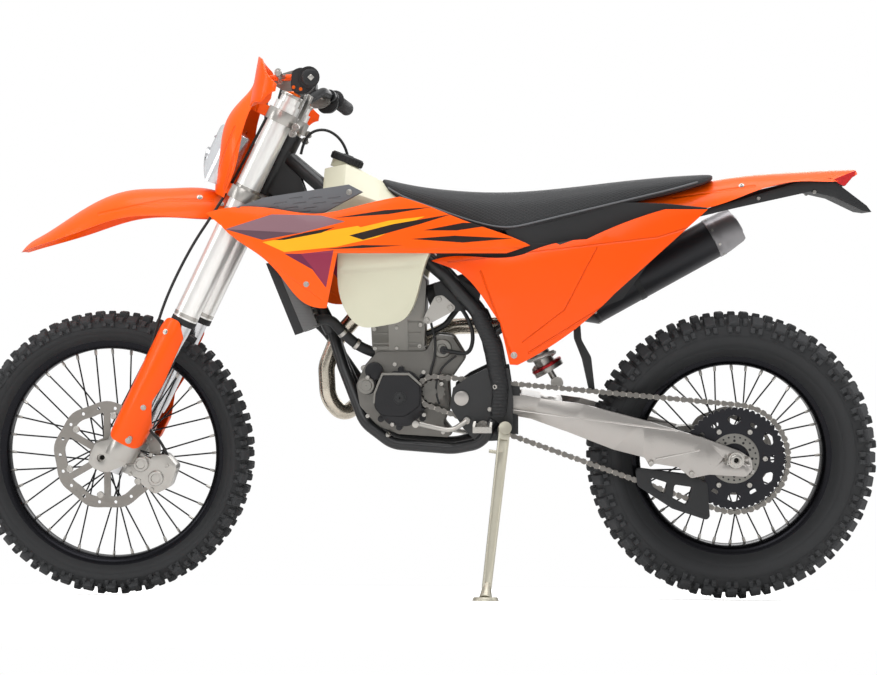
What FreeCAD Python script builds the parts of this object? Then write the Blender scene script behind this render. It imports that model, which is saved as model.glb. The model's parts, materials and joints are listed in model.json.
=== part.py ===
"""Enduro motorcycle that leans on its side stand, one STEP file for each named piece.

Everything is modelled on an upright bike whose mid-plane is y = 0 and whose origin lies on the
ground between the axles. The tail is +X and the rider's left is -Y. The last function leans it.
"""
import FreeCAD, Part
import math
import os

V = FreeCAD.Vector

# Driving sizes of the whole machine, in millimetres and degrees.
WHEELBASE = 1489.0
SADDLE = 978.0
RAKE = 26.1
FORK_SPAN = 950.0
STEER_OFFSET = FORK_SPAN * 0.0568
CLAMP_OFFSET = FORK_SPAN * 0.0232
FORK_SPREAD = 212.0
LEAN = 9.5
PANEL = 4.0
SEAT_GAP = 0.3
RUN_FIT = 0.06
FULL_TURN = 360.0
OVERRUN = 20.0
BEND_SHARE = 0.45

# Tyres: half widths and radii out to the lugs' tips. A section share is of the carcass's half width
# and of its height above the rim's flange.
FRONT_TYRE_RADIUS = 348.0
FRONT_TYRE_HALF = 45.0
REAR_TYRE_RADIUS = 348.0
REAR_TYRE_HALF = 69.0
FRONT_RIM_FLANGE = 277.0
REAR_RIM_FLANGE = 240.0
FRONT_RIM_HALF = 24.0
REAR_RIM_HALF = 32.0
RIM_WALL = 4.0
TYRE_SHARES = ((1.0, 0.45), (0.86, 0.84), (0.46, 1.0))
TYRE_PITCHES = 36
LUG_HEIGHT = 12.0
LUG_ROOT = 3.0
LUG_LENGTH_SHARE = 0.46
SHOULDER_SHARE = 0.92
CENTRE_SHARE = 0.40
LUG_TAPER_SHARE = 0.86

HALF_BASE = WHEELBASE / 2
LEAN_COS = math.cos(math.radians(LEAN))
LEAN_SIN = math.sin(math.radians(LEAN))
RAKE_COS = math.cos(math.radians(RAKE))
RAKE_SIN = math.sin(math.radians(RAKE))
FORK_BACK = V(RAKE_COS, 0, -RAKE_SIN)
FORK_UP = V(RAKE_SIN, 0, RAKE_COS)


def polygon(points):
    return Part.makePolygon(list(points) + [points[0]])


def lug(angle, side, reach, tilt, half_width, half_length):
    """Tapered block on the carcass, its base a little under the surface."""
    radial = V(math.sin(angle), 0, -math.cos(angle))
    along = V(math.cos(angle), 0, math.sin(angle))
    out = radial * math.cos(tilt) + V(0, math.sin(tilt), 0)
    wide = V(0, math.cos(tilt), 0) - radial * math.sin(tilt)
    foot = radial * reach + V(0, side, 0)
    wires = []
    for lift, share in ((-LUG_ROOT, 1.0), (LUG_HEIGHT, LUG_TAPER_SHARE)):
        centre = foot + out * lift
        corners = [centre + wide * (half_width * share * a) + along * (half_length * share * b)
                   for a, b in ((-1, -1), (1, -1), (1, 1), (-1, 1))]
        wires.append(polygon(corners))
    return Part.makeLoft(wires, True, True)


def tyre(radius, half, flange, rim_half):
    """Tyre at the origin: a carcass with one flat for each pitch, shoulder lugs and centre lugs."""
    step = 2 * math.pi / TYRE_PITCHES
    flat = math.cos(step / 2)
    tread = radius - LUG_HEIGHT
    line = [(rim_half, flange / flat + SEAT_GAP)]
    line += [(half * wide, flange + (tread - flange) * tall) for wide, tall in TYRE_SHARES]
    section = [(-side, reach) for side, reach in line] + list(reversed(line))
    rows = []
    for pitch in range(TYRE_PITCHES):
        turn = step * (pitch + 0.5)
        rows.append([V(reach * math.sin(turn), side, -reach * math.cos(turn)) for side, reach in section])
    faces = []
    for this, following in zip(rows, rows[1:] + rows[:1]):
        for place in range(len(section)):
            corner = (place + 1) % len(section)
            quad = [this[place], this[corner], following[corner], following[place]]
            faces.append(Part.Face(polygon(quad)))
    carcass = Part.Solid(Part.Shell(faces))
    if carcass.Volume < 0:
        carcass.reverse()
    (outer_side, outer_reach), (inner_side, inner_reach) = line[-2:]
    tilt = abs(math.atan2(inner_reach - outer_reach, outer_side - inner_side))
    shoulder_half = math.hypot(inner_reach - outer_reach, outer_side - inner_side) / 2 * SHOULDER_SHARE
    side_at = (outer_side + inner_side) / 2
    reach_at = (outer_reach + inner_reach) / 2 * flat
    half_length = radius * math.sin(step / 2) * LUG_LENGTH_SHARE
    lugs = []
    for pitch in range(TYRE_PITCHES):
        angle = step * pitch
        for sign in (-1, 1):
            lugs.append(lug(angle, sign * side_at, reach_at, sign * tilt, shoulder_half, half_length))
        if pitch % 2:
            lugs.append(lug(angle, 0.0, inner_reach * flat, 0.0, half * CENTRE_SHARE, half_length))
    return carcass.multiFuse(lugs)


def drop(shape):
    """Height of a leaning wheel's axle over the ground, along the bike's own upright."""
    return max(-corner.Y * LEAN_SIN - corner.Z * LEAN_COS for corner in shape.Vertexes) / LEAN_COS


FRONT_TYRE = tyre(FRONT_TYRE_RADIUS, FRONT_TYRE_HALF, FRONT_RIM_FLANGE, FRONT_RIM_HALF)
REAR_TYRE = tyre(REAR_TYRE_RADIUS, REAR_TYRE_HALF, REAR_RIM_FLANGE, REAR_RIM_HALF)
FRONT_AXLE = V(-HALF_BASE, 0, drop(FRONT_TYRE))
REAR_AXLE = V(HALF_BASE, 0, drop(REAR_TYRE))
STEER_FOOT = FRONT_AXLE + FORK_BACK * STEER_OFFSET


def fork_at(back, up, side=0.0):
    """Point given by its distance behind the steering axis, along it and to the side."""
    return STEER_FOOT + FORK_BACK * back + FORK_UP * up + V(0, side, 0)


def body(shares, side=0.0):
    """Points in side view, as shares of half the wheelbase and of the saddle's height."""
    return [V(HALF_BASE * along, side, SADDLE * up) for along, up in shares]


def fork(shares, side=0.0):
    """Points in side view beside the steering axis, as shares of the fork's span."""
    return [fork_at(FORK_SPAN * back, FORK_SPAN * up, side) for back, up in shares]


def curved(runs):
    """Closed wire of runs that each start where the last ended: one point is a line, more a curve."""
    edges = []
    start = runs[-1][-1]
    for run in runs:
        points = [start] + list(run)
        if len(points) > 2:
            curve = Part.BSplineCurve()
            curve.interpolate(points)
            edges.append(curve.toShape())
        else:
            edges.append(Part.LineSegment(points[0], points[1]).toShape())
        start = points[-1]
    return Part.Wire(edges)


def rounded(points, radius):
    """Closed wire of straight runs with a tangent arc at each corner."""
    joints = []
    for before, corner, after in zip(points[-1:] + points[:-1], points, points[1:] + points[:1]):
        into = (corner - before).normalize()
        out = (after - corner).normalize()
        half_turn = into.getAngle(out) / 2
        run = min((corner - before).Length, (after - corner).Length)
        reach = min(radius * math.tan(half_turn), BEND_SHARE * run)
        inward = (out - into).normalize()
        middle = corner + inward * (reach / math.sin(half_turn) - reach / math.tan(half_turn))
        joints.append((corner - into * reach, middle, corner + out * reach))
    edges = []
    for this, following in zip(joints, joints[1:] + joints[:1]):
        edges.append(Part.Arc(*this).toShape())
        edges.append(Part.LineSegment(this[-1], following[0]).toShape())
    return Part.Wire(edges)


def plate(wire, depth):
    """Solid between the wire, which stands in side view, and the same outline depth further along Y."""
    return Part.Face(wire).extrude(V(0, depth, 0))


def rod(start, end, radius, end_radius=None):
    """Round bar between two points, tapered where a second radius is given."""
    along = end - start
    if end_radius is None:
        return Part.makeCylinder(radius, along.Length, start, along)
    return Part.makeCone(radius, end_radius, along.Length, start, along)


def prism(start, end, radius, sides):
    """Straight bar with that many flats between two points."""
    along = (end - start).normalize()
    wide = along.cross(V(0, 1, 0)).normalize()
    tall = along.cross(wide)
    corners = []
    for number in range(sides):
        turn = 2 * math.pi * number / sides
        corners.append(start + wide * (radius * math.cos(turn)) + tall * (radius * math.sin(turn)))
    return Part.Face(polygon(corners)).extrude(end - start)


def across(centre, radius, left, right):
    """Round bar along Y between two side distances."""
    return Part.makeCylinder(radius, right - left, V(centre.x, left, centre.z), V(0, 1, 0))


def ring(centre, outer, inner, left, right):
    return across(centre, outer, left, right).cut(across(centre, inner, left - OVERRUN, right + OVERRUN))


def tube(points, radius, bend):
    """Rod on straight runs joined by tangent arcs; no bend takes over its share of a run."""
    heading = (points[1] - points[0]).normalize()
    ring_edge = Part.Circle(points[0], heading, radius).toShape()
    faces = [Part.Face(Part.Wire(ring_edge))]
    start = points[0]
    for before, corner, after in zip(points, points[1:], points[2:]):
        into = (corner - before).normalize()
        out = (after - corner).normalize()
        half_turn = into.getAngle(out) / 2
        run = min((corner - before).Length, (after - corner).Length)
        reach = min(bend * math.tan(half_turn), BEND_SHARE * run)
        first = corner - into * reach
        if (first - start).Length > SEAT_GAP:
            faces.append(ring_edge.extrude(first - start))
        ring_edge = moved(ring_edge, first - start)
        centre = corner + (out - into).normalize() * (reach / math.sin(half_turn))
        pole = into.cross(out).normalize()
        turn = math.degrees(2 * half_turn)
        faces.append(ring_edge.revolve(centre, pole, turn))
        ring_edge = ring_edge.copy()
        ring_edge.rotate(centre, pole, turn)
        start = corner + out * reach
    faces.append(ring_edge.extrude(points[-1] - start))
    faces.append(Part.Face(Part.Wire(moved(ring_edge, points[-1] - start))))
    shell = Part.makeShell(faces)
    shell.sewShape()
    solid = Part.makeSolid(shell)
    if solid.Volume < 0:
        solid.reverse()
    return solid


def moved(shape, by):
    twin = shape.copy()
    twin.translate(by)
    return twin


def revolved(profile, centre):
    """Solid turned about the axle line through centre from points of side distance and radius."""
    points = [V(centre.x, side, centre.z + radius) for side, radius in profile]
    return Part.Face(polygon(points)).revolve(V(centre.x, 0, centre.z), V(0, 1, 0), FULL_TURN)


def mirrored(shape):
    return shape.mirror(V(0, 0, 0), V(0, 1, 0))


def pair(shape):
    """The shape and its twin on the other side of the bike."""
    return Part.makeCompound([shape, mirrored(shape)])


def fused(shapes):
    first = shapes[0]
    return first.multiFuse(list(shapes[1:])).removeSplitter() if len(shapes) > 1 else first


def seated(shape, *seats):
    """The shape less what its neighbours fill, so that it lies against them."""
    for seat in seats:
        shape = shape.cut(seat)
    return shape


def slab(levels, thick):
    """Curved sheet on the left: each level is a height and its outer line of along and side."""
    wires = []
    for height, line in levels:
        outer = [V(along, -side, height) for along, side in line]
        inner = [V(along, thick - side, height) for along, side in reversed(line)]
        wires.append(curved([outer[1:], inner[:1], inner[1:], outer[:1]]))
    return Part.makeLoft(wires, True, False)


def arches(stations, thick):
    """Arched sheet: each station is a place along, a top height, an edge height and a half width."""
    wires = []
    for along, top, edge, half in stations:
        outer = [V(along, -half, edge), V(along, 0, top), V(along, half, edge)]
        inner = [V(along, half - thick, edge), V(along, 0, top - thick), V(along, thick - half, edge)]
        wires.append(Part.Wire([Part.Arc(*outer).toShape(), Part.LineSegment(outer[2], inner[0]).toShape(),
                                Part.Arc(*inner).toShape(),
                                Part.LineSegment(inner[2], outer[0]).toShape()]))
    return Part.makeLoft(wires, True, False)


# Wheels. The front rim is 21 inches and the rear 18, each laced with 36 spokes.
AXLE_RADIUS = 10.0
AXLE_BORE = 6.0
RIM_DEPTH = 24.0
RIM_WELL_SHARE = 0.6
SPOKES = 36
SPOKE_RADIUS = 2.2
SPOKE_FLATS = 6
SPOKE_SHIFT = 3.0
SPOKE_CROSS_SHARE = 6.0
HUB_FLANGE = 34.0
HUB_CORE = 20.0
FRONT_HUB_HALF = 52.0
REAR_HUB_HALF = 58.0
HUB_FLANGE_HALF = 34.0
FLANGE_THICK = 6.0
DISC_THICK = 4.0
DISC_BOSS = 30.0
FRONT_DISC_RADIUS = 130.0
REAR_DISC_RADIUS = 110.0
FRONT_DISC_SIDE = 68.0
REAR_DISC_SIDE = 74.0
DISC_BAND = 27.0
DISC_CARRIER = 42.0
DISC_ARMS = 6
DISC_WAVES = 9
WAVE_POINTS = 9
WAVE_DEPTH = 5.0
ARM_HALF = 8.0
VENT_RADIUS = 4.0


def rim(centre, flange, half):
    """Channel rim: two lipped flanges, a drop centre and a bore to the well's underside."""
    well = flange - RIM_DEPTH
    seat = flange - 2 * RIM_WALL
    profile = [(half, flange), (half - RIM_WALL, flange), (half - RIM_WALL, seat),
               (half / 2, well + RIM_WALL)]
    profile = [(-side, reach) for side, reach in profile] + list(reversed(profile))
    inner = half * RIM_WELL_SHARE
    profile += [(half, seat - RIM_WALL), (inner, well), (-inner, well), (-half, seat - RIM_WALL)]
    return revolved(profile, centre)


def laced_hub(centre, left, right, reach, rim_half):
    """Hub with two flanges, a boss under the disc and crossed spokes up to the rim."""
    hub = across(centre, HUB_CORE, left, right)
    for side in (-1, 1):
        start = side * HUB_FLANGE_HALF - FLANGE_THICK / 2
        hub = hub.fuse(across(centre, HUB_FLANGE, start, start + FLANGE_THICK))
    if right > -left:
        hub = hub.fuse(across(centre, DISC_BOSS, HUB_FLANGE_HALF, right))
    else:
        hub = hub.fuse(across(centre, DISC_BOSS, left, -HUB_FLANGE_HALF))
    hub = hub.cut(across(centre, AXLE_RADIUS + RUN_FIT, left - OVERRUN, right + OVERRUN)).removeSplitter()
    spokes = []
    root = HUB_FLANGE - FLANGE_THICK
    step = 2 * math.pi / SPOKES
    for number in range(SPOKES):
        side = 1 if number % 2 else -1
        lean = 1 if number % 4 < 2 else -1
        turn = step * number
        start_turn = turn + lean * step * SPOKE_CROSS_SHARE
        foot = side * HUB_FLANGE_HALF + lean * SPOKE_SHIFT
        start = centre + V(root * math.sin(start_turn), foot, root * math.cos(start_turn))
        end = centre + V(reach * math.sin(turn), side * rim_half / 4, reach * math.cos(turn))
        spokes.append(prism(start, end, SPOKE_RADIUS, SPOKE_FLATS))
    return fused([hub] + spokes)


def wave(centre, radius, left):
    """Wire round the axle whose radius swings in and out by the wave's depth."""
    count = DISC_WAVES * WAVE_POINTS
    points = []
    for number in range(count):
        turn = 2 * math.pi * number / count
        reach = radius - WAVE_DEPTH / 2 * (1 - math.cos(DISC_WAVES * turn))
        points.append(V(centre.x + reach * math.sin(turn), left, centre.z + reach * math.cos(turn)))
    return polygon(points)


def disc(centre, radius, side):
    """Wave brake disc: vented band, carrier ring on the hub's boss and arms between them."""
    left = side - DISC_THICK / 2
    band = plate(wave(centre, radius, left), DISC_THICK)
    band = band.cut(plate(wave(centre, radius - DISC_BAND, left), DISC_THICK))
    carrier = ring(centre, DISC_CARRIER, HUB_CORE, left, left + DISC_THICK)
    arms = []
    for number in range(DISC_ARMS):
        arm = Part.makeBox(ARM_HALF * 2, DISC_THICK, radius - DISC_BAND / 2 - HUB_FLANGE,
                           V(centre.x - ARM_HALF, left, centre.z + HUB_FLANGE))
        arm.rotate(centre, V(0, 1, 0), number * FULL_TURN / DISC_ARMS)
        arms.append(arm)
    vents = []
    for number in range(2 * DISC_WAVES):
        turn = math.pi * (number + 0.5) / DISC_WAVES
        reach = radius - DISC_BAND / 2 - WAVE_DEPTH / 2
        spot = centre + V(reach * math.sin(turn), 0, reach * math.cos(turn))
        vents.append(across(spot, VENT_RADIUS, left - OVERRUN, left + OVERRUN))
    return seated(fused([band, carrier] + arms), *vents)


# Final drive: a 50-tooth rear and a 14-tooth front sprocket with a 520 chain.
CHAIN_PITCH = 15.875
REAR_TEETH = 50
FRONT_TEETH = 14
CHAIN_SIDE = -84.0
CHAIN_HALF = 8.0
CHAIN_OUTER = 6.5
CHAIN_INNER = 4.5
CHAIN_CLEAR = 10.0
LINK_SHARE = 1.36
LINK_NECK_SHARE = 0.8
TOOTH_GAP = 1.6
SPROCKET_THICK = 6.0
COUNTERSHAFT_SHARES = (0.051, 0.517)
SPROCKET_CARRIER = 60.0
CARRIER_GAP = 5.0
REAR_PITCH_RADIUS = CHAIN_PITCH / (2 * math.sin(math.pi / REAR_TEETH))
FRONT_PITCH_RADIUS = CHAIN_PITCH / (2 * math.sin(math.pi / FRONT_TEETH))
COUNTERSHAFT = body([COUNTERSHAFT_SHARES])[0]
TOOTH_SHARE = 0.16


def sprocket(centre, teeth, pitch_radius):
    """Toothed plate that ends just under the chain's rollers."""
    tip = pitch_radius - CHAIN_INNER - TOOTH_GAP
    root = tip - CHAIN_PITCH / 3
    left = CHAIN_SIDE - SPROCKET_THICK / 2
    points = []
    for number in range(teeth):
        for share, reach in ((-1 / 2, root), (-TOOTH_SHARE, tip), (TOOTH_SHARE, tip)):
            turn = 2 * math.pi * (number + share) / teeth
            points.append(V(centre.x + reach * math.sin(turn), left, centre.z + reach * math.cos(turn)))
    return plate(polygon(points), SPROCKET_THICK)


def chain_loop(grow, left):
    """Wire round both sprockets, grown outwards from the pitch line."""
    gap = REAR_AXLE - COUNTERSHAFT
    span = math.hypot(gap.x, gap.z)
    tilt = math.atan2(gap.z, gap.x)
    rise = math.asin((REAR_PITCH_RADIUS - FRONT_PITCH_RADIUS) / span)
    front = FRONT_PITCH_RADIUS + grow
    rear = REAR_PITCH_RADIUS + grow
    spots = []
    upper_turn = tilt + rise + math.pi / 2
    lower_turn = tilt - rise - math.pi / 2
    for centre, radius, turn in ((COUNTERSHAFT, front, upper_turn), (REAR_AXLE, rear, upper_turn),
                                 (REAR_AXLE, rear, tilt), (REAR_AXLE, rear, lower_turn),
                                 (COUNTERSHAFT, front, lower_turn), (COUNTERSHAFT, front, tilt + math.pi)):
        spots.append(V(centre.x + radius * math.cos(turn), left, centre.z + radius * math.sin(turn)))
    upper = Part.LineSegment(spots[0], spots[1]).toShape()
    back = Part.Arc(spots[1], spots[2], spots[3]).toShape()
    lower = Part.LineSegment(spots[3], spots[4]).toShape()
    nose = Part.Arc(spots[4], spots[5], spots[0]).toShape()
    return Part.Wire([upper, back, lower, nose])


def chain_band(grow, wider=0.0):
    """All that the loop encloses, over the chain's width."""
    return plate(chain_loop(grow, CHAIN_SIDE - CHAIN_HALF - wider), 2 * (CHAIN_HALF + wider))


def chain_node():
    """Wide and narrow links by turns, spread evenly along the pitch line and joined end in end."""
    loop = chain_loop(0, CHAIN_SIDE)
    count = 2 * round(loop.Length / CHAIN_PITCH / 2)
    spots = loop.discretize(Number=count + 1)
    links = []
    for number, (this, following) in enumerate(zip(spots, spots[1:])):
        narrow = LINK_NECK_SHARE if number % 2 else 1.0
        middle = (this + following) * 0.5
        along = (following - this).normalize()
        out = along.cross(V(0, 1, 0))
        if out.dot(middle - (COUNTERSHAFT + REAR_AXLE) * 0.5) < 0:
            out = out * -1
        reach = (following - this).Length * LINK_SHARE / 2
        half = CHAIN_HALF * narrow
        low = middle - out * (CHAIN_INNER * narrow)
        high = middle + out * (CHAIN_OUTER * narrow)
        corners = [V(spot.x, CHAIN_SIDE - half, spot.z)
                   for spot in (low - along * reach, low + along * reach, high + along * reach,
                                high - along * reach)]
        links.append(plate(polygon(corners), 2 * half))
    return links[0].multiFuse(links[1:])


CUTOUTS = 6
LARGE_CUT = ((97.0, -12.5), (103.0, 0.0), (97.0, 12.5), (80.0, 3.5), (80.0, -3.5))
SMALL_CUT = ((94.0, -6.0), (94.0, 6.0), (85.0, 5.0), (85.0, -5.0))
CUT_ROUND = 7.0
CARRIER_STEP = 25.0
SLIDER_SHARES = (((0.160, 0.512), (0.325, 0.508), (0.325, 0.545), (0.160, 0.555)),
                 ((0.150, 0.430), (0.320, 0.415), (0.320, 0.462), (0.150, 0.486)))
SLIDER_LEFT = -95.0
SLIDER_RIGHT = -75.0
GUIDE_SHARES = ((0.689, 0.335), (0.696, 0.292), (0.805, 0.238), (0.925, 0.208), (0.915, 0.300),
                (0.868, 0.318))
GUIDE_CUT_SHARES = (((0.735, 0.314), (0.745, 0.290), (0.780, 0.272), (0.790, 0.300)),
                    ((0.812, 0.296), (0.806, 0.262), (0.850, 0.245), (0.868, 0.290)))
GUIDE_LEFT = -98.0
GUIDE_RIGHT = -70.5
GUIDE_GAP = 2.0


def web_cut(outline, turn, left):
    """Rounded opening in the sprocket's web from points of radius and degrees round the axle."""
    points = []
    for reach, degrees in outline:
        angle = turn + math.radians(degrees)
        points.append(V(REAR_AXLE.x + reach * math.sin(angle), left, REAR_AXLE.z + reach * math.cos(angle)))
    return plate(rounded(points, CUT_ROUND), 2 * OVERRUN)


def rear_sprocket_node():
    """Sprocket with openings in its web, on a carrier that meets the hub's flange."""
    web = sprocket(REAR_AXLE, REAR_TEETH, REAR_PITCH_RADIUS)
    left = CHAIN_SIDE - SPROCKET_THICK / 2
    cuts = [across(REAR_AXLE, HUB_FLANGE, left - OVERRUN, left + OVERRUN)]
    for number in range(CUTOUTS):
        turn = 2 * math.pi * number / CUTOUTS
        cuts.append(web_cut(LARGE_CUT, turn, left - OVERRUN / 2))
        cuts.append(web_cut(SMALL_CUT, turn + math.pi / CUTOUTS, left - OVERRUN / 2))
    web = seated(web, *cuts)
    flange = -HUB_FLANGE_HALF - FLANGE_THICK / 2
    carrier = ring(REAR_AXLE, SPROCKET_CARRIER, HUB_CORE, CHAIN_SIDE + SPROCKET_THICK / 2,
                   flange - CARRIER_GAP)
    step = ring(REAR_AXLE, CARRIER_STEP, HUB_CORE, flange - CARRIER_GAP, flange)
    return fused([web, carrier, step])


def chain_slider_node(swingarm):
    """Rubbing strips on the arm's front end, under the upper run and over the lower one."""
    inside = plate(chain_loop(-CHAIN_INNER - SEAT_GAP, SLIDER_LEFT - OVERRUN), 4 * OVERRUN)
    strips = []
    for shares in SLIDER_SHARES:
        strip = plate(polygon(body(shares, SLIDER_LEFT)), SLIDER_RIGHT - SLIDER_LEFT)
        strips.append(strip.common(inside).cut(swingarm))
    return Part.makeCompound(strips)


# Frame: head tube, single down tube that splits into two rails, two spars and the pivot plates.
HEAD_RADIUS = 29.0
STEM_RADIUS = 20.0
HEAD_LOW = FORK_SPAN * 0.762
HEAD_TOP = FORK_SPAN * 0.931
DOWN_TOP = HEAD_LOW + 48.0
SPAR_TOP = HEAD_LOW + 104.0
SPAR_BACK = 25.0
DOWN_RADIUS = 18.0
RAIL_RADIUS = 14.0
SPAR_RADIUS = 17.0
FRAME_BEND = 70.0
RAIL_SIDE = 75.0
SPAR_SIDE = 88.0
SPAR_HEAD_SIDE = 18.0
PLATE_INNER = 94.0
PLATE_OUTER = 110.0
PIVOT_RADIUS = 8.5
DOWN_SHARES = ((-0.39, 0.818), (-0.283, 0.657))
RAIL_SHARES = ((-0.283, 0.664), (-0.245, 0.575), (-0.170, 0.440), (-0.08, 0.389), (0.114, 0.378),
               (0.205, 0.395),
               (0.245, 0.450))
RAIL_SIDE_SHARES = (0.0, 0.30, 0.9, 1.0, 1.0, 1.42, 1.45)
SPAR_SHARES = ((-0.269, 0.987), (-0.081, 0.905), (0.084, 0.800), (0.188, 0.712), (0.240, 0.620),
               (0.262, 0.530),
               (0.255, 0.460))
SPAR_SIDE_SHARES = (0.62, 1.0, 1.0, 1.12, 1.26, 1.27, 1.27)
PIVOT_PLATE_SHARES = ((0.105, 0.481), (0.114, 0.527), (0.161, 0.553), (0.215, 0.573), (0.289, 0.573),
                      (0.304, 0.500), (0.302, 0.432), (0.275, 0.402), (0.188, 0.398), (0.148, 0.429))
GUSSET_SHARES = ((0.0, 0.775), (0.0, 0.905), (0.040, 0.872), (0.130, 0.784), (0.120, 0.752), (0.095, 0.760))
GUSSET_SIDE = 26.0
GUSSET_THICK = 4.0
RADIATOR_MOUNT_SHARES = ((-0.366, 0.755), (-0.330, 0.700))
RADIATOR_INNER = 50.0
MOUNT_RADIUS = 6.0
PIVOT_SHARES = (0.141, 0.503)
PIVOT = body([PIVOT_SHARES])[0]
SUBFRAME_RADIUS = 9.0
SUBFRAME_SIDE = 66.0
STRUT_SIDE = 86.0
SEAT_RAIL_SHARES = ((-0.03, 0.905), (0.26, 0.893), (0.60, 0.935), (0.93, 0.975))
STRUT_SHARES = ((0.236, 0.652), (0.50, 0.800), (0.80, 0.943))


def side_path(shares, sides, width):
    return [V(HALF_BASE * along, width * side, SADDLE * up) for (along, up), side in zip(shares, sides)]


def frame_node():
    head = rod(fork_at(0, HEAD_LOW), fork_at(0, HEAD_TOP), HEAD_RADIUS)
    down = tube([fork_at(0, DOWN_TOP)] + body(DOWN_SHARES), DOWN_RADIUS, FRAME_BEND)
    parts = [head, down]
    for side in (-1, 1):
        parts.append(tube(side_path(RAIL_SHARES, RAIL_SIDE_SHARES, side * RAIL_SIDE), RAIL_RADIUS,
                          FRAME_BEND))
        spar = [fork_at(SPAR_BACK, SPAR_TOP, side * SPAR_HEAD_SIDE)]
        spar += side_path(SPAR_SHARES, SPAR_SIDE_SHARES, side * SPAR_SIDE)
        parts.append(tube(spar, SPAR_RADIUS, FRAME_BEND))
        left = PLATE_INNER if side > 0 else -PLATE_OUTER
        parts.append(plate(polygon(body(PIVOT_PLATE_SHARES, left)), PLATE_OUTER - PLATE_INNER))
    for left in (-GUSSET_SIDE, GUSSET_SIDE - GUSSET_THICK):
        parts.append(plate(polygon(fork(GUSSET_SHARES, left)), GUSSET_THICK))
    for spot in body(RADIATOR_MOUNT_SHARES):
        parts.append(across(spot, MOUNT_RADIUS, -RADIATOR_INNER, RADIATOR_INNER))
    frame = fused(parts)
    frame = frame.cut(rod(fork_at(0, HEAD_LOW - OVERRUN), fork_at(0, HEAD_TOP + OVERRUN),
                          STEM_RADIUS + RUN_FIT))
    return frame.cut(across(PIVOT, PIVOT_RADIUS, -PLATE_OUTER - OVERRUN, PLATE_OUTER + OVERRUN))


SPAR_GUARD_SHARES = ((0.166, 0.699), (0.210, 0.723), (0.247, 0.676), (0.278, 0.600), (0.300, 0.548),
                     (0.304, 0.500),
                     (0.273, 0.453), (0.235, 0.460), (0.242, 0.511), (0.223, 0.572), (0.203, 0.647))
SPAR_GUARD_WALL = 4.0
SPAR_GUARD_SHARE = 0.9
SPAR_GUARD_ROUND = 20.0


def frame_guards_node(frame):
    """Plastic shells over the spars' lower ends, on their outer halves."""
    path = side_path(SPAR_SHARES, SPAR_SIDE_SHARES, -SPAR_SIDE)[-5:]
    shell = tube(path, SPAR_RADIUS + SPAR_GUARD_WALL, FRAME_BEND)
    trim = plate(rounded(body(SPAR_GUARD_SHARES, -2 * SPAR_SIDE), SPAR_GUARD_ROUND),
                 SPAR_SIDE * SPAR_GUARD_SHARE)
    return pair(seated(shell.common(trim), frame))


def subframe_node():
    parts = []
    for side in (-1, 1):
        parts.append(tube(body(SEAT_RAIL_SHARES, side * SUBFRAME_SIDE), SUBFRAME_RADIUS, FRAME_BEND))
        strut = body(STRUT_SHARES, side * STRUT_SIDE)[:-1] + body(STRUT_SHARES, side * SUBFRAME_SIDE)[-1:]
        parts.append(tube(strut, SUBFRAME_RADIUS, FRAME_BEND))
    for share in (STRUT_SHARES[2], SEAT_RAIL_SHARES[3]):
        parts.append(across(body([share])[0], SUBFRAME_RADIUS, -SUBFRAME_SIDE, SUBFRAME_SIDE))
    return fused(parts)


# Swingarm and shock.
ARM_INNER = 99.0
ARM_OUTER = 119.0
ARM_ROOT_INNER = 70.0
ARM_ROOT_OUTER = 92.0
PIVOT_BOSS = 22.0
SWING_ROUND = 10.0
TRACK_LENGTH = 30.0
TRACK_HALF = 13.0
TRACK_DEPTH = 3.0
BOLT_HEAD = 17.0
BOLT_THICK = 9.0
SWING_SHARES = ((0.141, 0.525), (0.308, 0.514), (0.391, 0.503), (0.527, 0.489), (0.715, 0.452),
                (0.903, 0.409),
                (1.015, 0.378), (1.049, 0.361), (1.053, 0.335), (1.032, 0.318), (0.919, 0.323),
                (0.862, 0.314),
                (0.821, 0.340), (0.745, 0.349), (0.735, 0.338), (0.716, 0.363), (0.618, 0.382),
                (0.528, 0.408),
                (0.474, 0.424), (0.361, 0.453), (0.141, 0.481))
SWING_PLAN_SHARES = ((0.31, 0.0), (0.457, 1.0), (1.07, 1.0))
BRIDGE_FRONT_SHARE = 0.33
BRIDGE_REAR_SHARE = 0.46
SHOCK_SIDE = 34.0
SHOCK_RADIUS = 24.0
SHOCK_ROD = 8.0
SHOCK_EYE = 15.0
SPRING_RADIUS = 32.0
SPRING_WIRE = 5.5
SPRING_PITCH = 24.0
SPRING_STEPS = 16
SPRING_FLATS = 6
SHOCK_LOW_SHARES = (0.445, 0.531)
SHOCK_TOP_SHARES = (0.222, 0.820)
SHOCK_SPLIT_SHARES = (0.12, 0.80)


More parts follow.
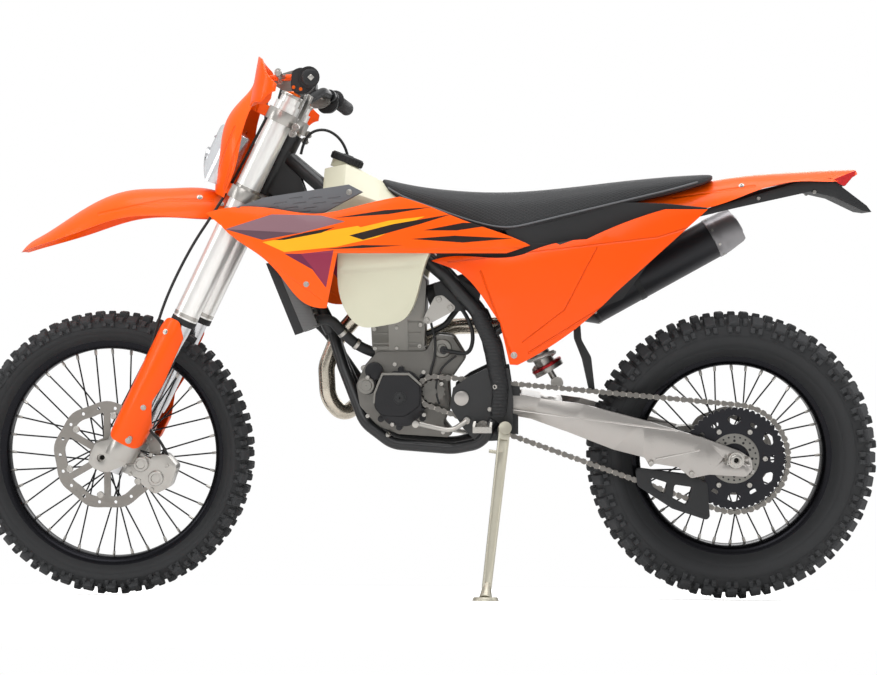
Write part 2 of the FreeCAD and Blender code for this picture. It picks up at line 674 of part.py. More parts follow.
def swingarm_node():
    """Side outline, cut to a plan of two arms that close in towards the pivot, with a bridge."""
    side = plate(rounded(body(SWING_SHARES, -ARM_OUTER), SWING_ROUND), 2 * ARM_OUTER)
    boss = across(PIVOT, PIVOT_BOSS, -ARM_ROOT_OUTER, ARM_ROOT_OUTER)
    low = V(0, 0, PIVOT.z - SADDLE / 2)
    start = PIVOT.x - PIVOT_BOSS
    narrow, wide, end = [HALF_BASE * share for share, part in SWING_PLAN_SHARES]
    front = HALF_BASE * BRIDGE_FRONT_SHARE
    rear = HALF_BASE * BRIDGE_REAR_SHARE
    plan = [(start, -ARM_ROOT_OUTER), (narrow, -ARM_ROOT_OUTER), (wide, -ARM_OUTER), (end, -ARM_OUTER),
            (end, -ARM_INNER), (wide, -ARM_INNER), (rear, -ARM_ROOT_INNER), (rear, ARM_ROOT_INNER),
            (wide, ARM_INNER), (end, ARM_INNER), (end, ARM_OUTER), (wide, ARM_OUTER),
            (narrow, ARM_ROOT_OUTER), (start, ARM_ROOT_OUTER), (start, ARM_ROOT_INNER),
            (front, ARM_ROOT_INNER), (front, -ARM_ROOT_INNER), (start, -ARM_ROOT_INNER)]
    column = Part.Face(polygon([V(along, across_, low.z) for along, across_ in plan])).extrude(V(0, 0,
                                                                                                 SADDLE))
    arm = side.fuse(boss).common(column)
    track = [REAR_AXLE + V(along, 0, up) for along, up in ((-TRACK_LENGTH, -TRACK_HALF), (TRACK_LENGTH,
                                                                                          -TRACK_HALF),
                                                           (TRACK_LENGTH, TRACK_HALF),
                                                           (-TRACK_LENGTH, TRACK_HALF))]
    for left in (-ARM_OUTER - OVERRUN, ARM_OUTER - TRACK_DEPTH):
        outline = rounded([V(spot.x, left, spot.z) for spot in track], TRACK_HALF)
        arm = arm.cut(plate(outline, OVERRUN + TRACK_DEPTH))
    arm = arm.cut(across(REAR_AXLE, AXLE_RADIUS, -ARM_OUTER - OVERRUN, ARM_OUTER + OVERRUN))
    bolt = across(PIVOT, PIVOT_RADIUS - RUN_FIT, -PLATE_OUTER, PLATE_OUTER)
    heads = [across(PIVOT, BOLT_HEAD, PLATE_OUTER, PLATE_OUTER + BOLT_THICK),
             across(PIVOT, BOLT_HEAD, -PLATE_OUTER - BOLT_THICK, -PLATE_OUTER)]
    return fused([arm, bolt] + heads)


def shock_line(share):
    low = body([SHOCK_LOW_SHARES], SHOCK_SIDE)[0]
    top = body([SHOCK_TOP_SHARES], SHOCK_SIDE)[0]
    return low + (top - low) * share


def shock_node():
    eye_half = SHOCK_EYE
    low = shock_line(0)
    eye = across(low, SHOCK_EYE, low.y - eye_half, low.y + eye_half)
    body_rod = rod(shock_line(SHOCK_SPLIT_SHARES[0]), shock_line(1), SHOCK_RADIUS)
    shaft = rod(low, shock_line(SHOCK_SPLIT_SHARES[0]), SHOCK_ROD)
    cup = rod(shock_line(SHOCK_SPLIT_SHARES[0]) - (shock_line(1) - low).normalize() * SPRING_WIRE,
              shock_line(SHOCK_SPLIT_SHARES[0]) + (shock_line(1) - low).normalize() * SPRING_WIRE,
              SPRING_RADIUS + SPRING_WIRE)
    collar = rod(shock_line(SHOCK_SPLIT_SHARES[1]),
                 shock_line(SHOCK_SPLIT_SHARES[1]) + (shock_line(1) - low).normalize() * SHOCK_EYE,
                 SPRING_RADIUS + SPRING_WIRE)
    return fused([eye, body_rod, shaft, cup, collar])


def spring_node():
    low = shock_line(SHOCK_SPLIT_SHARES[0])
    top = shock_line(SHOCK_SPLIT_SHARES[1])
    along = (top - low).normalize()
    rise = SPRING_WIRE * math.sin(math.pi / 3)
    start = low + along * (SPRING_WIRE + SEAT_GAP + rise)
    height = (top - start).Length - SEAT_GAP - rise
    wide = along.cross(V(0, 1, 0)).normalize()
    tall = along.cross(wide)
    count = round(SPRING_STEPS * height / SPRING_PITCH)
    rings = []
    for number in range(count + 1):
        turn = 2 * math.pi * number / SPRING_STEPS
        out = wide * math.cos(turn) + tall * math.sin(turn)
        centre = start + along * (height * number / count)
        corners = []
        for flat in range(SPRING_FLATS):
            angle = 2 * math.pi * flat / SPRING_FLATS
            corners.append(centre + out * (SPRING_RADIUS + SPRING_WIRE * math.cos(angle))
                           + along * (SPRING_WIRE * math.sin(angle)))
        rings.append(corners)
    faces = [Part.Face(polygon(rings[0])), Part.Face(polygon(rings[-1]))]
    for this, following in zip(rings, rings[1:]):
        for place in range(SPRING_FLATS):
            corner = (place + 1) % SPRING_FLATS
            faces.append(Part.Face(polygon([this[place], this[corner], following[corner]])))
            faces.append(Part.Face(polygon([this[place], following[corner], following[place]])))
    shell = Part.makeShell(faces)
    shell.sewShape()
    coil = Part.makeSolid(shell)
    if coil.Volume < 0:
        coil.reverse()
    return coil


# Engine: crankcase, cylinder with head, covers, hangers and the intake.
CASE_HALF = 72.0
CYLINDER_HALF = 58.0
HEAD_HALF = 74.0
CRANKCASE_SHARES = ((-0.172, 0.573), (-0.196, 0.532), (-0.185, 0.481), (-0.128, 0.432), (-0.060, 0.412),
                    (0.118, 0.404),
                    (0.078, 0.440), (0.100, 0.475), (0.095, 0.540), (0.150, 0.600), (0.110, 0.650),
                    (0.054, 0.654),
                    (0.027, 0.613), (-0.128, 0.613))
CYLINDER_SHARES = ((-0.146, 0.613), (-0.152, 0.700), (0.022, 0.690), (0.020, 0.613))
HEAD_SHARES = ((-0.152, 0.700), (-0.165, 0.777), (-0.140, 0.815), (-0.030, 0.822), (0.027, 0.787),
               (0.022, 0.690))
COVER_DEPTH = 34.0
COVER_STEP_SHARE = 0.55
COVER_STEP = 9.0
IGNITION_SHARES = ((-0.124, 0.515), (-0.088, 0.566), (-0.018, 0.566), (0.026, 0.532), (0.026, 0.470),
                   (-0.024, 0.432),
                   (-0.092, 0.436), (-0.126, 0.470))
IGNITION_EAR_SHARES = ((-0.116, 0.540), (-0.052, 0.570), (0.016, 0.552), (0.016, 0.452), (-0.058, 0.430),
                       (-0.116, 0.450))
IGNITION_ROUND = 26.0
STARTER_SHARES = ((-0.157, 0.531), (-0.138, 0.566))
STARTER_RADIUS = 21.0
CLUTCH_SHARES = ((0.0, 0.49), (-0.125, 0.48))
CLUTCH_RADIUS = 66.0
CLUTCH_EARS = 8
PUMP_RADIUS = 26.0
EAR_RADIUS = 7.5
CASE_ROUND = 16.0
JOINT_HALF = 5.0
JOINT_PROUD = 4.0
CYLINDER_ROUND = 14.0
CAM_HALF = 62.0
CAM_COVER_SHARES = ((-0.150, 0.800), (-0.138, 0.833), (-0.060, 0.838), (-0.018, 0.828), (-0.006, 0.790))
FLANGE_SHARES = (((-0.148, 0.611), (-0.148, 0.621), (0.020, 0.621), (0.020, 0.611)),
                 ((-0.152, 0.692), (-0.152, 0.704), (0.022, 0.702), (0.022, 0.690)))
FLANGE_PROUD = 4.0
TUNNEL_SHARES = ((-0.092, 0.600), (-0.096, 0.800), (-0.036, 0.804), (-0.030, 0.600))
TUNNEL_OUTER = 66.0
OUTLET_SHARES = ((-0.130, 0.728), (-0.168, 0.708))
OUTLET_SIDE = 24.0
OUTLET_RADIUS = 27.0
INTAKE_RADIUS = 26.0
INTAKE_SIDE = -26.0
INTAKE_SHARES = ((0.028, 0.745), (0.15, 0.775), (0.345, 0.800))
HANGER_SHARES = ((-0.060, 0.790), (-0.075, 0.850), (0.020, 0.850), (0.012, 0.795))
HANGER_THICK = 6.0


def crankcase_node():
    """Two case halves with a joint flange, and the drive sprocket on its shaft."""
    outline = rounded(body(CRANKCASE_SHARES, -CASE_HALF), CASE_ROUND)
    case = plate(outline, 2 * CASE_HALF)
    joint = Part.Face(rounded(body(CRANKCASE_SHARES, -JOINT_HALF), CASE_ROUND)).makeOffset2D(JOINT_PROUD)
    flange = joint.extrude(V(0, 2 * JOINT_HALF, 0))
    nose = across(COUNTERSHAFT, PIVOT_RADIUS, CHAIN_SIDE - SPROCKET_THICK, -CASE_HALF)
    drive = sprocket(COUNTERSHAFT, FRONT_TEETH, FRONT_PITCH_RADIUS)
    neck = across(COUNTERSHAFT, PIVOT_BOSS, CHAIN_SIDE + SPROCKET_THICK / 2, -CASE_HALF)
    return fused([case, flange, nose, drive, neck])


def jacket(shares, half, proud=0.0, round_share=1.0):
    """Rounded block across the engine, grown on all sides."""
    face = Part.Face(rounded(body(shares, -half - proud), CYLINDER_ROUND * round_share))
    if proud:
        face = face.makeOffset2D(proud)
    return face.extrude(V(0, 2 * (half + proud), 0))


def cylinder_node():
    """Barrel, head and cam cover with their joint flanges, cam chain tunnel, plug boss and outlet."""
    shapes = [jacket(CYLINDER_SHARES, CYLINDER_HALF), jacket(HEAD_SHARES, HEAD_HALF),
              jacket(CAM_COVER_SHARES, CAM_HALF)]
    for shares in FLANGE_SHARES:
        shapes.append(jacket(shares, CYLINDER_HALF, FLANGE_PROUD))
    tunnel = body(TUNNEL_SHARES, -TUNNEL_OUTER)
    shapes.append(plate(rounded(tunnel, CASE_ROUND), TUNNEL_OUTER - CYLINDER_HALF / 2))
    outlet, bend = body(OUTLET_SHARES, OUTLET_SIDE)
    shapes.append(rod(outlet, bend, OUTLET_RADIUS))
    return fused(shapes)


def bolt_ears(spots, left, depth):
    return [across(V(spot.x, 0, spot.z), EAR_RADIUS, min(left, left + depth),
                   max(left, left + depth)) for spot in spots]


def covers_node():
    """Ignition cover and starter on the left, clutch cover and water pump on the right."""
    outline = rounded(body(IGNITION_SHARES, -CASE_HALF), IGNITION_ROUND)
    ignition = plate(outline, -COVER_DEPTH * COVER_STEP_SHARE)
    face = Part.Face(rounded(body(IGNITION_SHARES, -CASE_HALF), IGNITION_ROUND)).makeOffset2D(-COVER_STEP)
    raised = face.extrude(V(0, -COVER_DEPTH, 0))
    ignition = fused([ignition, raised] + bolt_ears(body(IGNITION_EAR_SHARES), -CASE_HALF,
                                                    -COVER_DEPTH / 2))
    starter_at, gear_at = body(STARTER_SHARES)
    starter = fused([across(starter_at, STARTER_RADIUS, -CASE_HALF - COVER_DEPTH / 2, -CASE_HALF),
                     across(gear_at, STARTER_RADIUS, -CASE_HALF - COVER_DEPTH / 2, -CASE_HALF)])
    centre, pump = body(CLUTCH_SHARES)
    ears = []
    for number in range(CLUTCH_EARS):
        turn = 2 * math.pi * number / CLUTCH_EARS
        ears.append(centre + V(CLUTCH_RADIUS * math.sin(turn), 0, CLUTCH_RADIUS * math.cos(turn)))
    shapes = [across(centre, CLUTCH_RADIUS, CASE_HALF, CASE_HALF + COVER_DEPTH * COVER_STEP_SHARE),
              across(centre, CLUTCH_RADIUS - COVER_STEP, CASE_HALF, CASE_HALF + COVER_DEPTH),
              across(pump, PUMP_RADIUS, CASE_HALF, CASE_HALF + COVER_DEPTH)]
    clutch = fused(shapes + bolt_ears(ears, CASE_HALF, COVER_DEPTH / 2))
    return Part.makeCompound([ignition, seated(starter, ignition), clutch])


# Exhaust on the right.
HEADER_RADIUS = 20.0
HEADER_BEND = 60.0
HEADER_SHARES = ((-0.155, 0.712, 24.0), (-0.215, 0.690, 42.0), (-0.273, 0.640, 52.0), (-0.309, 0.570, 46.0),
                 (-0.303, 0.490, 42.0), (-0.255, 0.445, 64.0), (-0.165, 0.500, 104.0),
                 (-0.060, 0.610, 118.0),
                 (0.110, 0.668, 116.0), (0.330, 0.672, 114.0), (0.508, 0.699, 122.0))
SILENCER_SHARES = ((0.508, 0.699), (0.978, 0.898), (1.034, 0.925))
SILENCER_SIDE = 124.0
SILENCER_NECK = 30.0
SILENCER_RADIUS = 50.0
SILENCER_TAIL = 46.0
SILENCER_BORE = 22.0


def header_node():
    points = [V(HALF_BASE * along, side, SADDLE * up) for along, up, side in HEADER_SHARES]
    return tube(points, HEADER_RADIUS, HEADER_BEND)


def silencer_node():
    start, end, tip = body(SILENCER_SHARES, SILENCER_SIDE)
    early = start + (end - start) * (SILENCER_RADIUS / (end - start).Length)
    neck = rod(start, early, SILENCER_NECK, SILENCER_RADIUS)
    can = rod(early, end, SILENCER_RADIUS)
    cap = rod(end, tip, SILENCER_TAIL, SILENCER_NECK)
    solid = fused([neck, can, cap])
    return solid.cut(rod(end, tip + (tip - end), SILENCER_BORE))


# Tank, seat and plastics.
TANK_SECTIONS_SHARES = ((-0.300, 1.060, 0.93, 40.0, 78.0), (-0.230, 1.071, 0.90, 52.0, 105.0),
                        (-0.120, 1.030, 0.89, 52.0, 120.0), (0.027, 0.946, 0.89, 40.0, 112.0))
LOBE_SHARES = (((-0.242, 0.804), (-0.223, 0.724), (-0.168, 0.677), (-0.094, 0.680), (-0.046, 0.689),
                (0.009, 0.762), (0.043, 0.847)),
               ((0.027, 0.900),), ((-0.238, 0.900),))
LOBE_INNER = 110.0
LOBE_OUTER = 176.0
CAP_RADIUS = 40.0
CAP_HEIGHT = 18.0
CAP_SHARES = (-0.231, 1.071)
SHROUD_THICK = 5.0
SHROUD_SHARES = (((-0.556, 0.960), (-0.435, 0.955), (-0.302, 0.943), (-0.203, 0.956), (-0.047, 0.983)),
                 ((0.039, 0.962), (0.161, 0.925), (0.278, 0.895), (0.357, 0.869)), ((0.283, 0.850),),
                 ((-0.238, 0.850),),
                 ((-0.273, 0.721),), ((-0.357, 0.741), (-0.418, 0.798), (-0.482, 0.845), (-0.536, 0.872),
                                      (-0.604, 0.915)),
                 ((-0.653, 0.945),))
SHROUD_ALONG_SHARES = (-0.70, -0.47, -0.27, 0.0, 0.20, 0.40)
SHROUD_SIDES = ((0.66, (146.0, 170.0, 184.0, 172.0, 138.0, 122.0)),
                (0.88, (164.0, 190.0, 202.0, 186.0, 142.0, 123.0)),
                (1.04, (156.0, 172.0, 180.0, 160.0, 128.0, 112.0)))
PANEL_SHARES = (((0.099, 0.842), (0.283, 0.840), (0.357, 0.855)), ((0.419, 0.871), (0.531, 0.883)),
                ((0.634, 0.918), (0.775, 0.954)), ((0.908, 0.954),), ((0.617, 0.754),),
                ((0.539, 0.697), (0.442, 0.640), (0.318, 0.584)), ((0.293, 0.585),), ((0.262, 0.685),),
                ((0.223, 0.729), (0.173, 0.780), (0.124, 0.811)), ((0.047, 0.832),))
PANEL_ALONG_SHARES = (0.0, 0.20, 0.42, 0.65, 0.95)
PANEL_SIDES = ((0.55, (126.0, 128.0, 132.0, 140.0, 140.0)), (0.78, (128.0, 132.0, 146.0, 154.0, 140.0)),
               (0.98, (122.0, 122.0, 126.0, 132.0, 118.0)))
PANEL_BOSS_SHARES = ((0.36, 0.7215), (0.50, 0.800))
PANEL_BOSS = 8.0
SEAT_STATIONS_SHARES = ((-0.118, 1.033, 1.020, 52.0), (-0.06, 1.022, 0.985, 72.0),
                        (0.060, 1.008, 0.952, 94.0),
                        (0.20, 1.001, 0.915, 108.0), (0.282, 1.000, 0.902, 112.0),
                        (0.45, 1.009, 0.933, 116.0),
                        (0.643, 1.025, 0.968, 112.0), (0.80, 1.036, 0.996, 98.0),
                        (0.940, 1.041, 1.030, 74.0))
SEAT_FOAM = SADDLE * 0.053
SEAT_SIDE_SHARE = 0.86
SEAT_CORE_SHARE = 0.6
SEAT_CROWN = PANEL * 3
TANK_SHOULDER_SHARE = 0.6
CAP_TILT = V(-1, 0, 3)


def tank_node():
    """Body over the spars, lofted through four sections, with a lobe down each side."""
    wires = []
    for along, top, low, crown, half in TANK_SECTIONS_SHARES:
        shoulder = SADDLE * (low + (top - low) * TANK_SHOULDER_SHARE)
        points = [(half, SADDLE * low), (half, shoulder), (crown, SADDLE * top - PANEL), (0, SADDLE * top)]
        ring_points = [V(HALF_BASE * along, side, up) for side, up in points]
        ring_points += [V(HALF_BASE * along, -side, up) for side, up in reversed(points[:3])]
        wires.append(polygon(ring_points))
    middle = Part.makeLoft(wires, True, True)
    lobe = plate(curved([body(run, -LOBE_OUTER) for run in LOBE_SHARES]), LOBE_OUTER - LOBE_INNER)
    return fused([middle, lobe, mirrored(lobe)])


def cap_node():
    seat = body([CAP_SHARES])[0]
    up = V(CAP_TILT).normalize()
    return rod(seat, seat + up * CAP_HEIGHT, CAP_RADIUS, CAP_RADIUS - PANEL)


def skin_levels(along_shares, sides):
    levels = []
    for height, line in sides:
        levels.append((SADDLE * height, [(HALF_BASE * along, side) for along, side in zip(along_shares,
                                                                                          line)]))
    return levels


def side_skin(outline_runs, along_shares, sides, thick):
    """Left panel: a curved sheet trimmed to its outline in side view."""
    reach = 2 * FORK_SPREAD
    trim = plate(curved([body(run, -reach) for run in outline_runs]), reach)
    return slab(skin_levels(along_shares, sides), thick).common(trim)


def panel_node():
    """Left side panel with the bosses that carry it on the subframe's strut."""
    skin = side_skin(PANEL_SHARES, PANEL_ALONG_SHARES, PANEL_SIDES, PANEL)
    deep = slab(skin_levels(PANEL_ALONG_SHARES, PANEL_SIDES), FORK_SPREAD / 2)
    bosses = [across(spot, PANEL_BOSS, -FORK_SPREAD,
                     -STRUT_SIDE).common(deep) for spot in body(PANEL_BOSS_SHARES)]
    return fused([skin] + bosses)


def seat_node():
    """Inverted channel of foam: crowned top, skirts down both sides."""
    wires = []
    for along, top, low, half in SEAT_STATIONS_SHARES:
        x = HALF_BASE * along
        high = SADDLE * top
        edge = min(SADDLE * low, high - PANEL)
        under = max(high - SEAT_FOAM, edge + SEAT_GAP)
        side, core, brow = half * SEAT_SIDE_SHARE, half * SEAT_CORE_SHARE, high - SEAT_CROWN
        outer = [V(x, -half, edge), V(x, -side, brow), V(x, 0, high), V(x, side, brow), V(x, half, edge)]
        inner = [V(x, side, edge), V(x, core, under), V(x, -core, under), V(x, -side, edge)]
        wires.append(curved([outer[1:], inner[:1], inner[1:2], inner[2:3], inner[3:], outer[:1]]))
    return Part.makeLoft(wires, True, False)


REAR_FENDER_SHARES = ((0.640, 0.985, 0.958, 104.0), (0.79, 1.003, 0.957, 96.0), (0.93, 1.026, 0.962, 88.0),
                      (1.06, 1.040, 0.998, 84.0), (1.238, 1.049, 1.022, 76.0), (1.385, 1.053, 1.040, 52.0))
FENDER_SEAT_SHARES = (-0.52837, 0.96440)
FRONT_FENDER_SHARES = ((-1.286, 0.858, 0.853, 34.0), (-1.230, 0.893, 0.868, 62.0),
                       (-1.092, 0.959, 0.900, 82.0),
                       (-0.94, 1.006, 0.936, 92.0), (-0.815, 1.011, 0.941, 90.0),
                       (-0.685, 1.010, 0.936, 80.0),
                       (-0.625, 0.9955, 0.938, 62.0), (-0.577, 0.9783, 0.936, 52.0))
TAIL_LIGHT_SHARES = ((1.372, 1.046), (1.366, 1.030), (1.339, 1.009), (1.305, 1.030))
TAIL_LIGHT_HALF = 32.0
HOLDER_SHARES = ((0.90, 0.955), (1.00, 0.975), (1.232, 1.0283), (1.300, 1.0297), (1.413, 0.964),
                 (1.428, 0.949),
                 (1.400, 0.952), (1.310, 0.985), (1.236, 0.998), (1.02, 0.962), (0.90, 0.940))
HOLDER_HALF = 62.0
AIRBOX_SHARES = ((0.325, 0.888), (0.637, 0.950), (0.760, 0.950), (0.735, 0.830), (0.650, 0.740),
                 (0.540, 0.705), (0.475, 0.720), (0.352, 0.820))
AIRBOX_HALF = 60.0
FLAP_SHARES = ((0.497, 0.724), (0.500, 0.640), (0.526, 0.590), (0.549, 0.512), (0.564, 0.514),
               (0.551, 0.600),
               (0.520, 0.642), (0.512, 0.724))
FLAP_ROUND = 30.0
FLAP_HALF = 62.0
PAD_SHARES = ((-0.560, 0.958), (-0.466, 0.982), (-0.206, 1.012), (-0.163, 0.995), (-0.271, 0.951),
              (-0.302, 0.940),
              (-0.435, 0.950))
PAD_INNER = 151.0
PAD_OUTER = 178.0
RADIATOR_SHARES = ((-0.443, 0.830), (-0.352, 0.663), (-0.308, 0.680), (-0.399, 0.847))
GUARD_SHARES = ((-0.470, 0.826), (-0.379, 0.655), (-0.352, 0.663), (-0.443, 0.830))
RADIATOR_OUTER = 148.0
SLATS = 7
SLAT_SHARE = 0.62
SLAT_EDGE = 9.0
FIN_DEPTH = 4.0


def slots_along(shares, count, depth, left, right):
    """Slots between the slats of a leaning block, cut from its first face to a depth."""
    low, high = body(shares, left)[1::-1]
    along = high - low
    inward = V(along.z, 0, -along.x).normalize()
    slots = []
    for number in range(count):
        start = low + along * ((number + (1 - SLAT_SHARE)) / (count + 1 - SLAT_SHARE))
        end = start + along * (SLAT_SHARE / (count + 1 - SLAT_SHARE))
        corners = [start - inward * OVERRUN, end - inward * OVERRUN, end + inward * depth,
                   start + inward * depth]
        slots.append(plate(polygon(corners), right - left))
    return slots


def radiator_node():
    block = plate(polygon(body(RADIATOR_SHARES, -RADIATOR_OUTER)), RADIATOR_OUTER - RADIATOR_INNER)
    rear = RADIATOR_SHARES[::-1]
    fins = slots_along(rear, 2 * SLATS, FIN_DEPTH, SLAT_EDGE - RADIATOR_OUTER, -SLAT_EDGE - RADIATOR_INNER)
    return seated(block, *fins)


def radiator_guard_node():
    block = plate(polygon(body(GUARD_SHARES, -RADIATOR_OUTER)), RADIATOR_OUTER - RADIATOR_INNER)
    slots = slots_along(GUARD_SHARES, SLATS, FORK_SPREAD, SLAT_EDGE - RADIATOR_OUTER,
                        -SLAT_EDGE - RADIATOR_INNER)
    return seated(block, *slots)


def scaled_stations(table):
    return [(HALF_BASE * along, SADDLE * top, SADDLE * edge, half) for along, top, edge, half in table]


# Controls on the chassis.
PEG_SHARES = ((0.183, 0.428), (0.235, 0.428))
PEG_RAIL = 5.0
PEG_DEEP = 14.0
PEG_BARS = 3
PEG_TEETH = 9
TOOTH_RISE = 5.0
PEG_REACH = 96.0
SHIFT_SHARES = ((0.158, 0.450), (0.110, 0.425), (0.0, 0.444))
SHIFT_SIDE = -128.0
LEVER_RADIUS = 6.0
TOE_LENGTH = 34.0
TOE_RADIUS = 8.0
BRAKE_SHARES = ((0.200, 0.392), (0.10, 0.405), (-0.03, 0.432))

# Fork, clamps and what they carry.
TUBE_RADIUS = 29.5
SLIDER_RADIUS = 24.0
TUBE_LOW = FORK_SPAN * 0.398
TUBE_TOP = FORK_SPAN * 0.9916
CAP_TOP = TUBE_TOP + 16.0
CLAMP_RADIUS = 37.0
CLAMP_HEIGHT = 30.0
CLAMP_LOW = FORK_SPAN * 0.7242
CLAMP_TOP = FORK_SPAN * 0.9389
STEM_BOSS = 25.0
CLAMP_BACK = 2.0
CLAMP_FRONT = 46.0
LUG_SHARES = ((-0.084, -0.022), (-0.086, 0.026), (-0.058, 0.050), (-0.050, 0.072), (0.004, 0.072),
              (0.004, 0.010),
              (-0.028, -0.026), (-0.060, -0.032))
LUG_ROUND = 12.0
COLLAR_LOW = 16.0
COLLAR_HIGH = 66.0
AXLE_HALF = 118.0
GUARD_RADIUS = 40.0
FORK_GUARD_SHARES = ((-0.059, 0.391), (-0.026, 0.394), (0.000, 0.360), (0.004, 0.230), (-0.002, 0.184),
                     (0.020, 0.124),
                     (0.018, 0.058), (-0.064, 0.058), (-0.072, 0.145), (-0.079, 0.322))
FORK_GUARD_ROUND = 16.0
CALIPER_SHARES = ((0.050, -0.020), (0.050, 0.054), (0.080, 0.074), (0.118, 0.058), (0.124, 0.004),
                  (0.098, -0.030))
BRACKET_SHARES = ((-0.004, -0.016), (0.064, -0.010), (0.064, 0.044), (-0.004, 0.050))
CALIPER_ROUND = 14.0
BRACKET_OUTER = 96.0
BRACKET_INNER = 80.0
CALIPER_OUTER = 96.0
CALIPER_INNER = 46.0
DISC_GAP = 2.0


def fork_leg(low, top, radius, side):
    return rod(fork_at(-CLAMP_OFFSET, low, side), fork_at(-CLAMP_OFFSET, top, side), radius)


def both_legs(low, top, radius):
    half = FORK_SPREAD / 2
    return [fork_leg(low, top, radius, -half), fork_leg(low, top, radius, half)]


def clamp(low):
    """One triple clamp: bosses round both tubes and the stem, webbed along the front."""
    high = low + CLAMP_HEIGHT
    half = FORK_SPREAD / 2
    bosses = both_legs(low, high, CLAMP_RADIUS) + [rod(fork_at(0, low), fork_at(0, high), STEM_BOSS)]
    corners = [fork_at(-CLAMP_FRONT, low, -half), fork_at(-CLAMP_BACK, low, -half),
               fork_at(-CLAMP_BACK, low, half),
               fork_at(-CLAMP_FRONT, low, half)]
    web = Part.Face(polygon(corners)).extrude(FORK_UP * CLAMP_HEIGHT)
    return fused(bosses + [web])


def clamps_node():
    stem = rod(fork_at(0, CLAMP_LOW), fork_at(0, CLAMP_TOP + CLAMP_HEIGHT), STEM_RADIUS)
    solid = fused([clamp(CLAMP_LOW), clamp(CLAMP_TOP), stem])
    return seated(solid, *both_legs(CLAMP_LOW - OVERRUN, CLAMP_TOP + 2 * CLAMP_HEIGHT, TUBE_RADIUS))


def lugs_node():
    half = FORK_SPREAD / 2
    wide = SLIDER_RADIUS + PANEL
    shapes = []
    for side in (-half, half):
        forging = plate(rounded(fork(LUG_SHARES, side - wide), LUG_ROUND), 2 * wide)
        collar = fork_leg(COLLAR_LOW, COLLAR_HIGH, GUARD_RADIUS, side)
        spread = Part.makeBox(SADDLE, 2 * GUARD_RADIUS, SADDLE,
                              V(FRONT_AXLE.x - HALF_BASE / 2, side - (2 * GUARD_RADIUS if side < 0 else 0),
                                0))
        forging = forging.fuse(collar.common(spread)).removeSplitter()
        shapes.append(forging.cut(across(FRONT_AXLE, AXLE_RADIUS, -2 * AXLE_HALF, 2 * AXLE_HALF)))
    return Part.makeCompound(shapes)


def fork_guards_node(sliders):
    half = FORK_SPREAD / 2
    shell = fork_leg(0, TUBE_LOW + OVERRUN, GUARD_RADIUS + PANEL, -half)
    shell = shell.cut(fork_leg(-OVERRUN, TUBE_LOW + 2 * OVERRUN, GUARD_RADIUS, -half))
    outline = rounded(fork(FORK_GUARD_SHARES, -half - 2 * GUARD_RADIUS), FORK_GUARD_ROUND)
    trim = plate(outline, 2 * GUARD_RADIUS + SLIDER_RADIUS / 2)
    return pair(shell.common(trim))


def front_caliper_node():
    block = plate(rounded(fork(CALIPER_SHARES, -CALIPER_OUTER), CALIPER_ROUND),
                  CALIPER_OUTER - CALIPER_INNER)
    bracket = plate(polygon(fork(BRACKET_SHARES, -BRACKET_OUTER)), BRACKET_OUTER - BRACKET_INNER)
    block = block.fuse(bracket)
    slot_left = -FRONT_DISC_SIDE - DISC_THICK / 2 - DISC_GAP
    slot = across(FRONT_AXLE, FRONT_DISC_RADIUS + DISC_GAP, slot_left,
                  slot_left + DISC_THICK + 2 * DISC_GAP)
    return block.cut(slot)


# Bars, levers, guards, mask and lens.
BAR_RADIUS = 11.0
BAR_BEND = 60.0
BAR_HALF = 405.0
BAR_SHARES = ((0.046, 1.063, 1.0), (0.0, 1.068, 0.44), (-0.016, 1.022, 0.22))
GRIP_RADIUS = 17.0
GRIP_START_SHARE = 0.70
RISER_SIDE = 48.0
RISER_HALF = 16.0
LEVER_SHARES = ((0.000, 1.055, 0.53), (-0.045, 1.040, 0.60), (-0.030, 1.040, 0.95))
HAND_PLAN_SHARES = ((0.52, -0.042), (0.66, -0.068), (0.86, -0.062), (1.0, -0.035), (1.04, 0.0))
HAND_FRONT_SHARES = ((0.50, 1.000), (0.54, 0.966), (0.75, 0.942), (1.01, 0.960), (1.05, 1.01),
                     (0.96, 1.052), (0.70, 1.058),
                     (0.53, 1.040))
HAND_ROUND = 16.0
HAND_BASE_SHARE = 0.94
HAND_LEAN = 0.28
STRUT_OUT_SHARE = 0.60
STRUT_ENDS_SHARES = ((-0.078, 1.020), (0.013, 1.066))
STRUT_HALF = 7.0
MASK_SHARES = ((0.713, -0.106, -0.074, 84.0), (0.762, -0.125, -0.074, 108.0), (0.83, -0.148, -0.084, 118.0),
               (0.88, -0.160, -0.100, 104.0), (0.95, -0.150, -0.112, 74.0), (1.003, -0.140, -0.125, 46.0))
LENS_SHARES = (((-0.167, 0.868), (-0.170, 0.80), (-0.160, 0.765), (-0.135, 0.730)), ((-0.100, 0.735),),
               ((-0.100, 0.870),))
LENS_PLAN_SHARES = ((-0.125, -1.0), (-0.158, -0.6), (-0.170, 0.0), (-0.158, 0.6), (-0.125, 1.0))
LENS_HALF = 66.0
STAY_THICK = 8.0
STAY_INSET = 2.0
LOW_STAY = (86.0, CLAMP_LOW)
HIGH_STAY = (38.0, CLAMP_TOP)
MASK_SHOULDER_SHARE = 0.3
MASK_SIDE_SHARE = 0.7
POD_SHARES = ((-0.064, 0.990), (-0.072, 1.036), (-0.040, 1.056), (-0.018, 1.040), (-0.020, 0.998))
POD_HALF = 40.0
POD_ROUND = 8.0


def bar_points(side):
    points = [fork_at(FORK_SPAN * back, FORK_SPAN * up, side * BAR_HALF * out) for back, up,
              out in BAR_SHARES]
    return points


def handlebar_node():
    left = bar_points(-1)
    right = list(reversed(bar_points(1)))
    return tube(left + right, BAR_RADIUS, BAR_BEND)


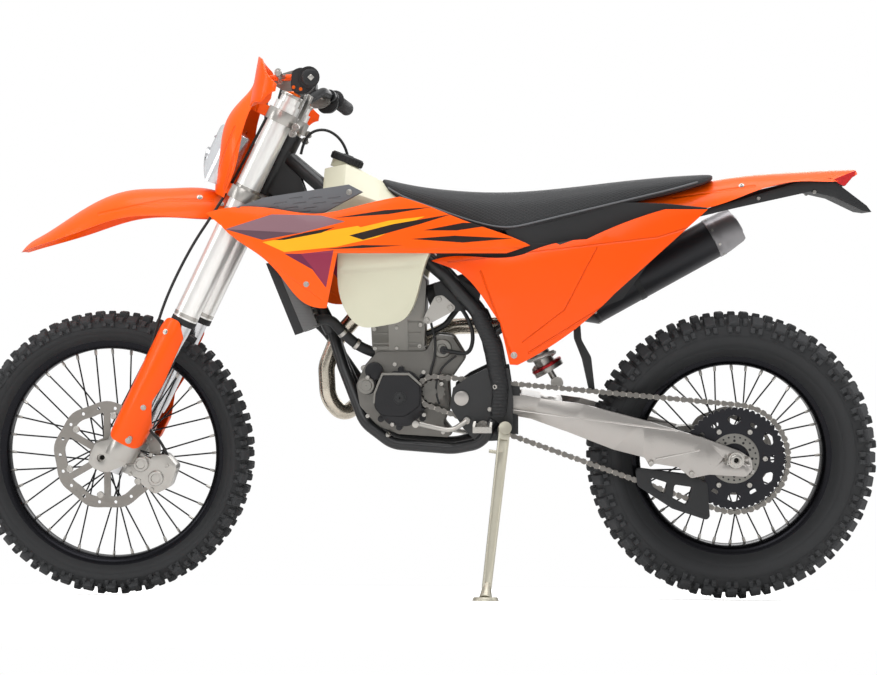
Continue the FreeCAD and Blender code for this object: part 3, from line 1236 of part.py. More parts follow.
def grip(side):
    end, knee = bar_points(side)[:2]
    start = end + (knee - end) * ((1 - GRIP_START_SHARE) / (1 - BAR_SHARES[1][2]))
    return rod(start, end, GRIP_RADIUS)


def risers_node():
    shapes = []
    high = FORK_SPAN * BAR_SHARES[2][1]
    back = FORK_SPAN * BAR_SHARES[2][0]
    for side in (-RISER_SIDE, RISER_SIDE):
        corners = [fork_at(back - RISER_HALF, CLAMP_TOP + CLAMP_HEIGHT, side - RISER_HALF),
                   fork_at(back + RISER_HALF, CLAMP_TOP + CLAMP_HEIGHT, side - RISER_HALF),
                   fork_at(back + RISER_HALF, CLAMP_TOP + CLAMP_HEIGHT, side + RISER_HALF),
                   fork_at(back - RISER_HALF, CLAMP_TOP + CLAMP_HEIGHT, side + RISER_HALF)]
        height = high + RISER_HALF - CLAMP_TOP - CLAMP_HEIGHT
        shapes.append(Part.Face(polygon(corners)).extrude(FORK_UP * height))
    return Part.makeCompound(shapes)


def instrument_node():
    """Small display pod ahead of the bar clamps."""
    return plate(rounded(fork(POD_SHARES, -POD_HALF), POD_ROUND), 2 * POD_HALF)


def levers_node():
    shapes = []
    for side in (-1, 1):
        points = [fork_at(FORK_SPAN * back, FORK_SPAN * up, side * BAR_HALF * out) for back, up,
                  out in LEVER_SHARES]
        shapes.append(tube(points, LEVER_RADIUS, BAR_BEND))
    return Part.makeCompound(shapes)


def hand_guard():
    """Left guard: a sheet bent in plan, trimmed to its outline from the front, with its strut."""
    base = FORK_SPAN * HAND_BASE_SHARE
    outer = [fork_at(FORK_SPAN * back, base, -BAR_HALF * out) for out, back in HAND_PLAN_SHARES]
    inner = [point + FORK_BACK * PANEL for point in reversed(outer)]
    rise = (FORK_UP - FORK_BACK * HAND_LEAN) * (FORK_SPAN * (1 - HAND_BASE_SHARE) * 2)
    sheet = Part.Face(curved([outer[1:], inner[:1], inner[1:], outer[:1]])).extrude(rise)
    trim = [fork_at(-FORK_SPAN, FORK_SPAN * up, -BAR_HALF * out) for out, up in HAND_FRONT_SHARES]
    sheet = sheet.common(Part.Face(rounded(trim, HAND_ROUND)).extrude(FORK_BACK * FORK_SPAN * 2))
    low, high = fork(STRUT_ENDS_SHARES, -BAR_HALF * STRUT_OUT_SHARE)
    return fused([sheet, rod(low, high, STRUT_HALF)])


def mask_section(up, front, rear, half):
    """Outer line of the mask at one height, from side to side round the nose."""
    height = FORK_SPAN * up
    nose = FORK_SPAN * front
    tail = FORK_SPAN * rear
    shoulder = nose + (tail - nose) * MASK_SHOULDER_SHARE
    side = half * MASK_SIDE_SHARE
    return [fork_at(tail, height, -half), fork_at(shoulder, height, -side), fork_at(nose, height, 0),
            fork_at(shoulder, height, side), fork_at(tail, height, half)]


def mask_stays():
    """Four straps from the clamps into the mask, cut to end in its skin."""
    wires = []
    for up, front, rear, half in MASK_SHARES:
        outer = mask_section(up, front, rear, half)
        back = [fork_at(-CLAMP_FRONT, FORK_SPAN * up, half), fork_at(-CLAMP_FRONT, FORK_SPAN * up, -half)]
        wires.append(curved([outer[1:], back[:1], back[1:], outer[:1]]))
    block = Part.makeLoft(wires, True, False)
    stays = []
    for side, clamp_foot in (LOW_STAY, HIGH_STAY):
        low = clamp_foot + STAY_INSET
        high = clamp_foot + CLAMP_HEIGHT - STAY_INSET
        corners = [fork_at(-2 * FORK_SPREAD, low, side), fork_at(0, low, side),
                   fork_at(0, low, side + STAY_THICK),
                   fork_at(-2 * FORK_SPREAD, low, side + STAY_THICK)]
        strap = Part.Face(polygon(corners)).extrude(FORK_UP * (high - low)).common(block)
        stays += [strap, mirrored(strap)]
    return stays


def mask_node():
    wires = []
    for up, front, rear, half in MASK_SHARES:
        outer = mask_section(up, front, rear, half)
        inner = [point + FORK_BACK * PANEL for point in reversed(outer)]
        wires.append(curved([outer[1:], inner[:1], inner[1:], outer[:1]]))
    return fused([Part.makeLoft(wires, True, False)] + mask_stays())


def lens_node():
    """Lamp: its side outline, crowned in plan."""
    side = plate(curved([fork(run, -LENS_HALF) for run in LENS_SHARES]), 2 * LENS_HALF)
    front = [fork_at(FORK_SPAN * back, 0, LENS_HALF * out) for back, out in LENS_PLAN_SHARES]
    back = [fork_at(0, 0, LENS_HALF), fork_at(0, 0, -LENS_HALF)]
    plan = Part.Face(curved([front[1:], back[:1], back[1:], front[:1]])).extrude(FORK_UP * FORK_SPAN)
    return side.common(plan)


# Hoses, as points of distance behind the steering axis, share of the fork along it, and side.
HOSE_RADIUS = 3.4
HOSE_NOTCH = 2.0
BRAKE_HOSE = ((-62.0, 0.9526, -58.0), (-64.0, 0.8105, -70.0), (-68.0, 0.7263, -76.0),
              (-74.0, 0.6632, -82.0), (-84.0, 0.5684, -100.0), (-86.0, 0.4421, -101.0),
              (-76.0, 0.3474, -99.0), (-55.0, 0.2632, -110.0), (-44.0, 0.2158, -128.6),
              (-22.0, 0.1737, -138.0), (2.0, 0.1347, -128.0), (20.0, 0.1095, -108.0),
              (52.0, 0.0968, -92.0), (84.0, 0.0653, -84.0))
# The clutch cable starts at the lever, so its side is a share of half the bar.
CLUTCH_CABLE = ((-5.0, 1.0537, -0.5235), (-58.0, 1.0442, -0.3951), (-76.0, 1.0084, -0.2716),
                (-82.0, 0.9874, -0.1432), (-80.0, 0.9600, -0.0395), (-62.0, 0.9074, 0.0148))
# The vent starts at the filler cap and ends behind the steering head.
VENT_CAP = ((-0.231, 1.088, 0.0), (-0.240, 1.123, -6.0))
VENT_HEAD = ((69.4, 0.9819, -18.0), (33.0, 0.9425, -28.0), (45.6, 0.8940, -30.0))


def cord(points, radius, name):
    """Hose whose bends are as wide as its runs allow, with their radii printed."""
    radii = []
    for before, corner, after in zip(points, points[1:], points[2:]):
        half_turn = (corner - before).getAngle(after - corner) / 2
        run = min((corner - before).Length, (after - corner).Length)
        radii.append(round(BEND_SHARE * run / math.tan(half_turn)))
    print(name, "bend radii in mm:", radii)
    return tube(points, radius, math.inf)


def brake_route():
    return [fork_at(back, FORK_SPAN * up, side) for back, up, side in BRAKE_HOSE]


def brake_hose():
    return cord(brake_route(), HOSE_RADIUS, "front brake hose")


def front_hoses_node(*seats):
    clutch = [fork_at(back, FORK_SPAN * up, BAR_HALF * out) for back, up, out in CLUTCH_CABLE]
    return Part.makeCompound([seated(brake_hose(), *seats),
                              seated(cord(clutch, HOSE_RADIUS, "clutch cable"), *seats)])


def vent_hose_node():
    points = [V(HALF_BASE * along, side, SADDLE * up) for along, up, side in VENT_CAP]
    points += [fork_at(back, FORK_SPAN * up, side) for back, up, side in VENT_HEAD]
    return cord(points, HOSE_RADIUS, "tank vent hose")


# Calipers, axles and small fittings.
REAR_CALIPER = ((-140.0, 8.0), (-126.0, 62.0), (-84.0, 66.0), (-58.0, 44.0), (-62.0, 10.0), (-98.0, -14.0))
CALIPER_HALF = 22.0
CALIPER_RADIUS = 36.0
AXLE_END = 130.0
FRONT_AXLE_END = 120.0
SPACER_RADIUS = 15.0
NUT_RADIUS = 20.0
BAR_HEIGHT = (fork_at(FORK_SPAN * BAR_SHARES[0][0], FORK_SPAN * BAR_SHARES[0][1])).z

# Side stand: its leg runs from the pivot beside the frame to a foot flat on the ground.
STAND_SHARES = (0.278, 0.436)
STAND_SIDE = 178.0
STAND_FORWARD = 40.0
STAND_OUT = 122.0
STAND_TOP_HALF = 13.0
STAND_LOW_HALF = 10.0
STAND_THICK = 8.0
STAND_WEB = 3.0
STAND_FLANGE = 4.0
STAND_FOOT_RADIUS = 30.0
STAND_FOOT_THICK = 8.0
STAND_FOOT_SHIFT = 12.0
STAND_BOSS = 15.0
FOLDED_SHARES = (0.650, 0.749)


def leaned_point(point):
    """Where a point of the upright bike lies once the bike leans."""
    return V(point.x, point.y * LEAN_COS - point.z * LEAN_SIN, point.y * LEAN_SIN + point.z * LEAN_COS)


def upright_point(point):
    return V(point.x, point.y * LEAN_COS + point.z * LEAN_SIN, point.z * LEAN_COS - point.y * LEAN_SIN)


def stand_geometry():
    """Pivot, foot and hinge axis of the stand on the upright bike, and the angle it folds by."""
    pivot = body([STAND_SHARES], -STAND_SIDE)[0]
    ground = leaned_point(pivot)
    foot = upright_point(V(ground.x - STAND_FORWARD, ground.y - STAND_OUT, STAND_FOOT_THICK))
    down = (foot - pivot).normalize()
    folded = (body([FOLDED_SHARES], -STAND_SIDE)[0] - pivot).normalize()
    side = V(0, 1, 0)
    axis = (down - folded).cross(side)
    axis = side - (down - folded) * (side.dot(down - folded) / (down - folded).Length ** 2)
    axis.normalize()
    flat_down = down - axis * down.dot(axis)
    flat_folded = folded - axis * folded.dot(axis)
    turn = math.degrees(math.atan2(axis.dot(flat_down.cross(flat_folded)), flat_down.dot(flat_folded)))
    return pivot, foot, axis, turn


def stand_node():
    """Forged leg of I section that tapers to a flared foot, with a round boss at its pivot."""
    pivot, foot, axis, turn = stand_geometry()
    up = upright_point(V(0, 0, 1))
    along = (foot - pivot).normalize()
    wide = axis.cross(along).normalize()
    thick = along.cross(wide)
    wires = []
    for spot, half in ((pivot, STAND_TOP_HALF), (foot, STAND_LOW_HALF)):
        corners = [(-half, -STAND_THICK), (half, -STAND_THICK), (half, STAND_THICK), (-half, STAND_THICK)]
        wires.append(polygon([spot + wide * a + thick * b for a, b in corners]))
    leg = Part.makeLoft(wires, True, True)
    start = pivot + along * (2 * STAND_BOSS)
    end = foot - along * (2 * STAND_BOSS)
    for side in (-1, 1):
        wires = []
        for spot, half in ((start, STAND_TOP_HALF - STAND_FLANGE), (end, STAND_LOW_HALF - STAND_FLANGE)):
            corners = [(-half, STAND_WEB), (half, STAND_WEB), (half, 2 * STAND_THICK),
                       (-half, 2 * STAND_THICK)]
            wires.append(polygon([spot + wide * a + thick * (side * b) for a, b in corners]))
        leg = leg.cut(Part.makeLoft(wires, True, True))
    middle = foot - up.cross(V(1, 0, 0)) * STAND_FOOT_SHIFT
    pad = rod(middle - up * STAND_FOOT_THICK, middle, STAND_FOOT_RADIUS, STAND_FOOT_RADIUS - STAND_FLANGE)
    flare = rod(foot - along * (2 * STAND_BOSS), middle - up * (STAND_FOOT_THICK / 2), STAND_THICK,
                STAND_BOSS)
    boss = rod(pivot - axis * STAND_BOSS, pivot + axis * STAND_BOSS, STAND_BOSS)
    hook = rod(pivot + along * (4 * STAND_BOSS), pivot + along * (4 * STAND_BOSS) + wide * (2 * STAND_BOSS),
               STAND_THICK / 2)
    return fused([leg, pad, boss, flare, hook])


def stand_bracket():
    pivot, foot, axis, turn = stand_geometry()
    inner = pivot + axis * (STAND_BOSS + SEAT_GAP)
    reach = (STAND_SIDE - PLATE_OUTER) - STAND_BOSS
    arm = rod(inner, inner + axis * reach, STAND_BOSS)
    return arm


def rear_caliper():
    """Block over the right-hand disc in front of the axle, slotted for the disc."""
    left = REAR_DISC_SIDE - CALIPER_HALF
    corners = [V(REAR_AXLE.x + along, left, REAR_AXLE.z + up) for along, up in REAR_CALIPER]
    block = plate(rounded(corners, CALIPER_RADIUS / 3), ARM_INNER - left)
    slot_left = REAR_DISC_SIDE - DISC_THICK / 2 - DISC_GAP
    slot = across(REAR_AXLE, REAR_DISC_RADIUS + DISC_GAP, slot_left, slot_left + DISC_THICK + 2 * DISC_GAP)
    return block.cut(slot)


def rear_axle_node():
    """Hollow axle with its nuts and the spacers beside the hub."""
    shaft = across(REAR_AXLE, AXLE_RADIUS, -AXLE_END, AXLE_END)
    spacers = [across(REAR_AXLE, SPACER_RADIUS, REAR_DISC_SIDE + DISC_THICK / 2 + SEAT_GAP, ARM_INNER),
               across(REAR_AXLE, SPACER_RADIUS, -ARM_INNER, -REAR_HUB_HALF - SEAT_GAP)]
    blocks = []
    for left, right in ((ARM_OUTER - TRACK_DEPTH, ARM_OUTER), (-ARM_OUTER, TRACK_DEPTH - ARM_OUTER)):
        blocks.append(plate(polygon([REAR_AXLE + V(along, left, up) for along, up in
                                     ((-NUT_RADIUS, SEAT_GAP - TRACK_HALF),
                                      (NUT_RADIUS, SEAT_GAP - TRACK_HALF),
                                      (NUT_RADIUS, TRACK_HALF - SEAT_GAP),
                                      (-NUT_RADIUS, TRACK_HALF - SEAT_GAP))]),
                            right - left))
    nuts = blocks + [across(REAR_AXLE, NUT_RADIUS - AXLE_RADIUS / 4, ARM_OUTER, AXLE_END - AXLE_RADIUS / 2),
                     across(REAR_AXLE, NUT_RADIUS - AXLE_RADIUS / 4, AXLE_RADIUS / 2 - AXLE_END,
                            -ARM_OUTER)]
    solid = fused([shaft] + spacers + nuts)
    return solid.cut(across(REAR_AXLE, AXLE_BORE, -AXLE_END - OVERRUN, AXLE_END + OVERRUN))


def front_axle_node():
    half = FORK_SPREAD / 2 - SLIDER_RADIUS - PANEL
    shaft = across(FRONT_AXLE, AXLE_RADIUS, -FRONT_AXLE_END, FRONT_AXLE_END)
    spacers = [across(FRONT_AXLE, SPACER_RADIUS, FRONT_HUB_HALF + SEAT_GAP, half),
               across(FRONT_AXLE, SPACER_RADIUS, -half, -FRONT_DISC_SIDE - DISC_THICK / 2 - SEAT_GAP)]
    solid = fused([shaft] + spacers)
    return solid.cut(across(FRONT_AXLE, AXLE_BORE, -FRONT_AXLE_END - OVERRUN, FRONT_AXLE_END + OVERRUN))


def pegs_node():
    """Open, toothed peg on the left and its twin: two rails, cross bars and teeth along the rails."""
    front, rear = body(PEG_SHARES, -PLATE_OUTER)
    rails = []
    for spot in (front, rear):
        rails.append(Part.makeBox(PEG_RAIL, PEG_REACH, PEG_DEEP,
                                  V(spot.x - PEG_RAIL / 2, -PLATE_OUTER - PEG_REACH, spot.z)))
    span = rear.x - front.x
    for number in range(PEG_BARS):
        side = -PLATE_OUTER - PEG_REACH + (PEG_REACH - PEG_RAIL) * number / (PEG_BARS - 1)
        rails.append(Part.makeBox(span, PEG_RAIL, PEG_DEEP, V(front.x, side, front.z)))
    teeth = []
    pitch = PEG_REACH / PEG_TEETH
    for spot in (front, rear):
        line = [V(spot.x - PEG_RAIL / 2, -PLATE_OUTER, spot.z + PEG_DEEP / 2)]
        for number in range(PEG_TEETH):
            side = -PLATE_OUTER - pitch * number
            line.append(V(line[0].x, side, spot.z + PEG_DEEP + TOOTH_RISE))
            line.append(V(line[0].x, side - pitch / 2, spot.z + PEG_DEEP - PEG_RAIL / 2))
        line.append(V(line[0].x, -PLATE_OUTER - PEG_REACH, spot.z + PEG_DEEP / 2))
        teeth.append(Part.Face(polygon(line)).extrude(V(PEG_RAIL, 0, 0)))
    arm = rod(front + V(span / 2, PEG_RAIL, PEG_DEEP / 2), front + V(span / 2, -PEG_RAIL, PEG_DEEP / 2),
              PEG_DEEP)
    return pair(fused(rails + teeth + [arm]))


def foot_controls_node():
    """Shift lever on the left and brake pedal on the right."""
    shift = body(SHIFT_SHARES, SHIFT_SIDE)
    lever = tube(shift, LEVER_RADIUS, FRAME_BEND)
    toe = rod(shift[-1], shift[-1] - V(0, TOE_LENGTH, 0), TOE_RADIUS)
    shaft = rod(shift[0], V(shift[0].x, -PLATE_OUTER, shift[0].z), TOE_RADIUS)
    brake = body(BRAKE_SHARES, -SHIFT_SIDE)
    pedal = tube(brake, LEVER_RADIUS, FRAME_BEND)
    tread = rod(brake[-1], brake[-1] + V(0, TOE_LENGTH, 0), TOE_RADIUS)
    hinge = rod(brake[0], V(brake[0].x, PLATE_OUTER, brake[0].z), TOE_RADIUS)
    return Part.makeCompound([fused([lever, toe, shaft]), fused([pedal, tread, hinge])])


def hangers_node():
    plates = []
    for side in (HEAD_HALF, -HEAD_HALF - HANGER_THICK):
        plates.append(plate(polygon(body(HANGER_SHARES, side)), HANGER_THICK))
    return Part.makeCompound(plates)


def intake_node():
    points = body(INTAKE_SHARES, INTAKE_SIDE)
    return tube(points, INTAKE_RADIUS, FRAME_BEND)


def chain_guide_node():
    """Open-ended guide under the lower run, hung from the swingarm's lug."""
    block = plate(rounded(body(GUIDE_SHARES, GUIDE_LEFT), SWING_ROUND), GUIDE_RIGHT - GUIDE_LEFT)
    windows = [plate(rounded(body(shares, GUIDE_LEFT - OVERRUN), SWING_ROUND / 2),
                     FORK_SPREAD) for shares in GUIDE_CUT_SHARES]
    block = seated(block, *windows)
    return block.cut(chain_band(GUIDE_GAP + CHAIN_OUTER, GUIDE_GAP))


def extruded_across(shares, half):
    return plate(polygon(body(shares, -half)), 2 * half)


def build():
    """All pieces on the upright bike, by node name."""
    nodes = {}
    nodes["front_tyre"] = moved(FRONT_TYRE, FRONT_AXLE)
    nodes["rear_tyre"] = moved(REAR_TYRE, REAR_AXLE)
    nodes["front_rim"] = rim(FRONT_AXLE, FRONT_RIM_FLANGE, FRONT_RIM_HALF)
    nodes["rear_rim"] = rim(REAR_AXLE, REAR_RIM_FLANGE, REAR_RIM_HALF)
    front_reach = FRONT_RIM_FLANGE - RIM_DEPTH - SEAT_GAP
    rear_reach = REAR_RIM_FLANGE - RIM_DEPTH - SEAT_GAP
    nodes["front_disc"] = disc(FRONT_AXLE, FRONT_DISC_RADIUS, -FRONT_DISC_SIDE)
    nodes["rear_disc"] = disc(REAR_AXLE, REAR_DISC_RADIUS, REAR_DISC_SIDE)
    front_face = DISC_THICK / 2 - FRONT_DISC_SIDE
    rear_face = REAR_DISC_SIDE - DISC_THICK / 2
    nodes["front_spokes"] = laced_hub(FRONT_AXLE, front_face, FRONT_HUB_HALF, front_reach, FRONT_RIM_HALF)
    nodes["rear_spokes"] = laced_hub(REAR_AXLE, -REAR_HUB_HALF, rear_face, rear_reach, REAR_RIM_HALF)
    nodes["rear_sprocket"] = rear_sprocket_node()

    frame = frame_node()
    frame = fused([frame, seated(stand_bracket(), frame)])
    crankcase = seated(crankcase_node(), frame)
    cylinder = seated(cylinder_node(), frame, crankcase)
    covers = seated(covers_node(), frame, crankcase, chain_band(CHAIN_CLEAR, GUIDE_GAP))
    swingarm = seated(swingarm_node(), crankcase)
    shock = seated(shock_node(), frame, swingarm, crankcase)
    intake = seated(intake_node(), cylinder, shock, frame)
    shroud = side_skin(SHROUD_SHARES, SHROUD_ALONG_SHARES, SHROUD_SIDES, SHROUD_THICK)
    tank = seated(tank_node(), frame, cylinder, shock, pair(shroud))
    cap = seated(cap_node(), tank)
    header = seated(header_node(), cylinder, crankcase, covers, frame)
    silencer = seated(silencer_node(), header)
    seat = seated(seat_node(), tank)
    subframe = seated(subframe_node(), frame, tank, seat, shock, header)
    airbox = seated(extruded_across(AIRBOX_SHARES, AIRBOX_HALF), subframe, shock, intake, seat)
    rear_fender = seated(arches(scaled_stations(REAR_FENDER_SHARES), PANEL), seat, subframe, airbox)
    nodes["frame"] = frame
    nodes["crankcase"] = crankcase
    nodes["cylinder"] = cylinder
    nodes["engine_covers"] = covers
    nodes["engine_hangers"] = seated(hangers_node(), frame, tank)
    nodes["swingarm"] = swingarm
    nodes["rear_shock"] = shock
    nodes["shock_spring"] = spring_node()
    nodes["intake"] = intake
    nodes["fuel_tank"] = tank
    nodes["fuel_cap"] = cap
    nodes["header_pipe"] = header
    nodes["silencer"] = silencer
    nodes["seat"] = seat
    nodes["subframe"] = subframe
    nodes["airbox"] = airbox
    nodes["rear_fender"] = rear_fender
    panel = panel_node()
    pads = plate(polygon(body(PAD_SHARES, -PAD_OUTER)), PAD_OUTER - PAD_INNER)
    nodes["shrouds"] = pair(shroud)
    nodes["side_panels"] = Part.makeCompound([seated(panel, subframe),
                                              seated(mirrored(panel), subframe, silencer, header)])
    nodes["grip_pads"] = seated(pair(seated(pads, shroud)), seat, tank)
    nodes["radiators"] = seated(pair(radiator_node()), frame)
    nodes["radiator_guards"] = seated(pair(radiator_guard_node()), frame, nodes["radiators"])
    nodes["tail_light"] = seated(extruded_across(TAIL_LIGHT_SHARES, TAIL_LIGHT_HALF), rear_fender)
    nodes["plate_holder"] = seated(extruded_across(HOLDER_SHARES, HOLDER_HALF), rear_fender, subframe,
                                   nodes["tail_light"])
    flap = plate(rounded(body(FLAP_SHARES, -FLAP_HALF), FLAP_ROUND), 2 * FLAP_HALF)
    nodes["mud_flap"] = seated(flap, airbox, swingarm)
    nodes["chain"] = chain_node()
    nodes["chain_guide"] = seated(chain_guide_node(), swingarm)
    nodes["rear_axle"] = rear_axle_node()
    nodes["rear_caliper"] = seated(rear_caliper(), nodes["rear_axle"])
    nodes["footpegs"] = seated(pegs_node(), frame)
    nodes["foot_controls"] = seated(foot_controls_node(), frame, covers, crankcase)
    nodes["frame_guards"] = seated(frame_guards_node(frame), header, crankcase)
    nodes["chain_slider"] = seated(chain_slider_node(swingarm), frame)
    nodes["vent_hose"] = seated(vent_hose_node(), cap, frame)

    clamps = clamps_node()
    tubes = [fused(list(leg)) for leg in zip(both_legs(TUBE_LOW, TUBE_TOP, TUBE_RADIUS),
                                             both_legs(TUBE_TOP, CAP_TOP, SLIDER_RADIUS))]
    tubes = Part.makeCompound(tubes)
    lugs = lugs_node()
    axle = front_axle_node()
    sliders = seated(Part.makeCompound(both_legs(-OVERRUN, TUBE_LOW, SLIDER_RADIUS)), axle)
    lugs = seated(lugs, sliders)
    bar = handlebar_node()
    clamps = fused([clamps, seated(risers_node(), bar, clamps)])
    grips = seated(Part.makeCompound([grip(-1), grip(1)]), bar)
    levers = seated(levers_node(), bar, grips)
    lens = lens_node()
    guard_left = hand_guard()
    nodes["triple_clamps"] = clamps
    nodes["fork_tubes"] = tubes
    nodes["fork_sliders"] = sliders
    nodes["fork_lugs"] = lugs
    nodes["front_axle"] = axle
    slot = tube(brake_route(), HOSE_RADIUS + HOSE_NOTCH, math.inf)
    nodes["fork_guards"] = seated(fork_guards_node(sliders), tubes, slot)
    nodes["handlebar"] = bar
    nodes["grips"] = grips
    nodes["levers"] = levers
    nodes["instrument"] = seated(instrument_node(), clamps, bar)
    nodes["hand_guards"] = seated(pair(guard_left), bar, grips, levers)
    nodes["headlight_lens"] = lens
    fender = arches(scaled_stations(FRONT_FENDER_SHARES), PANEL)
    fender = moved(fender, fork_at(0, CLAMP_LOW) - body([FENDER_SEAT_SHARES])[0])
    fender = seated(fender, clamps, tubes)
    nodes["front_fender"] = fender
    nodes["headlight_mask"] = seated(mask_node(), lens, clamps, tubes, fender)
    nodes["front_caliper"] = seated(front_caliper_node(), lugs, sliders, nodes["fork_guards"])
    nodes["front_hoses"] = front_hoses_node(nodes["front_caliper"], levers)
    nodes["side_stand"] = stand_node()
    return nodes


def lean(shape):
    """Lean the upright bike about the line of its wheels and centre its box over the origin."""
    leaned = shape.copy()
    leaned.rotate(V(0, 0, 0), V(1, 0, 0), LEAN)
    leaned.translate(V(0, BAR_HEIGHT * LEAN_SIN, 0))
    return leaned


def export(nodes):
    os.makedirs("parts", exist_ok=True)
    for name, shape in nodes.items():
        leaned = lean(shape)
        leaned.exportStep("parts/" + name + ".step")


export(build())
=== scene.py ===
# %% [markdown]
# # An enduro motorcycle on its side stand
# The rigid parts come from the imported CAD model, which is the fixed frame of this scene. Blender
# gives each part its finish and adds what is too small or too plentiful for the CAD: tread blocks,
# chain links, spokes, bolts, hoses, seat piping. Everything is in metres in the model's own frame.

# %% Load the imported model
import json
import math

import bpy
import bmesh
from mathutils import Matrix, Quaternion, Vector
from mathutils.bvhtree import BVHTree


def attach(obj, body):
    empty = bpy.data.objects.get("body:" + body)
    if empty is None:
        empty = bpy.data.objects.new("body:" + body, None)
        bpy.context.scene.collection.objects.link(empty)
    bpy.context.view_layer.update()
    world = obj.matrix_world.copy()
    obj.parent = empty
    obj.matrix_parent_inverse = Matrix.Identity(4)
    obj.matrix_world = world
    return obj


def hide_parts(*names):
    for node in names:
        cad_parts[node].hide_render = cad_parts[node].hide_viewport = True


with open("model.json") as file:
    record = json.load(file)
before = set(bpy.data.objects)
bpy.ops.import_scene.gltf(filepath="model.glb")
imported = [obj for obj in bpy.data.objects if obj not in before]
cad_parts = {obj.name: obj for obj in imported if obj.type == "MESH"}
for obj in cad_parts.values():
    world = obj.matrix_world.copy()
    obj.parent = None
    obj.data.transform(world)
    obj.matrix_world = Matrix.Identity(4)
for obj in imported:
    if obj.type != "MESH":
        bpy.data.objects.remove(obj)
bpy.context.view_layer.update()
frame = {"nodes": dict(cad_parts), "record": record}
nodes = frame["nodes"]

# %% [markdown]
# ## The upright bike
# The bike leans on its stand, but it is far easier to think about upright. Both axles are mounts
# in the record, so the lean gives each one's height on the upright bike, and one matrix takes any
# upright point to the leaning frame. Finished pieces get that matrix in their mesh, not on their
# object.

# %% Places on the upright bike
LEAN = math.radians(9.5)
RAKE = math.radians(26.1)
mounts = {mount["name"]: mount["pos_m"] for mount in frame["record"]["mounts"]}
front_spot, rear_spot = mounts["front_axle_bore"], mounts["rear_axle_bore"]
FRONT_AXLE = Vector((front_spot[0], 0, front_spot[2] / math.cos(LEAN)))
REAR_AXLE = Vector((rear_spot[0], 0, rear_spot[2] / math.cos(LEAN)))
SHIFT = front_spot[1] + FRONT_AXLE.z * math.sin(LEAN)
LEANING = Matrix.Translation((0, SHIFT, 0)) @ Matrix.Rotation(LEAN, 4, "X")
HALF_BASE = REAR_AXLE.x
# Seat height and fork length, in metres, and how far the axle leads the steering line, as a share
# of the fork: every place on the body and the fork is told by them.
SADDLE = 0.978
FORK_SPAN = 0.95
AXLE_LEAD = 0.0568
FORK_BACK = Vector((math.cos(RAKE), 0, -math.sin(RAKE)))
FORK_UP = Vector((math.sin(RAKE), 0, math.cos(RAKE)))
STEER_FOOT = FRONT_AXLE + FORK_BACK * (FORK_SPAN * AXLE_LEAD)


def fork_at(back, up, side=0.0):
    """A point in metres behind and up the steering line."""
    return STEER_FOOT + FORK_BACK * back + FORK_UP * up + Vector((0, side, 0))


def body(along, up, side=0.0):
    """A point of the body, in shares of half the wheelbase and of the seat height."""
    return Vector((HALF_BASE * along, side, SADDLE * up))


def placed(name, data):
    """A new object in the scene for some data."""
    made = bpy.data.objects.new(name, data)
    bpy.context.scene.collection.objects.link(made)
    return made


print("axle heights", round(FRONT_AXLE.z, 4), round(REAR_AXLE.z, 4))

# %% [markdown]
# ## Camera
# The photograph was taken square to the left side from about 4.4 m with a lens near 75 mm. The
# camera keeps that place relative to the bike, so it leans with it.

# %% Camera at the photograph's angle
FOCAL_PIXELS, PICTURE_WIDTH, SENSOR_MM = 1823.7, 877, 36
CAMERA_SPOT = (0.2444, -4.3786, 0.8105)
PAN, DIP = 2.594, 2.362
camera = placed("camera", bpy.data.cameras.new("camera"))
bpy.context.scene.camera = camera
camera.data.lens = FOCAL_PIXELS / PICTURE_WIDTH * SENSOR_MM
camera.data.sensor_width = SENSOR_MM
look = Matrix.Rotation(math.radians(PAN), 4, "Z") @ Matrix.Rotation(math.radians(90 - DIP), 4, "X")
camera.matrix_world = LEANING @ Matrix.Translation(CAMERA_SPOT) @ look
camera.data.clip_start, camera.data.clip_end = 0.05, 60
print("lens in mm", round(camera.data.lens, 1))

# %% [markdown]
# ## Hoses and cables
# Each free hose is a NURBS curve on the route of its CAD solid. The front brake hose leaves the
# master cylinder and ends in the caliper, the clutch cable leaves its lever and goes into the
# headstock, and the vent hose leaves the filler cap and ends behind the steering head.

# %% Cords


def cord_curve(name, points, radius, where):
    """One open NURBS spline through the frame's space with the route's points as control points."""
    curve = bpy.data.curves.new(name, "CURVE")
    curve.dimensions = "3D"
    curve.bevel_depth, curve.bevel_resolution, curve.resolution_u = 1.0, 4, 10
    curve.use_fill_caps = True
    spline = curve.splines.new("NURBS")
    spline.points.add(len(points) - 1)
    for spot, point in zip(spline.points, points):
        spot.co = (*(LEANING @ point), 1.0)
        spot.radius = radius
    spline.order_u = 3
    spline.use_endpoint_u = True
    made = placed(name, curve)
    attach(made, where)
    return made


def spline_length(made):
    """Length of the smooth line itself, without its round section."""
    mesh_curve = made.data.copy()
    mesh_curve.bevel_depth = 0
    bare = placed("measure", mesh_curve)
    line = bpy.data.meshes.new_from_object(bare.evaluated_get(bpy.context.evaluated_depsgraph_get()))
    spots = [v.co.copy() for v in line.vertices]
    bpy.data.objects.remove(bare)
    return sum((b - a).length for a, b in zip(spots, spots[1:]))


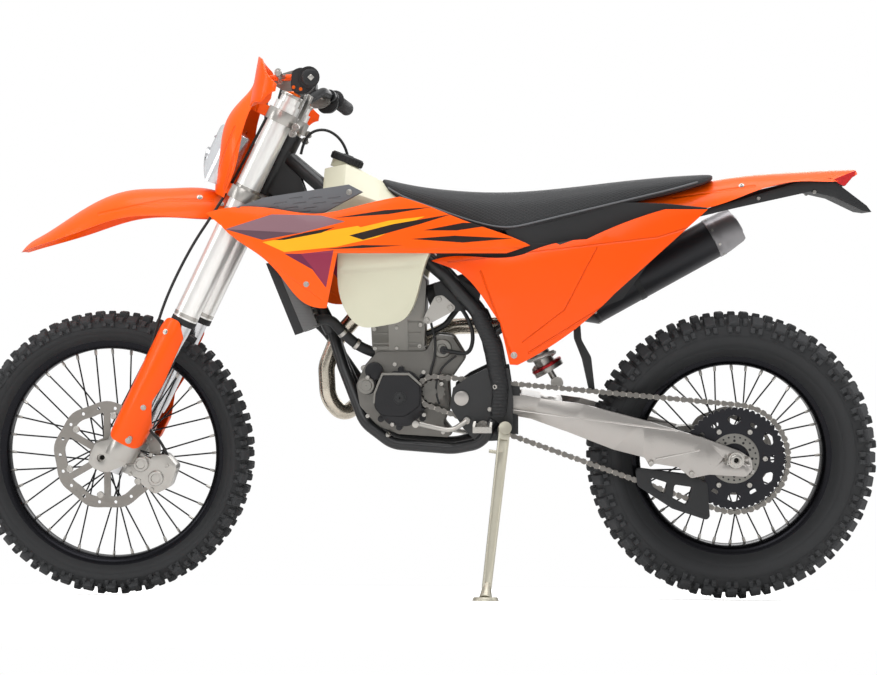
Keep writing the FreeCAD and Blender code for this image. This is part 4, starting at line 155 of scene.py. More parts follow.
BAR_HALF = 0.405
CORD_RADIUS = 0.0034
brake_points = [fork_at(back, FORK_SPAN * up, side) for back, up, side in (
    (-0.062, 0.9526, -0.058), (-0.064, 0.8105, -0.070), (-0.068, 0.7263, -0.076), (-0.074, 0.6632, -0.082),
    (-0.084, 0.5684, -0.100), (-0.086, 0.4421, -0.101), (-0.076, 0.3474, -0.099), (-0.055, 0.2632, -0.110),
    (-0.044, 0.2158, -0.1286), (-0.022, 0.1737, -0.138), (0.002, 0.1347, -0.128), (0.020, 0.1095, -0.108),
    (0.052, 0.0968, -0.092), (0.084, 0.0653, -0.084))]
clutch_points = [fork_at(back, FORK_SPAN * up, BAR_HALF * out) for back, up, out in (
    (-0.005, 1.0537, -0.5235), (-0.058, 1.0442, -0.3951), (-0.076, 1.0084, -0.2716),
    (-0.082, 0.9874, -0.1432), (-0.080, 0.9600, -0.0395), (-0.062, 0.9074, 0.0148))]
vent_points = [body(-0.231, 1.088), body(-0.240, 1.123, -0.006)] + [
    fork_at(back, FORK_SPAN * up, side) for back, up, side in (
        (0.0694, 0.9819, -0.018), (0.0330, 0.9425, -0.028), (0.0456, 0.8940, -0.030))]
CORDS = []
for name, points, where, node in (("front_brake_hose", brake_points, "steering", "front_hoses"),
                                  ("clutch_cable", clutch_points, "steering", "front_hoses"),
                                  ("tank_vent_hose", vent_points, "chassis", "vent_hose")):
    made = cord_curve(name, points, CORD_RADIUS, where)
    long = spline_length(made)
    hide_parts(node)
    CORDS.append(made)
    print(name, "length in m:", round(long, 3))

# %% [markdown]
# ## Light and floor
# A white studio: a floor that fades into a white backdrop, one wide lamp overhead, and weaker ones
# at the left, the right, the nose and the tail. The background stays white through its colour and
# through Light Path, so that the lamps can stay at a level at which colours render about as they
# are written.

# %% Small helpers for node trees


def linear(colour):
    """Linear RGBA of an sRGB hex value."""
    shares = [int(colour[place:place + 2], 16) / 255 for place in (0, 2, 4)]
    return [s / 12.92 if s <= 0.04045 else ((s + 0.055) / 1.055) ** 2.4 for s in shares] + [1.0]


def add(tree, kind, inputs=None, **settings):
    """Adds a node with its settings, and links or sets its inputs by name or place.

    A value is a number, a socket, or a node, which stands for its first output.
    """
    made = tree.nodes.new(kind)
    for name, value in settings.items():
        setattr(made, name, value)
    for name, value in (inputs or {}).items():
        socket = made.inputs[name]
        if isinstance(value, bpy.types.Node):
            value = value.outputs[0]
        if isinstance(value, bpy.types.NodeSocket):
            tree.links.new(value, socket)
        else:
            socket.default_value = value
    return made


# %% Studio
world = bpy.data.worlds.new("studio")
bpy.context.scene.world = world
world.use_nodes = True
sky = world.node_tree
sky.nodes.clear()
path = add(sky, "ShaderNodeLightPath")
seen = add(sky, "ShaderNodeMath",
    {0: path.outputs["Is Camera Ray"], 1: path.outputs["Is Transmission Ray"]}, operation="MAXIMUM")
toward = add(sky, "ShaderNodeTexCoord")
height = add(sky, "ShaderNodeSeparateXYZ", {0: toward.outputs["Generated"]})
# Gloss sees a sky that is dim at the horizon and bright overhead, so that round parts get a shape.
shade = add(sky, "ShaderNodeMapRange",
    {"Value": height.outputs["Z"], "From Min": -0.15, "From Max": 0.75, "To Min": 0.16, "To Max": 0.85},
    interpolation_type="SMOOTHSTEP")
strength = add(sky, "ShaderNodeMix", {"Factor": seen, "A": shade, "B": 1.0})
white = add(sky, "ShaderNodeBackground", {"Color": linear("ffffff"), "Strength": strength})
add(sky, "ShaderNodeOutputWorld", {"Surface": white})


def lamp(name, place, target, size, power):
    """An area lamp of (width, height) in metres and some watts, aimed at a point."""
    light = bpy.data.lights.new(name, "AREA")
    light.shape, light.size, light.size_y, light.energy = "RECTANGLE", size[0], size[1], power
    lamp_object = placed(name, light)
    lamp_object.location = place
    lamp_object.rotation_mode = "QUATERNION"
    lamp_object.rotation_quaternion = (Vector(target) - Vector(place)).to_track_quat("-Z", "Y")


lamp("overhead", (0.2, -0.6, 3.2), (0, 0, 0.5), (3.2, 2.0), 62)
lamp("left_wall", (-0.8, -3.6, 2.2), (0, 0, 0.5), (2.6, 1.4), 34)
lamp("nose_strip", (-3.2, -1.4, 1.5), (0, 0, 0.6), (0.7, 2.2), 22)
lamp("right_wall", (0.9, 3.4, 2.4), (0, 0, 0.6), (2.4, 1.4), 26)
lamp("tail_strip", (3.2, 0.4, 1.8), (0, 0, 0.6), (0.7, 2.0), 18)


FADE_START, FADE_END = 1.2, 2.6
FLOOR_HALF = 14


def stage_material():
    """Matt paper near the bike, which the camera alone sees fade to plain white further out."""
    made = bpy.data.materials.new("studio_paper")
    made.use_nodes = True
    tree = made.node_tree
    tree.nodes.clear()
    diffuse = add(tree, "ShaderNodeBsdfDiffuse", {"Color": linear("f4f4f3")})
    glow = add(tree, "ShaderNodeEmission", {"Color": linear("ffffff"), "Strength": 0.50})
    ray = add(tree, "ShaderNodeLightPath")
    seen = add(tree, "ShaderNodeMixShader", {0: ray.outputs["Is Camera Ray"], 2: glow})
    paper = add(tree, "ShaderNodeAddShader", {0: diffuse, 1: seen})
    white = add(tree, "ShaderNodeEmission", {"Color": linear("ffffff"), "Strength": 1.0})
    spot = add(tree, "ShaderNodeTexCoord")
    away = add(tree, "ShaderNodeVectorMath", {0: spot.outputs["Object"]}, operation="LENGTH")
    fade = add(tree, "ShaderNodeMapRange",
        {"Value": away.outputs["Value"], "From Min": FADE_START, "From Max": FADE_END},
        interpolation_type="SMOOTHSTEP")
    far = add(tree, "ShaderNodeMath", {0: fade, 1: ray.outputs["Is Camera Ray"]}, operation="MULTIPLY")
    both = add(tree, "ShaderNodeMixShader", {0: far, 1: paper, 2: white})
    add(tree, "ShaderNodeOutputMaterial", {"Surface": both})
    return made


floor_mesh = bpy.data.meshes.new("floor")
floor_corners = [(x * FLOOR_HALF, y * FLOOR_HALF, 0) for x, y in ((-1, -1), (1, -1), (1, 1), (-1, 1))]
floor_mesh.from_pydata(floor_corners, [], [(0, 1, 2, 3)])
floor = placed("floor", floor_mesh)
floor_mesh.materials.append(stage_material())
bpy.context.scene.view_settings.view_transform = "Standard"
print("lamps", len(bpy.data.lights))

# %% [markdown]
# ## Materials
# Every finish starts as a Principled shader. Patterns read Object coordinates, which are metres
# here, so a noise of scale 1 / size has grains of that size. `finish` holds what all finishes
# share: a grain that varies roughness, a bump of the same grain, and broad, faint clouds of tone.

# %% Finish builder


def upright_vector(tree):
    """Object coordinates turned back to the upright bike, so patterns follow its side view."""
    spot = add(tree, "ShaderNodeTexCoord")
    back = Matrix.Rotation(-LEAN, 4, "X") @ Vector((0, -SHIFT, 0))
    turned = add(tree, "ShaderNodeMapping", {"Vector": spot.outputs["Object"], "Location": back,
                                             "Rotation": (-LEAN, 0, 0)})
    return turned


def inside(tree, vector, corners):
    """1 within a convex outline in side view, given as (x, z) in metres."""
    middle = sum((Vector(c) for c in corners), Vector((0, 0))) / len(corners)
    result = None
    for a, b in zip(corners, corners[1:] + corners[:1]):
        normal = Vector((a[1] - b[1], b[0] - a[0])).normalized()
        offset = normal.dot(Vector(a))
        if normal.dot(middle) < offset:
            normal, offset = -normal, -offset
        reach = add(tree, "ShaderNodeVectorMath", {0: vector, 1: (normal.x, 0, normal.y)},
            operation="DOT_PRODUCT")
        test = add(tree, "ShaderNodeMath", {0: reach.outputs["Value"], 1: offset}, operation="GREATER_THAN")
        if result:
            test = add(tree, "ShaderNodeMath", {0: result, 1: test}, operation="MULTIPLY")
        result = test
    return result


def groove(tree, vector, line, width):
    """Height that dips along a line in side view, 0 at its middle and 1 outside its width."""
    (ax, az), (bx, bz) = line
    way = Vector((bx - ax, bz - az)).normalized()
    normal = Vector((-way.y, way.x))
    across = add(tree, "ShaderNodeVectorMath", {0: vector, 1: (normal.x, 0, normal.y)},
        operation="DOT_PRODUCT")
    gap = add(tree, "ShaderNodeMath", {0: across.outputs["Value"], 1: normal.dot(Vector((ax, az)))},
        operation="SUBTRACT")
    gap = add(tree, "ShaderNodeMath", {0: gap}, operation="ABSOLUTE")
    along = add(tree, "ShaderNodeVectorMath", {0: vector, 1: (way.x, 0, way.y)}, operation="DOT_PRODUCT")
    start, end = way.dot(Vector((ax, az))), way.dot(Vector((bx, bz)))
    centre = add(tree, "ShaderNodeMath", {0: along.outputs["Value"], 1: (start + end) / 2},
        operation="SUBTRACT")
    reach = add(tree, "ShaderNodeMath", {0: centre}, operation="ABSOLUTE")
    past = add(tree, "ShaderNodeMath", {0: reach, 1: abs(end - start) / 2}, operation="SUBTRACT")
    past = add(tree, "ShaderNodeMath", {0: past, 1: 0.0}, operation="MAXIMUM")
    far = add(tree, "ShaderNodeMath", {0: gap, 1: past}, operation="ADD")
    return add(tree, "ShaderNodeMapRange", {"Value": far, "From Max": width},
               interpolation_type="SMOOTHSTEP")


# %% The finish itself
CLOUD_SCALE = 9.0
DARKEN, LIGHTEN = 2.2, 1.2
COAT_ROUGH = 0.05


def finish(name, colour, rough, metal=0.0, grain=0.002, bump=0.1, vary=0.06, tone=0.04, coat=0.0,
        stretch=(1, 1, 1), ior=None, layers=(), grooves=(), groove_depth=0.0012, pattern=None):
    """A material whose roughness, tone and bump follow one grain size in metres.

    Layers are (colour, outlines) painted in side view, grooves are (line, width), and pattern is a
    function that takes the tree and the upright vector and returns a height with its depth.
    """
    made = bpy.data.materials.new(name)
    made.use_nodes = True
    tree = made.node_tree
    tree.nodes.clear()
    spot = add(tree, "ShaderNodeTexCoord")
    turned = add(tree, "ShaderNodeMapping", {"Vector": spot.outputs["Object"], "Scale": stretch})
    noise = add(tree, "ShaderNodeTexNoise", {"Vector": turned, "Scale": 1 / grain, "Detail": 4.0})
    cloud = add(tree, "ShaderNodeTexNoise", {"Vector": turned, "Scale": CLOUD_SCALE, "Detail": 3.0})
    roughness = add(tree, "ShaderNodeMapRange",
        {"Value": noise, "To Min": max(rough - vary, 0.01), "To Max": min(rough + vary, 1.0)})
    base = linear(colour)
    darker = [c * (1 - DARKEN * tone) for c in base[:3]] + [1.0]
    lighter = [min(c * (1 + LIGHTEN * tone), 1.0) for c in base[:3]] + [1.0]
    shade = add(tree, "ShaderNodeMix", {"Factor": cloud, "A": darker, "B": lighter},
                data_type="RGBA").outputs["Result"]
    relief = add(tree, "ShaderNodeBump", {"Height": noise, "Strength": bump, "Distance": grain * 0.25})
    upright = upright_vector(tree) if layers or grooves or pattern else None
    for paint, outlines in layers:
        for outline in outlines:
            shade = add(tree, "ShaderNodeMix",
                {"Factor": inside(tree, upright, outline), "A": shade, "B": linear(paint)},
                data_type="RGBA").outputs["Result"]
    height = None
    for line, width in grooves:
        dip = groove(tree, upright, line, width)
        height = add(tree, "ShaderNodeMath", {0: height, 1: dip}, operation="MINIMUM") if height else dip
    if height:
        relief = add(tree, "ShaderNodeBump", {"Height": height, "Strength": 0.9, "Distance": groove_depth,
                                              "Normal": relief})
    if pattern:
        height, depth = pattern(tree, upright)
        relief = add(tree, "ShaderNodeBump", {"Height": height, "Strength": 0.8, "Distance": depth,
                                              "Normal": relief})
    shader = add(tree, "ShaderNodeBsdfPrincipled",
        {"Base Color": shade, "Metallic": metal, "Roughness": roughness,
            "Normal": relief, "Coat Weight": coat, "Coat Roughness": COAT_ROUGH})
    if ior:
        shader.inputs["IOR"].default_value = ior
    add(tree, "ShaderNodeOutputMaterial", {"Surface": shader})
    return made


# %% Patterns that follow the upright bike
# The diamonds' lines are 13.5 mm apart and 0.8 mm deep. Slant and line share are without unit.
DIAMOND_PITCH, DIAMOND_DEPTH, DIAMOND_SLANT, DIAMOND_LINE = 0.0135, 0.0008, 1.7, 0.45


def diamonds(tree, vector):
    """Raised diamonds on a seat cover: two families of slanted lines, over top and sides."""
    parts = add(tree, "ShaderNodeSeparateXYZ", {0: vector}).outputs
    width = add(tree, "ShaderNodeMath", {0: parts["Y"]}, operation="ABSOLUTE")
    climb = add(tree, "ShaderNodeMath", {0: width, 1: parts["Z"]}, operation="SUBTRACT")
    climb = add(tree, "ShaderNodeMath", {0: climb, 1: DIAMOND_SLANT}, operation="MULTIPLY")
    lines = None
    for kind in ("ADD", "SUBTRACT"):
        slant = add(tree, "ShaderNodeMath", {0: parts["X"], 1: climb}, operation=kind)
        turn = add(tree, "ShaderNodeMath", {0: slant, 1: math.pi / DIAMOND_PITCH}, operation="MULTIPLY")
        wave = add(tree, "ShaderNodeMath", {0: turn}, operation="SINE")
        wave = add(tree, "ShaderNodeMath", {0: wave}, operation="ABSOLUTE")
        lines = add(tree, "ShaderNodeMath", {0: lines, 1: wave}, operation="MINIMUM") if lines else wave
    return add(tree, "ShaderNodeMapRange", {"Value": lines, "From Max": DIAMOND_LINE}), DIAMOND_DEPTH


def ribs(pitch, depth, axis):
    """Even ribs across one upright axis."""
    def pattern(tree, vector):
        parts = add(tree, "ShaderNodeSeparateXYZ", {0: vector}).outputs
        turn = add(tree, "ShaderNodeMath", {0: parts[axis], 1: 2 * math.pi / pitch}, operation="MULTIPLY")
        wave = add(tree, "ShaderNodeMath", {0: turn}, operation="SINE")
        return add(tree, "ShaderNodeMapRange", {"Value": wave, "From Min": -0.3, "From Max": 0.3}), depth
    return pattern


def turned_lines(centre, pitch, depth):
    """Fine rings round an axle, as turning and moulding leave them."""
    def pattern(tree, vector):
        away = add(tree, "ShaderNodeVectorMath", {0: vector, 1: (centre.x, 0, centre.z)},
            operation="SUBTRACT")
        flat = add(tree, "ShaderNodeVectorMath", {0: away, 1: (1, 0, 1)}, operation="MULTIPLY")
        reach = add(tree, "ShaderNodeVectorMath", {0: flat}, operation="LENGTH")
        turn = add(tree, "ShaderNodeMath", {0: reach.outputs["Value"], 1: 2 * math.pi / pitch},
            operation="MULTIPLY")
        return add(tree, "ShaderNodeMath", {0: turn}, operation="SINE"), depth
    return pattern


# %% [markdown]
# ## Orange bodywork
# Fenders, shrouds, side panels, mask and guards are injection-moulded polypropylene: a smooth skin
# with a soft gloss. The livery on the shrouds is a printed film of slanted streaks. A picture could
# carry it, but an outline in metres stays sharp at any size, so each streak is a convex outline in
# side view, painted over the base. Lines pressed into the panels are grooves in the bump.

# %% Orange plastics and livery
LIVERY = [
    ("8a6a72", [[(-0.440, 0.887), (-0.330, 0.921), (-0.215, 0.918), (-0.160, 0.904), (-0.262, 0.878),
                 (-0.352, 0.862)]]),
    ("604852", [[(-0.440, 0.887), (-0.262, 0.878), (-0.352, 0.862)]]),
    ("fbb01e", [[(-0.352, 0.857), (-0.250, 0.874), (-0.130, 0.894), (-0.085, 0.868), (-0.180, 0.846),
                 (-0.300, 0.834)],
                [(-0.135, 0.888), (-0.060, 0.906), (0.022, 0.916), (-0.085, 0.868)]]),
    ("8e2f49", [[(-0.262, 0.830), (-0.186, 0.838), (-0.204, 0.752)]]),
    ("6d2745", [[(-0.300, 0.830), (-0.262, 0.830), (-0.228, 0.790)]]),
    ("2a2220", [[(-0.350, 0.861), (-0.250, 0.879), (-0.160, 0.900), (-0.215, 0.878), (-0.300, 0.862)],
                [(-0.150, 0.872), (-0.050, 0.898), (0.085, 0.922), (0.010, 0.898), (-0.118, 0.862)],
                [(0.020, 0.884), (0.110, 0.902), (0.205, 0.901), (0.095, 0.884)],
                [(-0.185, 0.912), (-0.070, 0.930), (0.040, 0.938), (-0.060, 0.921)],
                [(-0.010, 0.864), (0.090, 0.872), (0.225, 0.866), (0.110, 0.856)],
                [(-0.290, 0.832), (-0.120, 0.850), (0.060, 0.848), (-0.120, 0.843)]]),
]
# The mould's fine grain is 0.9 mm here, coarser than real, so that it breaks the highlights a little.
MOULDED = {"grain": 0.0009, "bump": 0.03, "coat": 0.08, "tone": 0.02, "ior": 1.30}
orange = finish("moulded_orange_plastic", "ff5600", 0.34, **MOULDED)
livery = finish("shroud_orange_with_livery", "ff5d08", 0.32, layers=LIVERY,
                grooves=[(((-0.300, 0.834), (0.262, 0.842)), 0.004),
                         (((-0.452, 0.893), (-0.215, 0.725)), 0.003)], **MOULDED)
panel_orange = finish(
    "side_panel_orange", "ff5200", 0.32,
    layers=[("1b1a1a", [[(0.318, 0.858), (0.356, 0.862), (0.475, 0.906), (0.440, 0.905)],
                        [(0.318, 0.858), (0.334, 0.851), (0.475, 0.900), (0.475, 0.906)]])],
    grooves=[(((0.075, 0.812), (0.310, 0.838)), 0.003), (((0.310, 0.838), (0.560, 0.868)), 0.003),
             (((0.150, 0.790), (0.224, 0.590)), 0.003), (((0.560, 0.868), (0.680, 0.905)), 0.003),
             (((0.262, 0.600), (0.470, 0.730)), 0.0035), (((0.248, 0.625), (0.345, 0.700)), 0.002),
             (((0.345, 0.700), (0.420, 0.845)), 0.002)], groove_depth=0.0035, **MOULDED)
fender_orange = finish(
    "fender_orange", "ff5a04", 0.32,
    grooves=[(((-0.760, 0.925), (-0.600, 0.958)), 0.005), (((-0.600, 0.958), (-0.490, 0.958)), 0.005),
             (((0.600, 0.962), (0.790, 0.989)), 0.004)], groove_depth=0.003, **MOULDED)
mask_orange = finish(
    "mask_orange", "ff5a04", 0.32,
    grooves=[(((-0.455, 0.985), (-0.372, 1.215)), 0.005), (((-0.480, 1.010), (-0.430, 1.130)), 0.003)],
    groove_depth=0.004, **MOULDED)
print("streaks in the livery", sum(len(outlines) for paint, outlines in LIVERY))

# %% [markdown]
# ## Black and cream plastics, rubbers
# Air box, guards and switch blocks are glass-filled nylon with an etched grain: a dull black whose
# small bumps catch light. The tank is cross-linked polyethylene, milky and soft in its shine. Tyres,
# boots and grips are carbon-black rubber, matt and greyed by dust, so their tone varies more.

# %% Plastics and rubbers
DULL_PLASTIC = {"grain": 0.0011, "tone": 0.06, "ior": 1.5}
black_plastic = finish("textured_black_plastic", "1a1b1d", 0.58, bump=0.35, **DULL_PLASTIC)
# Ribs 8 mm apart run across the rubbery frame guards and darken them.
ribbed_plastic = finish("ribbed_black_guard", "17181a", 0.55, bump=0.3, pattern=ribs(0.008, 0.0010, "Z"),
                        **DULL_PLASTIC)
# The grey knee pads have short slots in rows, (height, fronts of its slots), each 28 mm long.
SLOT_ROWS = ((0.934, (-0.345, -0.300, -0.255)), (0.945, (-0.325, -0.280, -0.235, -0.190)),
             (0.957, (-0.290, -0.245, -0.200)), (0.924, (-0.360, -0.315, -0.270)))
slotted_pad = finish(
    "grip_pad_plastic", "626468", 0.55, grain=0.0012, bump=0.3, tone=0.06, ior=1.5,
    grooves=[(((x, z), (x + 0.028, z + 0.0035)), 0.0022) for z, fronts in SLOT_ROWS for x in fronts],
    groove_depth=0.0022)
cream = finish("translucent_cream_plastic", "cfcdb6", 0.40, grain=0.0012, bump=0.05, tone=0.03, ior=1.5,
               grooves=[(((-0.168, 0.792), (0.015, 0.806)), 0.010)], groove_depth=0.002)
# Tread blocks are scrubbed by the ground, so they are paler and rougher than the sidewall.
tyre_rubber = finish("tyre_rubber", "212224", 0.70, grain=0.0016, bump=0.30, tone=0.12, vary=0.08)
block_rubber = finish("tread_block_rubber", "303133", 0.74, grain=0.0016, bump=0.30, tone=0.14, vary=0.08)
rubber = finish("soft_rubber", "191a1b", 0.62, grain=0.0009, bump=0.2, tone=0.06)
grip_rubber = finish("grip_rubber", "1a1a1c", 0.66, grain=0.0010, bump=0.25, tone=0.05)

# %% [markdown]
# ## Metals
# A metal's colour is its reflection, so each keeps the default IOR, and bare metal has a high
# metallic value. How it was made sets its roughness: drawn and brushed parts have a stretched
# grain, castings are blasted and dull, ground discs have fine rings, and a coat hides some metal.

# %% Bright metals and castings
bright_alloy = finish("brushed_silver_alloy", "b3b0ab", 0.32, metal=0.85, grain=0.0012, bump=0.025,
    tone=0.03, stretch=(0.08, 1, 1))
# The swingarm's two pressed lines follow its arm and its axle end.
swing_alloy = finish("pressed_swingarm_alloy", "aeaaa6", 0.30, metal=0.8, grain=0.0010, bump=0.08, tone=0.04,
                     stretch=(0.1, 1, 1), grooves=[(((0.200, 0.468), (0.610, 0.418)), 0.0025),
                                                   (((0.560, 0.352), (0.660, 0.372)), 0.0025)])
hub_alloy = finish("machined_hub_alloy", "b9b7b4", 0.36, metal=0.85, grain=0.0010, bump=0.08, tone=0.06)
# Blasted castings scatter light, so they look chalky beside the brushed parts.
cast_alloy = finish("bead_blasted_casting", "86847f", 0.44, metal=0.8, grain=0.0012, bump=0.28, tone=0.12)
case_alloy = finish("crankcase_casting", "6f6d69", 0.44, metal=0.75, grain=0.0012, bump=0.28, tone=0.12)
dark_cast = finish("dark_cast_cover", "29292b", 0.38, metal=0.6, grain=0.0011, bump=0.35, tone=0.10)
stand_metal = finish("forged_stand_alloy", "b5b1a2", 0.42, metal=0.75, grain=0.0011, bump=0.3, tone=0.06)
steel = finish("brushed_steel", "b1aea9", 0.28, metal=1.0, grain=0.0010, bump=0.05, tone=0.08)
# Chrome mirrors the studio. The anodised upper tube is paler, with a wider, softer highlight.
chrome = finish("polished_fork_tube", "c4c5c7", 0.14, metal=1.0, grain=0.0020, bump=0.003, tone=0.01,
                vary=0.01)
tube_silver = finish("anodised_fork_tube", "eeedea", 0.30, metal=0.6, grain=0.0015, bump=0.004, tone=0.01,
                     vary=0.012)
# Radiator fins stand 3.5 mm apart here, coarser than real, so that they show in the render.
radiator_alloy = finish("radiator_core", "6a6a6a", 0.45, metal=0.7, grain=0.001, bump=0.2, tone=0.08,
                        pattern=ribs(0.0035, 0.0006, "Z"))

# %% Discs, exhaust, chain and coloured metals
# Grinding leaves rings on the discs: 1.6 mm apart here, so that they show as a fan of light.
DISC = {"metal": 1.0, "grain": 0.001, "bump": 0.03, "tone": 0.05}
DISC_GREY, RINGS = "8f8b86", (0.0016, 0.00008)
disc_front = finish("ground_disc_front", DISC_GREY, 0.36, pattern=turned_lines(FRONT_AXLE, *RINGS), **DISC)
disc_rear = finish("ground_disc_rear", DISC_GREY, 0.36, pattern=turned_lines(REAR_AXLE, *RINGS), **DISC)
# Heat turns the header's steel straw-coloured in clouds. The silencer is coated, so it stays matt.
exhaust = finish("heated_exhaust_steel", "c4bcae", 0.26, metal=1.0, grain=0.0040, bump=0.015, tone=0.10)
matte_black_steel = finish("matte_black_silencer", "26262a", 0.46, metal=0.4, grain=0.0010, bump=0.15,
                           tone=0.05)
end_cap_grey = finish("satin_grey_end_cap", "8a888a", 0.36, metal=0.7, grain=0.0010, bump=0.12, tone=0.05)
# Oil darkens the chain's outer plates more than the worn rollers.
chain_steel = finish("chain_steel", "b0aba3", 0.32, metal=1.0, grain=0.0008, bump=0.1, tone=0.1)
chain_dark = finish("oiled_chain_plate", "7a7773", 0.36, metal=0.9, grain=0.0008, bump=0.1, tone=0.12)
# Black anodising keeps the metal's sharp highlight, and powder coat on the frame is softer.
black_gloss = finish("anodised_black_rim", "1a1a1e", 0.26, metal=0.85, grain=0.0015, bump=0.05, tone=0.05)
spoke_black = finish("black_spoke", "1c1c1e", 0.34, metal=0.7, grain=0.0012, bump=0.03, tone=0.05)
black_bar = finish("black_anodised_bar", "1c1d1f", 0.36, metal=0.6, grain=0.0014, bump=0.05, tone=0.05)
sprocket_dark = finish("hard_black_sprocket", "26262a", 0.36, metal=0.75, grain=0.001, bump=0.06, tone=0.06)
frame_black = finish("powder_coated_frame", "151618", 0.42, grain=0.0012, bump=0.18, coat=0.15, tone=0.05)
spring_metal = finish("painted_spring", "dcdad6", 0.3, metal=0.3, grain=0.001, bump=0.05, tone=0.03,
    coat=0.3)
# Dyed anodising glows: the colour sits in the reflection itself.
red_anodised = finish("red_anodised_alloy", "b3252b", 0.3, metal=0.7, grain=0.001, bump=0.04, tone=0.03)
orange_anodised = finish("orange_anodised_cap", "f2660f", 0.3, metal=0.6, grain=0.001, bump=0.04, tone=0.03)

# %% [markdown]
# ## Lenses and seat vinyl
# Lamp lenses are clear or red polycarbonate under a hard coat. Solid glass would show an empty
# shell, so the clear one is opaque with a little metal in it, as the bright reflector behind gives.
# The seat's cover is vinyl with raised diamonds, 13.5 mm from line to line.

# %% Lenses and seat covers
clear_lens = finish("headlight_lens", "c9cdd0", 0.08, metal=0.25, grain=0.004, bump=0.02, tone=0.03,
    vary=0.02, coat=1.0, ior=1.49)
red_lens = finish("red_lamp_lens", "c01a1c", 0.12, grain=0.003, bump=0.04, tone=0.05, vary=0.03, ior=1.49)
seat_cover = finish("seat_cover_vinyl", "242527", 0.60, grain=0.0010, bump=0.25, tone=0.06, pattern=diamonds)
seat_side = finish("seat_piping_vinyl", "5e6063", 0.55, grain=0.0010, bump=0.2, tone=0.04)

# %% [markdown]
# ## Finishes on the CAD parts
# Each node gets one finish. CAD edges are sharp, while moulded and cast edges are round and catch a
# line of light. A bevel modifier gives them that: its width in metres is the edge's radius. A weld
# joins the mesh's doubled corners before it, so that the bevel runs on along a whole edge.

# %% Finishes and eased edges
looks = {
    "frame": frame_black, "subframe": frame_black, "crankcase": case_alloy, "cylinder": cast_alloy,
    "engine_covers": dark_cast, "engine_hangers": bright_alloy, "intake": rubber, "header_pipe": exhaust,
    "silencer": matte_black_steel, "fuel_tank": cream, "fuel_cap": black_plastic, "shrouds": livery,
    "grip_pads": slotted_pad, "radiators": radiator_alloy, "radiator_guards": black_plastic,
    "seat": seat_cover, "side_panels": panel_orange, "airbox": black_plastic, "rear_fender": fender_orange,
    "tail_light": red_lens, "plate_holder": black_plastic, "mud_flap": rubber, "swingarm": swing_alloy,
    "rear_shock": bright_alloy, "shock_spring": spring_metal, "rear_axle": steel, "rear_caliper": cast_alloy,
    "chain": chain_steel, "chain_guide": black_plastic, "footpegs": steel, "foot_controls": bright_alloy,
    "chain_slider": black_plastic, "frame_guards": ribbed_plastic, "vent_hose": rubber,
    "front_hoses": rubber, "triple_clamps": bright_alloy, "fork_tubes": tube_silver, "fork_sliders": chrome,
    "fork_lugs": bright_alloy, "front_axle": steel, "fork_guards": orange, "handlebar": black_bar,
    "instrument": black_plastic, "grips": grip_rubber, "levers": bright_alloy, "hand_guards": orange,
    "headlight_lens": clear_lens, "headlight_mask": mask_orange, "front_fender": fender_orange,
    "front_caliper": bright_alloy, "front_tyre": tyre_rubber, "rear_tyre": tyre_rubber,
    "front_rim": black_gloss, "rear_rim": black_gloss, "front_spokes": bright_alloy,
    "rear_spokes": bright_alloy, "front_disc": disc_front, "rear_disc": disc_rear,
    "rear_sprocket": sprocket_dark, "side_stand": stand_metal,
}
EASED = {
    "swingarm": 0.0045, "side_panels": 0.0016, "shrouds": 0.0016, "fork_guards": 0.0020, "crankcase": 0.0025,
    "cylinder": 0.0020, "engine_covers": 0.0020, "triple_clamps": 0.0020, "front_caliper": 0.0025,
    "fork_lugs": 0.0025, "chain_guide": 0.0020, "grip_pads": 0.0014, "hand_guards": 0.0016,
    "side_stand": 0.0016, "engine_hangers": 0.0012, "rear_caliper": 0.0020, "airbox": 0.0030,
    "fuel_tank": 0.0080, "radiators": 0.0015, "foot_controls": 0.0010, "instrument": 0.0020,
    "levers": 0.0012, "plate_holder": 0.0012, "headlight_lens": 0.0030,
}
WELD_GAP = 0.00002
for name, part in nodes.items():
    part.data.materials.clear()
    part.data.materials.append(looks[name])
    part.data.shade_smooth()
    part.data.set_sharp_from_angle(angle=math.radians(40))
    if name in EASED:
        part.modifiers.new("join", "WELD").merge_threshold = WELD_GAP
        ease = part.modifiers.new("ease", "BEVEL")
        ease.width, ease.segments = EASED[name], 2
        ease.limit_method, ease.angle_limit = "ANGLE", math.radians(42)
        ease.use_clamp_overlap = True
for made in CORDS:
    made.data.materials.append(rubber)
print("finishes on", len(nodes), "nodes")

# %% [markdown]
# ## Turned parts
# Tyres, rims and hubs are turned shapes. One helper takes a closed section, a list of side distance
# and radius in metres, and sweeps it round the axle.

# %% Sweep a section round an axle


def piece(name, vertices, faces, material, where):
    """A mesh from upright points, taken to the leaning frame and riding on its body."""
    mesh = bpy.data.meshes.new(name)
    mesh.from_pydata([tuple(LEANING @ Vector(v)) for v in vertices], [], faces)
    mesh.materials.append(material)
    made = placed(name, mesh)
    mesh.shade_smooth()
    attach(made, where)
    return made


def swept(section, centre, steps):
    """Vertices and faces of a closed section of (side, radius) turned about an axle."""
    vertices, faces = [], []
    count = len(section)
    for step in range(steps):
        turn = 2 * math.pi * step / steps
        for side, reach in section:
            vertices.append((centre.x + reach * math.sin(turn), side, centre.z + reach * math.cos(turn)))
    for step in range(steps):
        following = (step + 1) % steps
        for place in range(count):
            corner = (place + 1) % count
            faces.append((step * count + place, step * count + corner, following * count + corner,
                    following * count + place))
    return vertices, faces


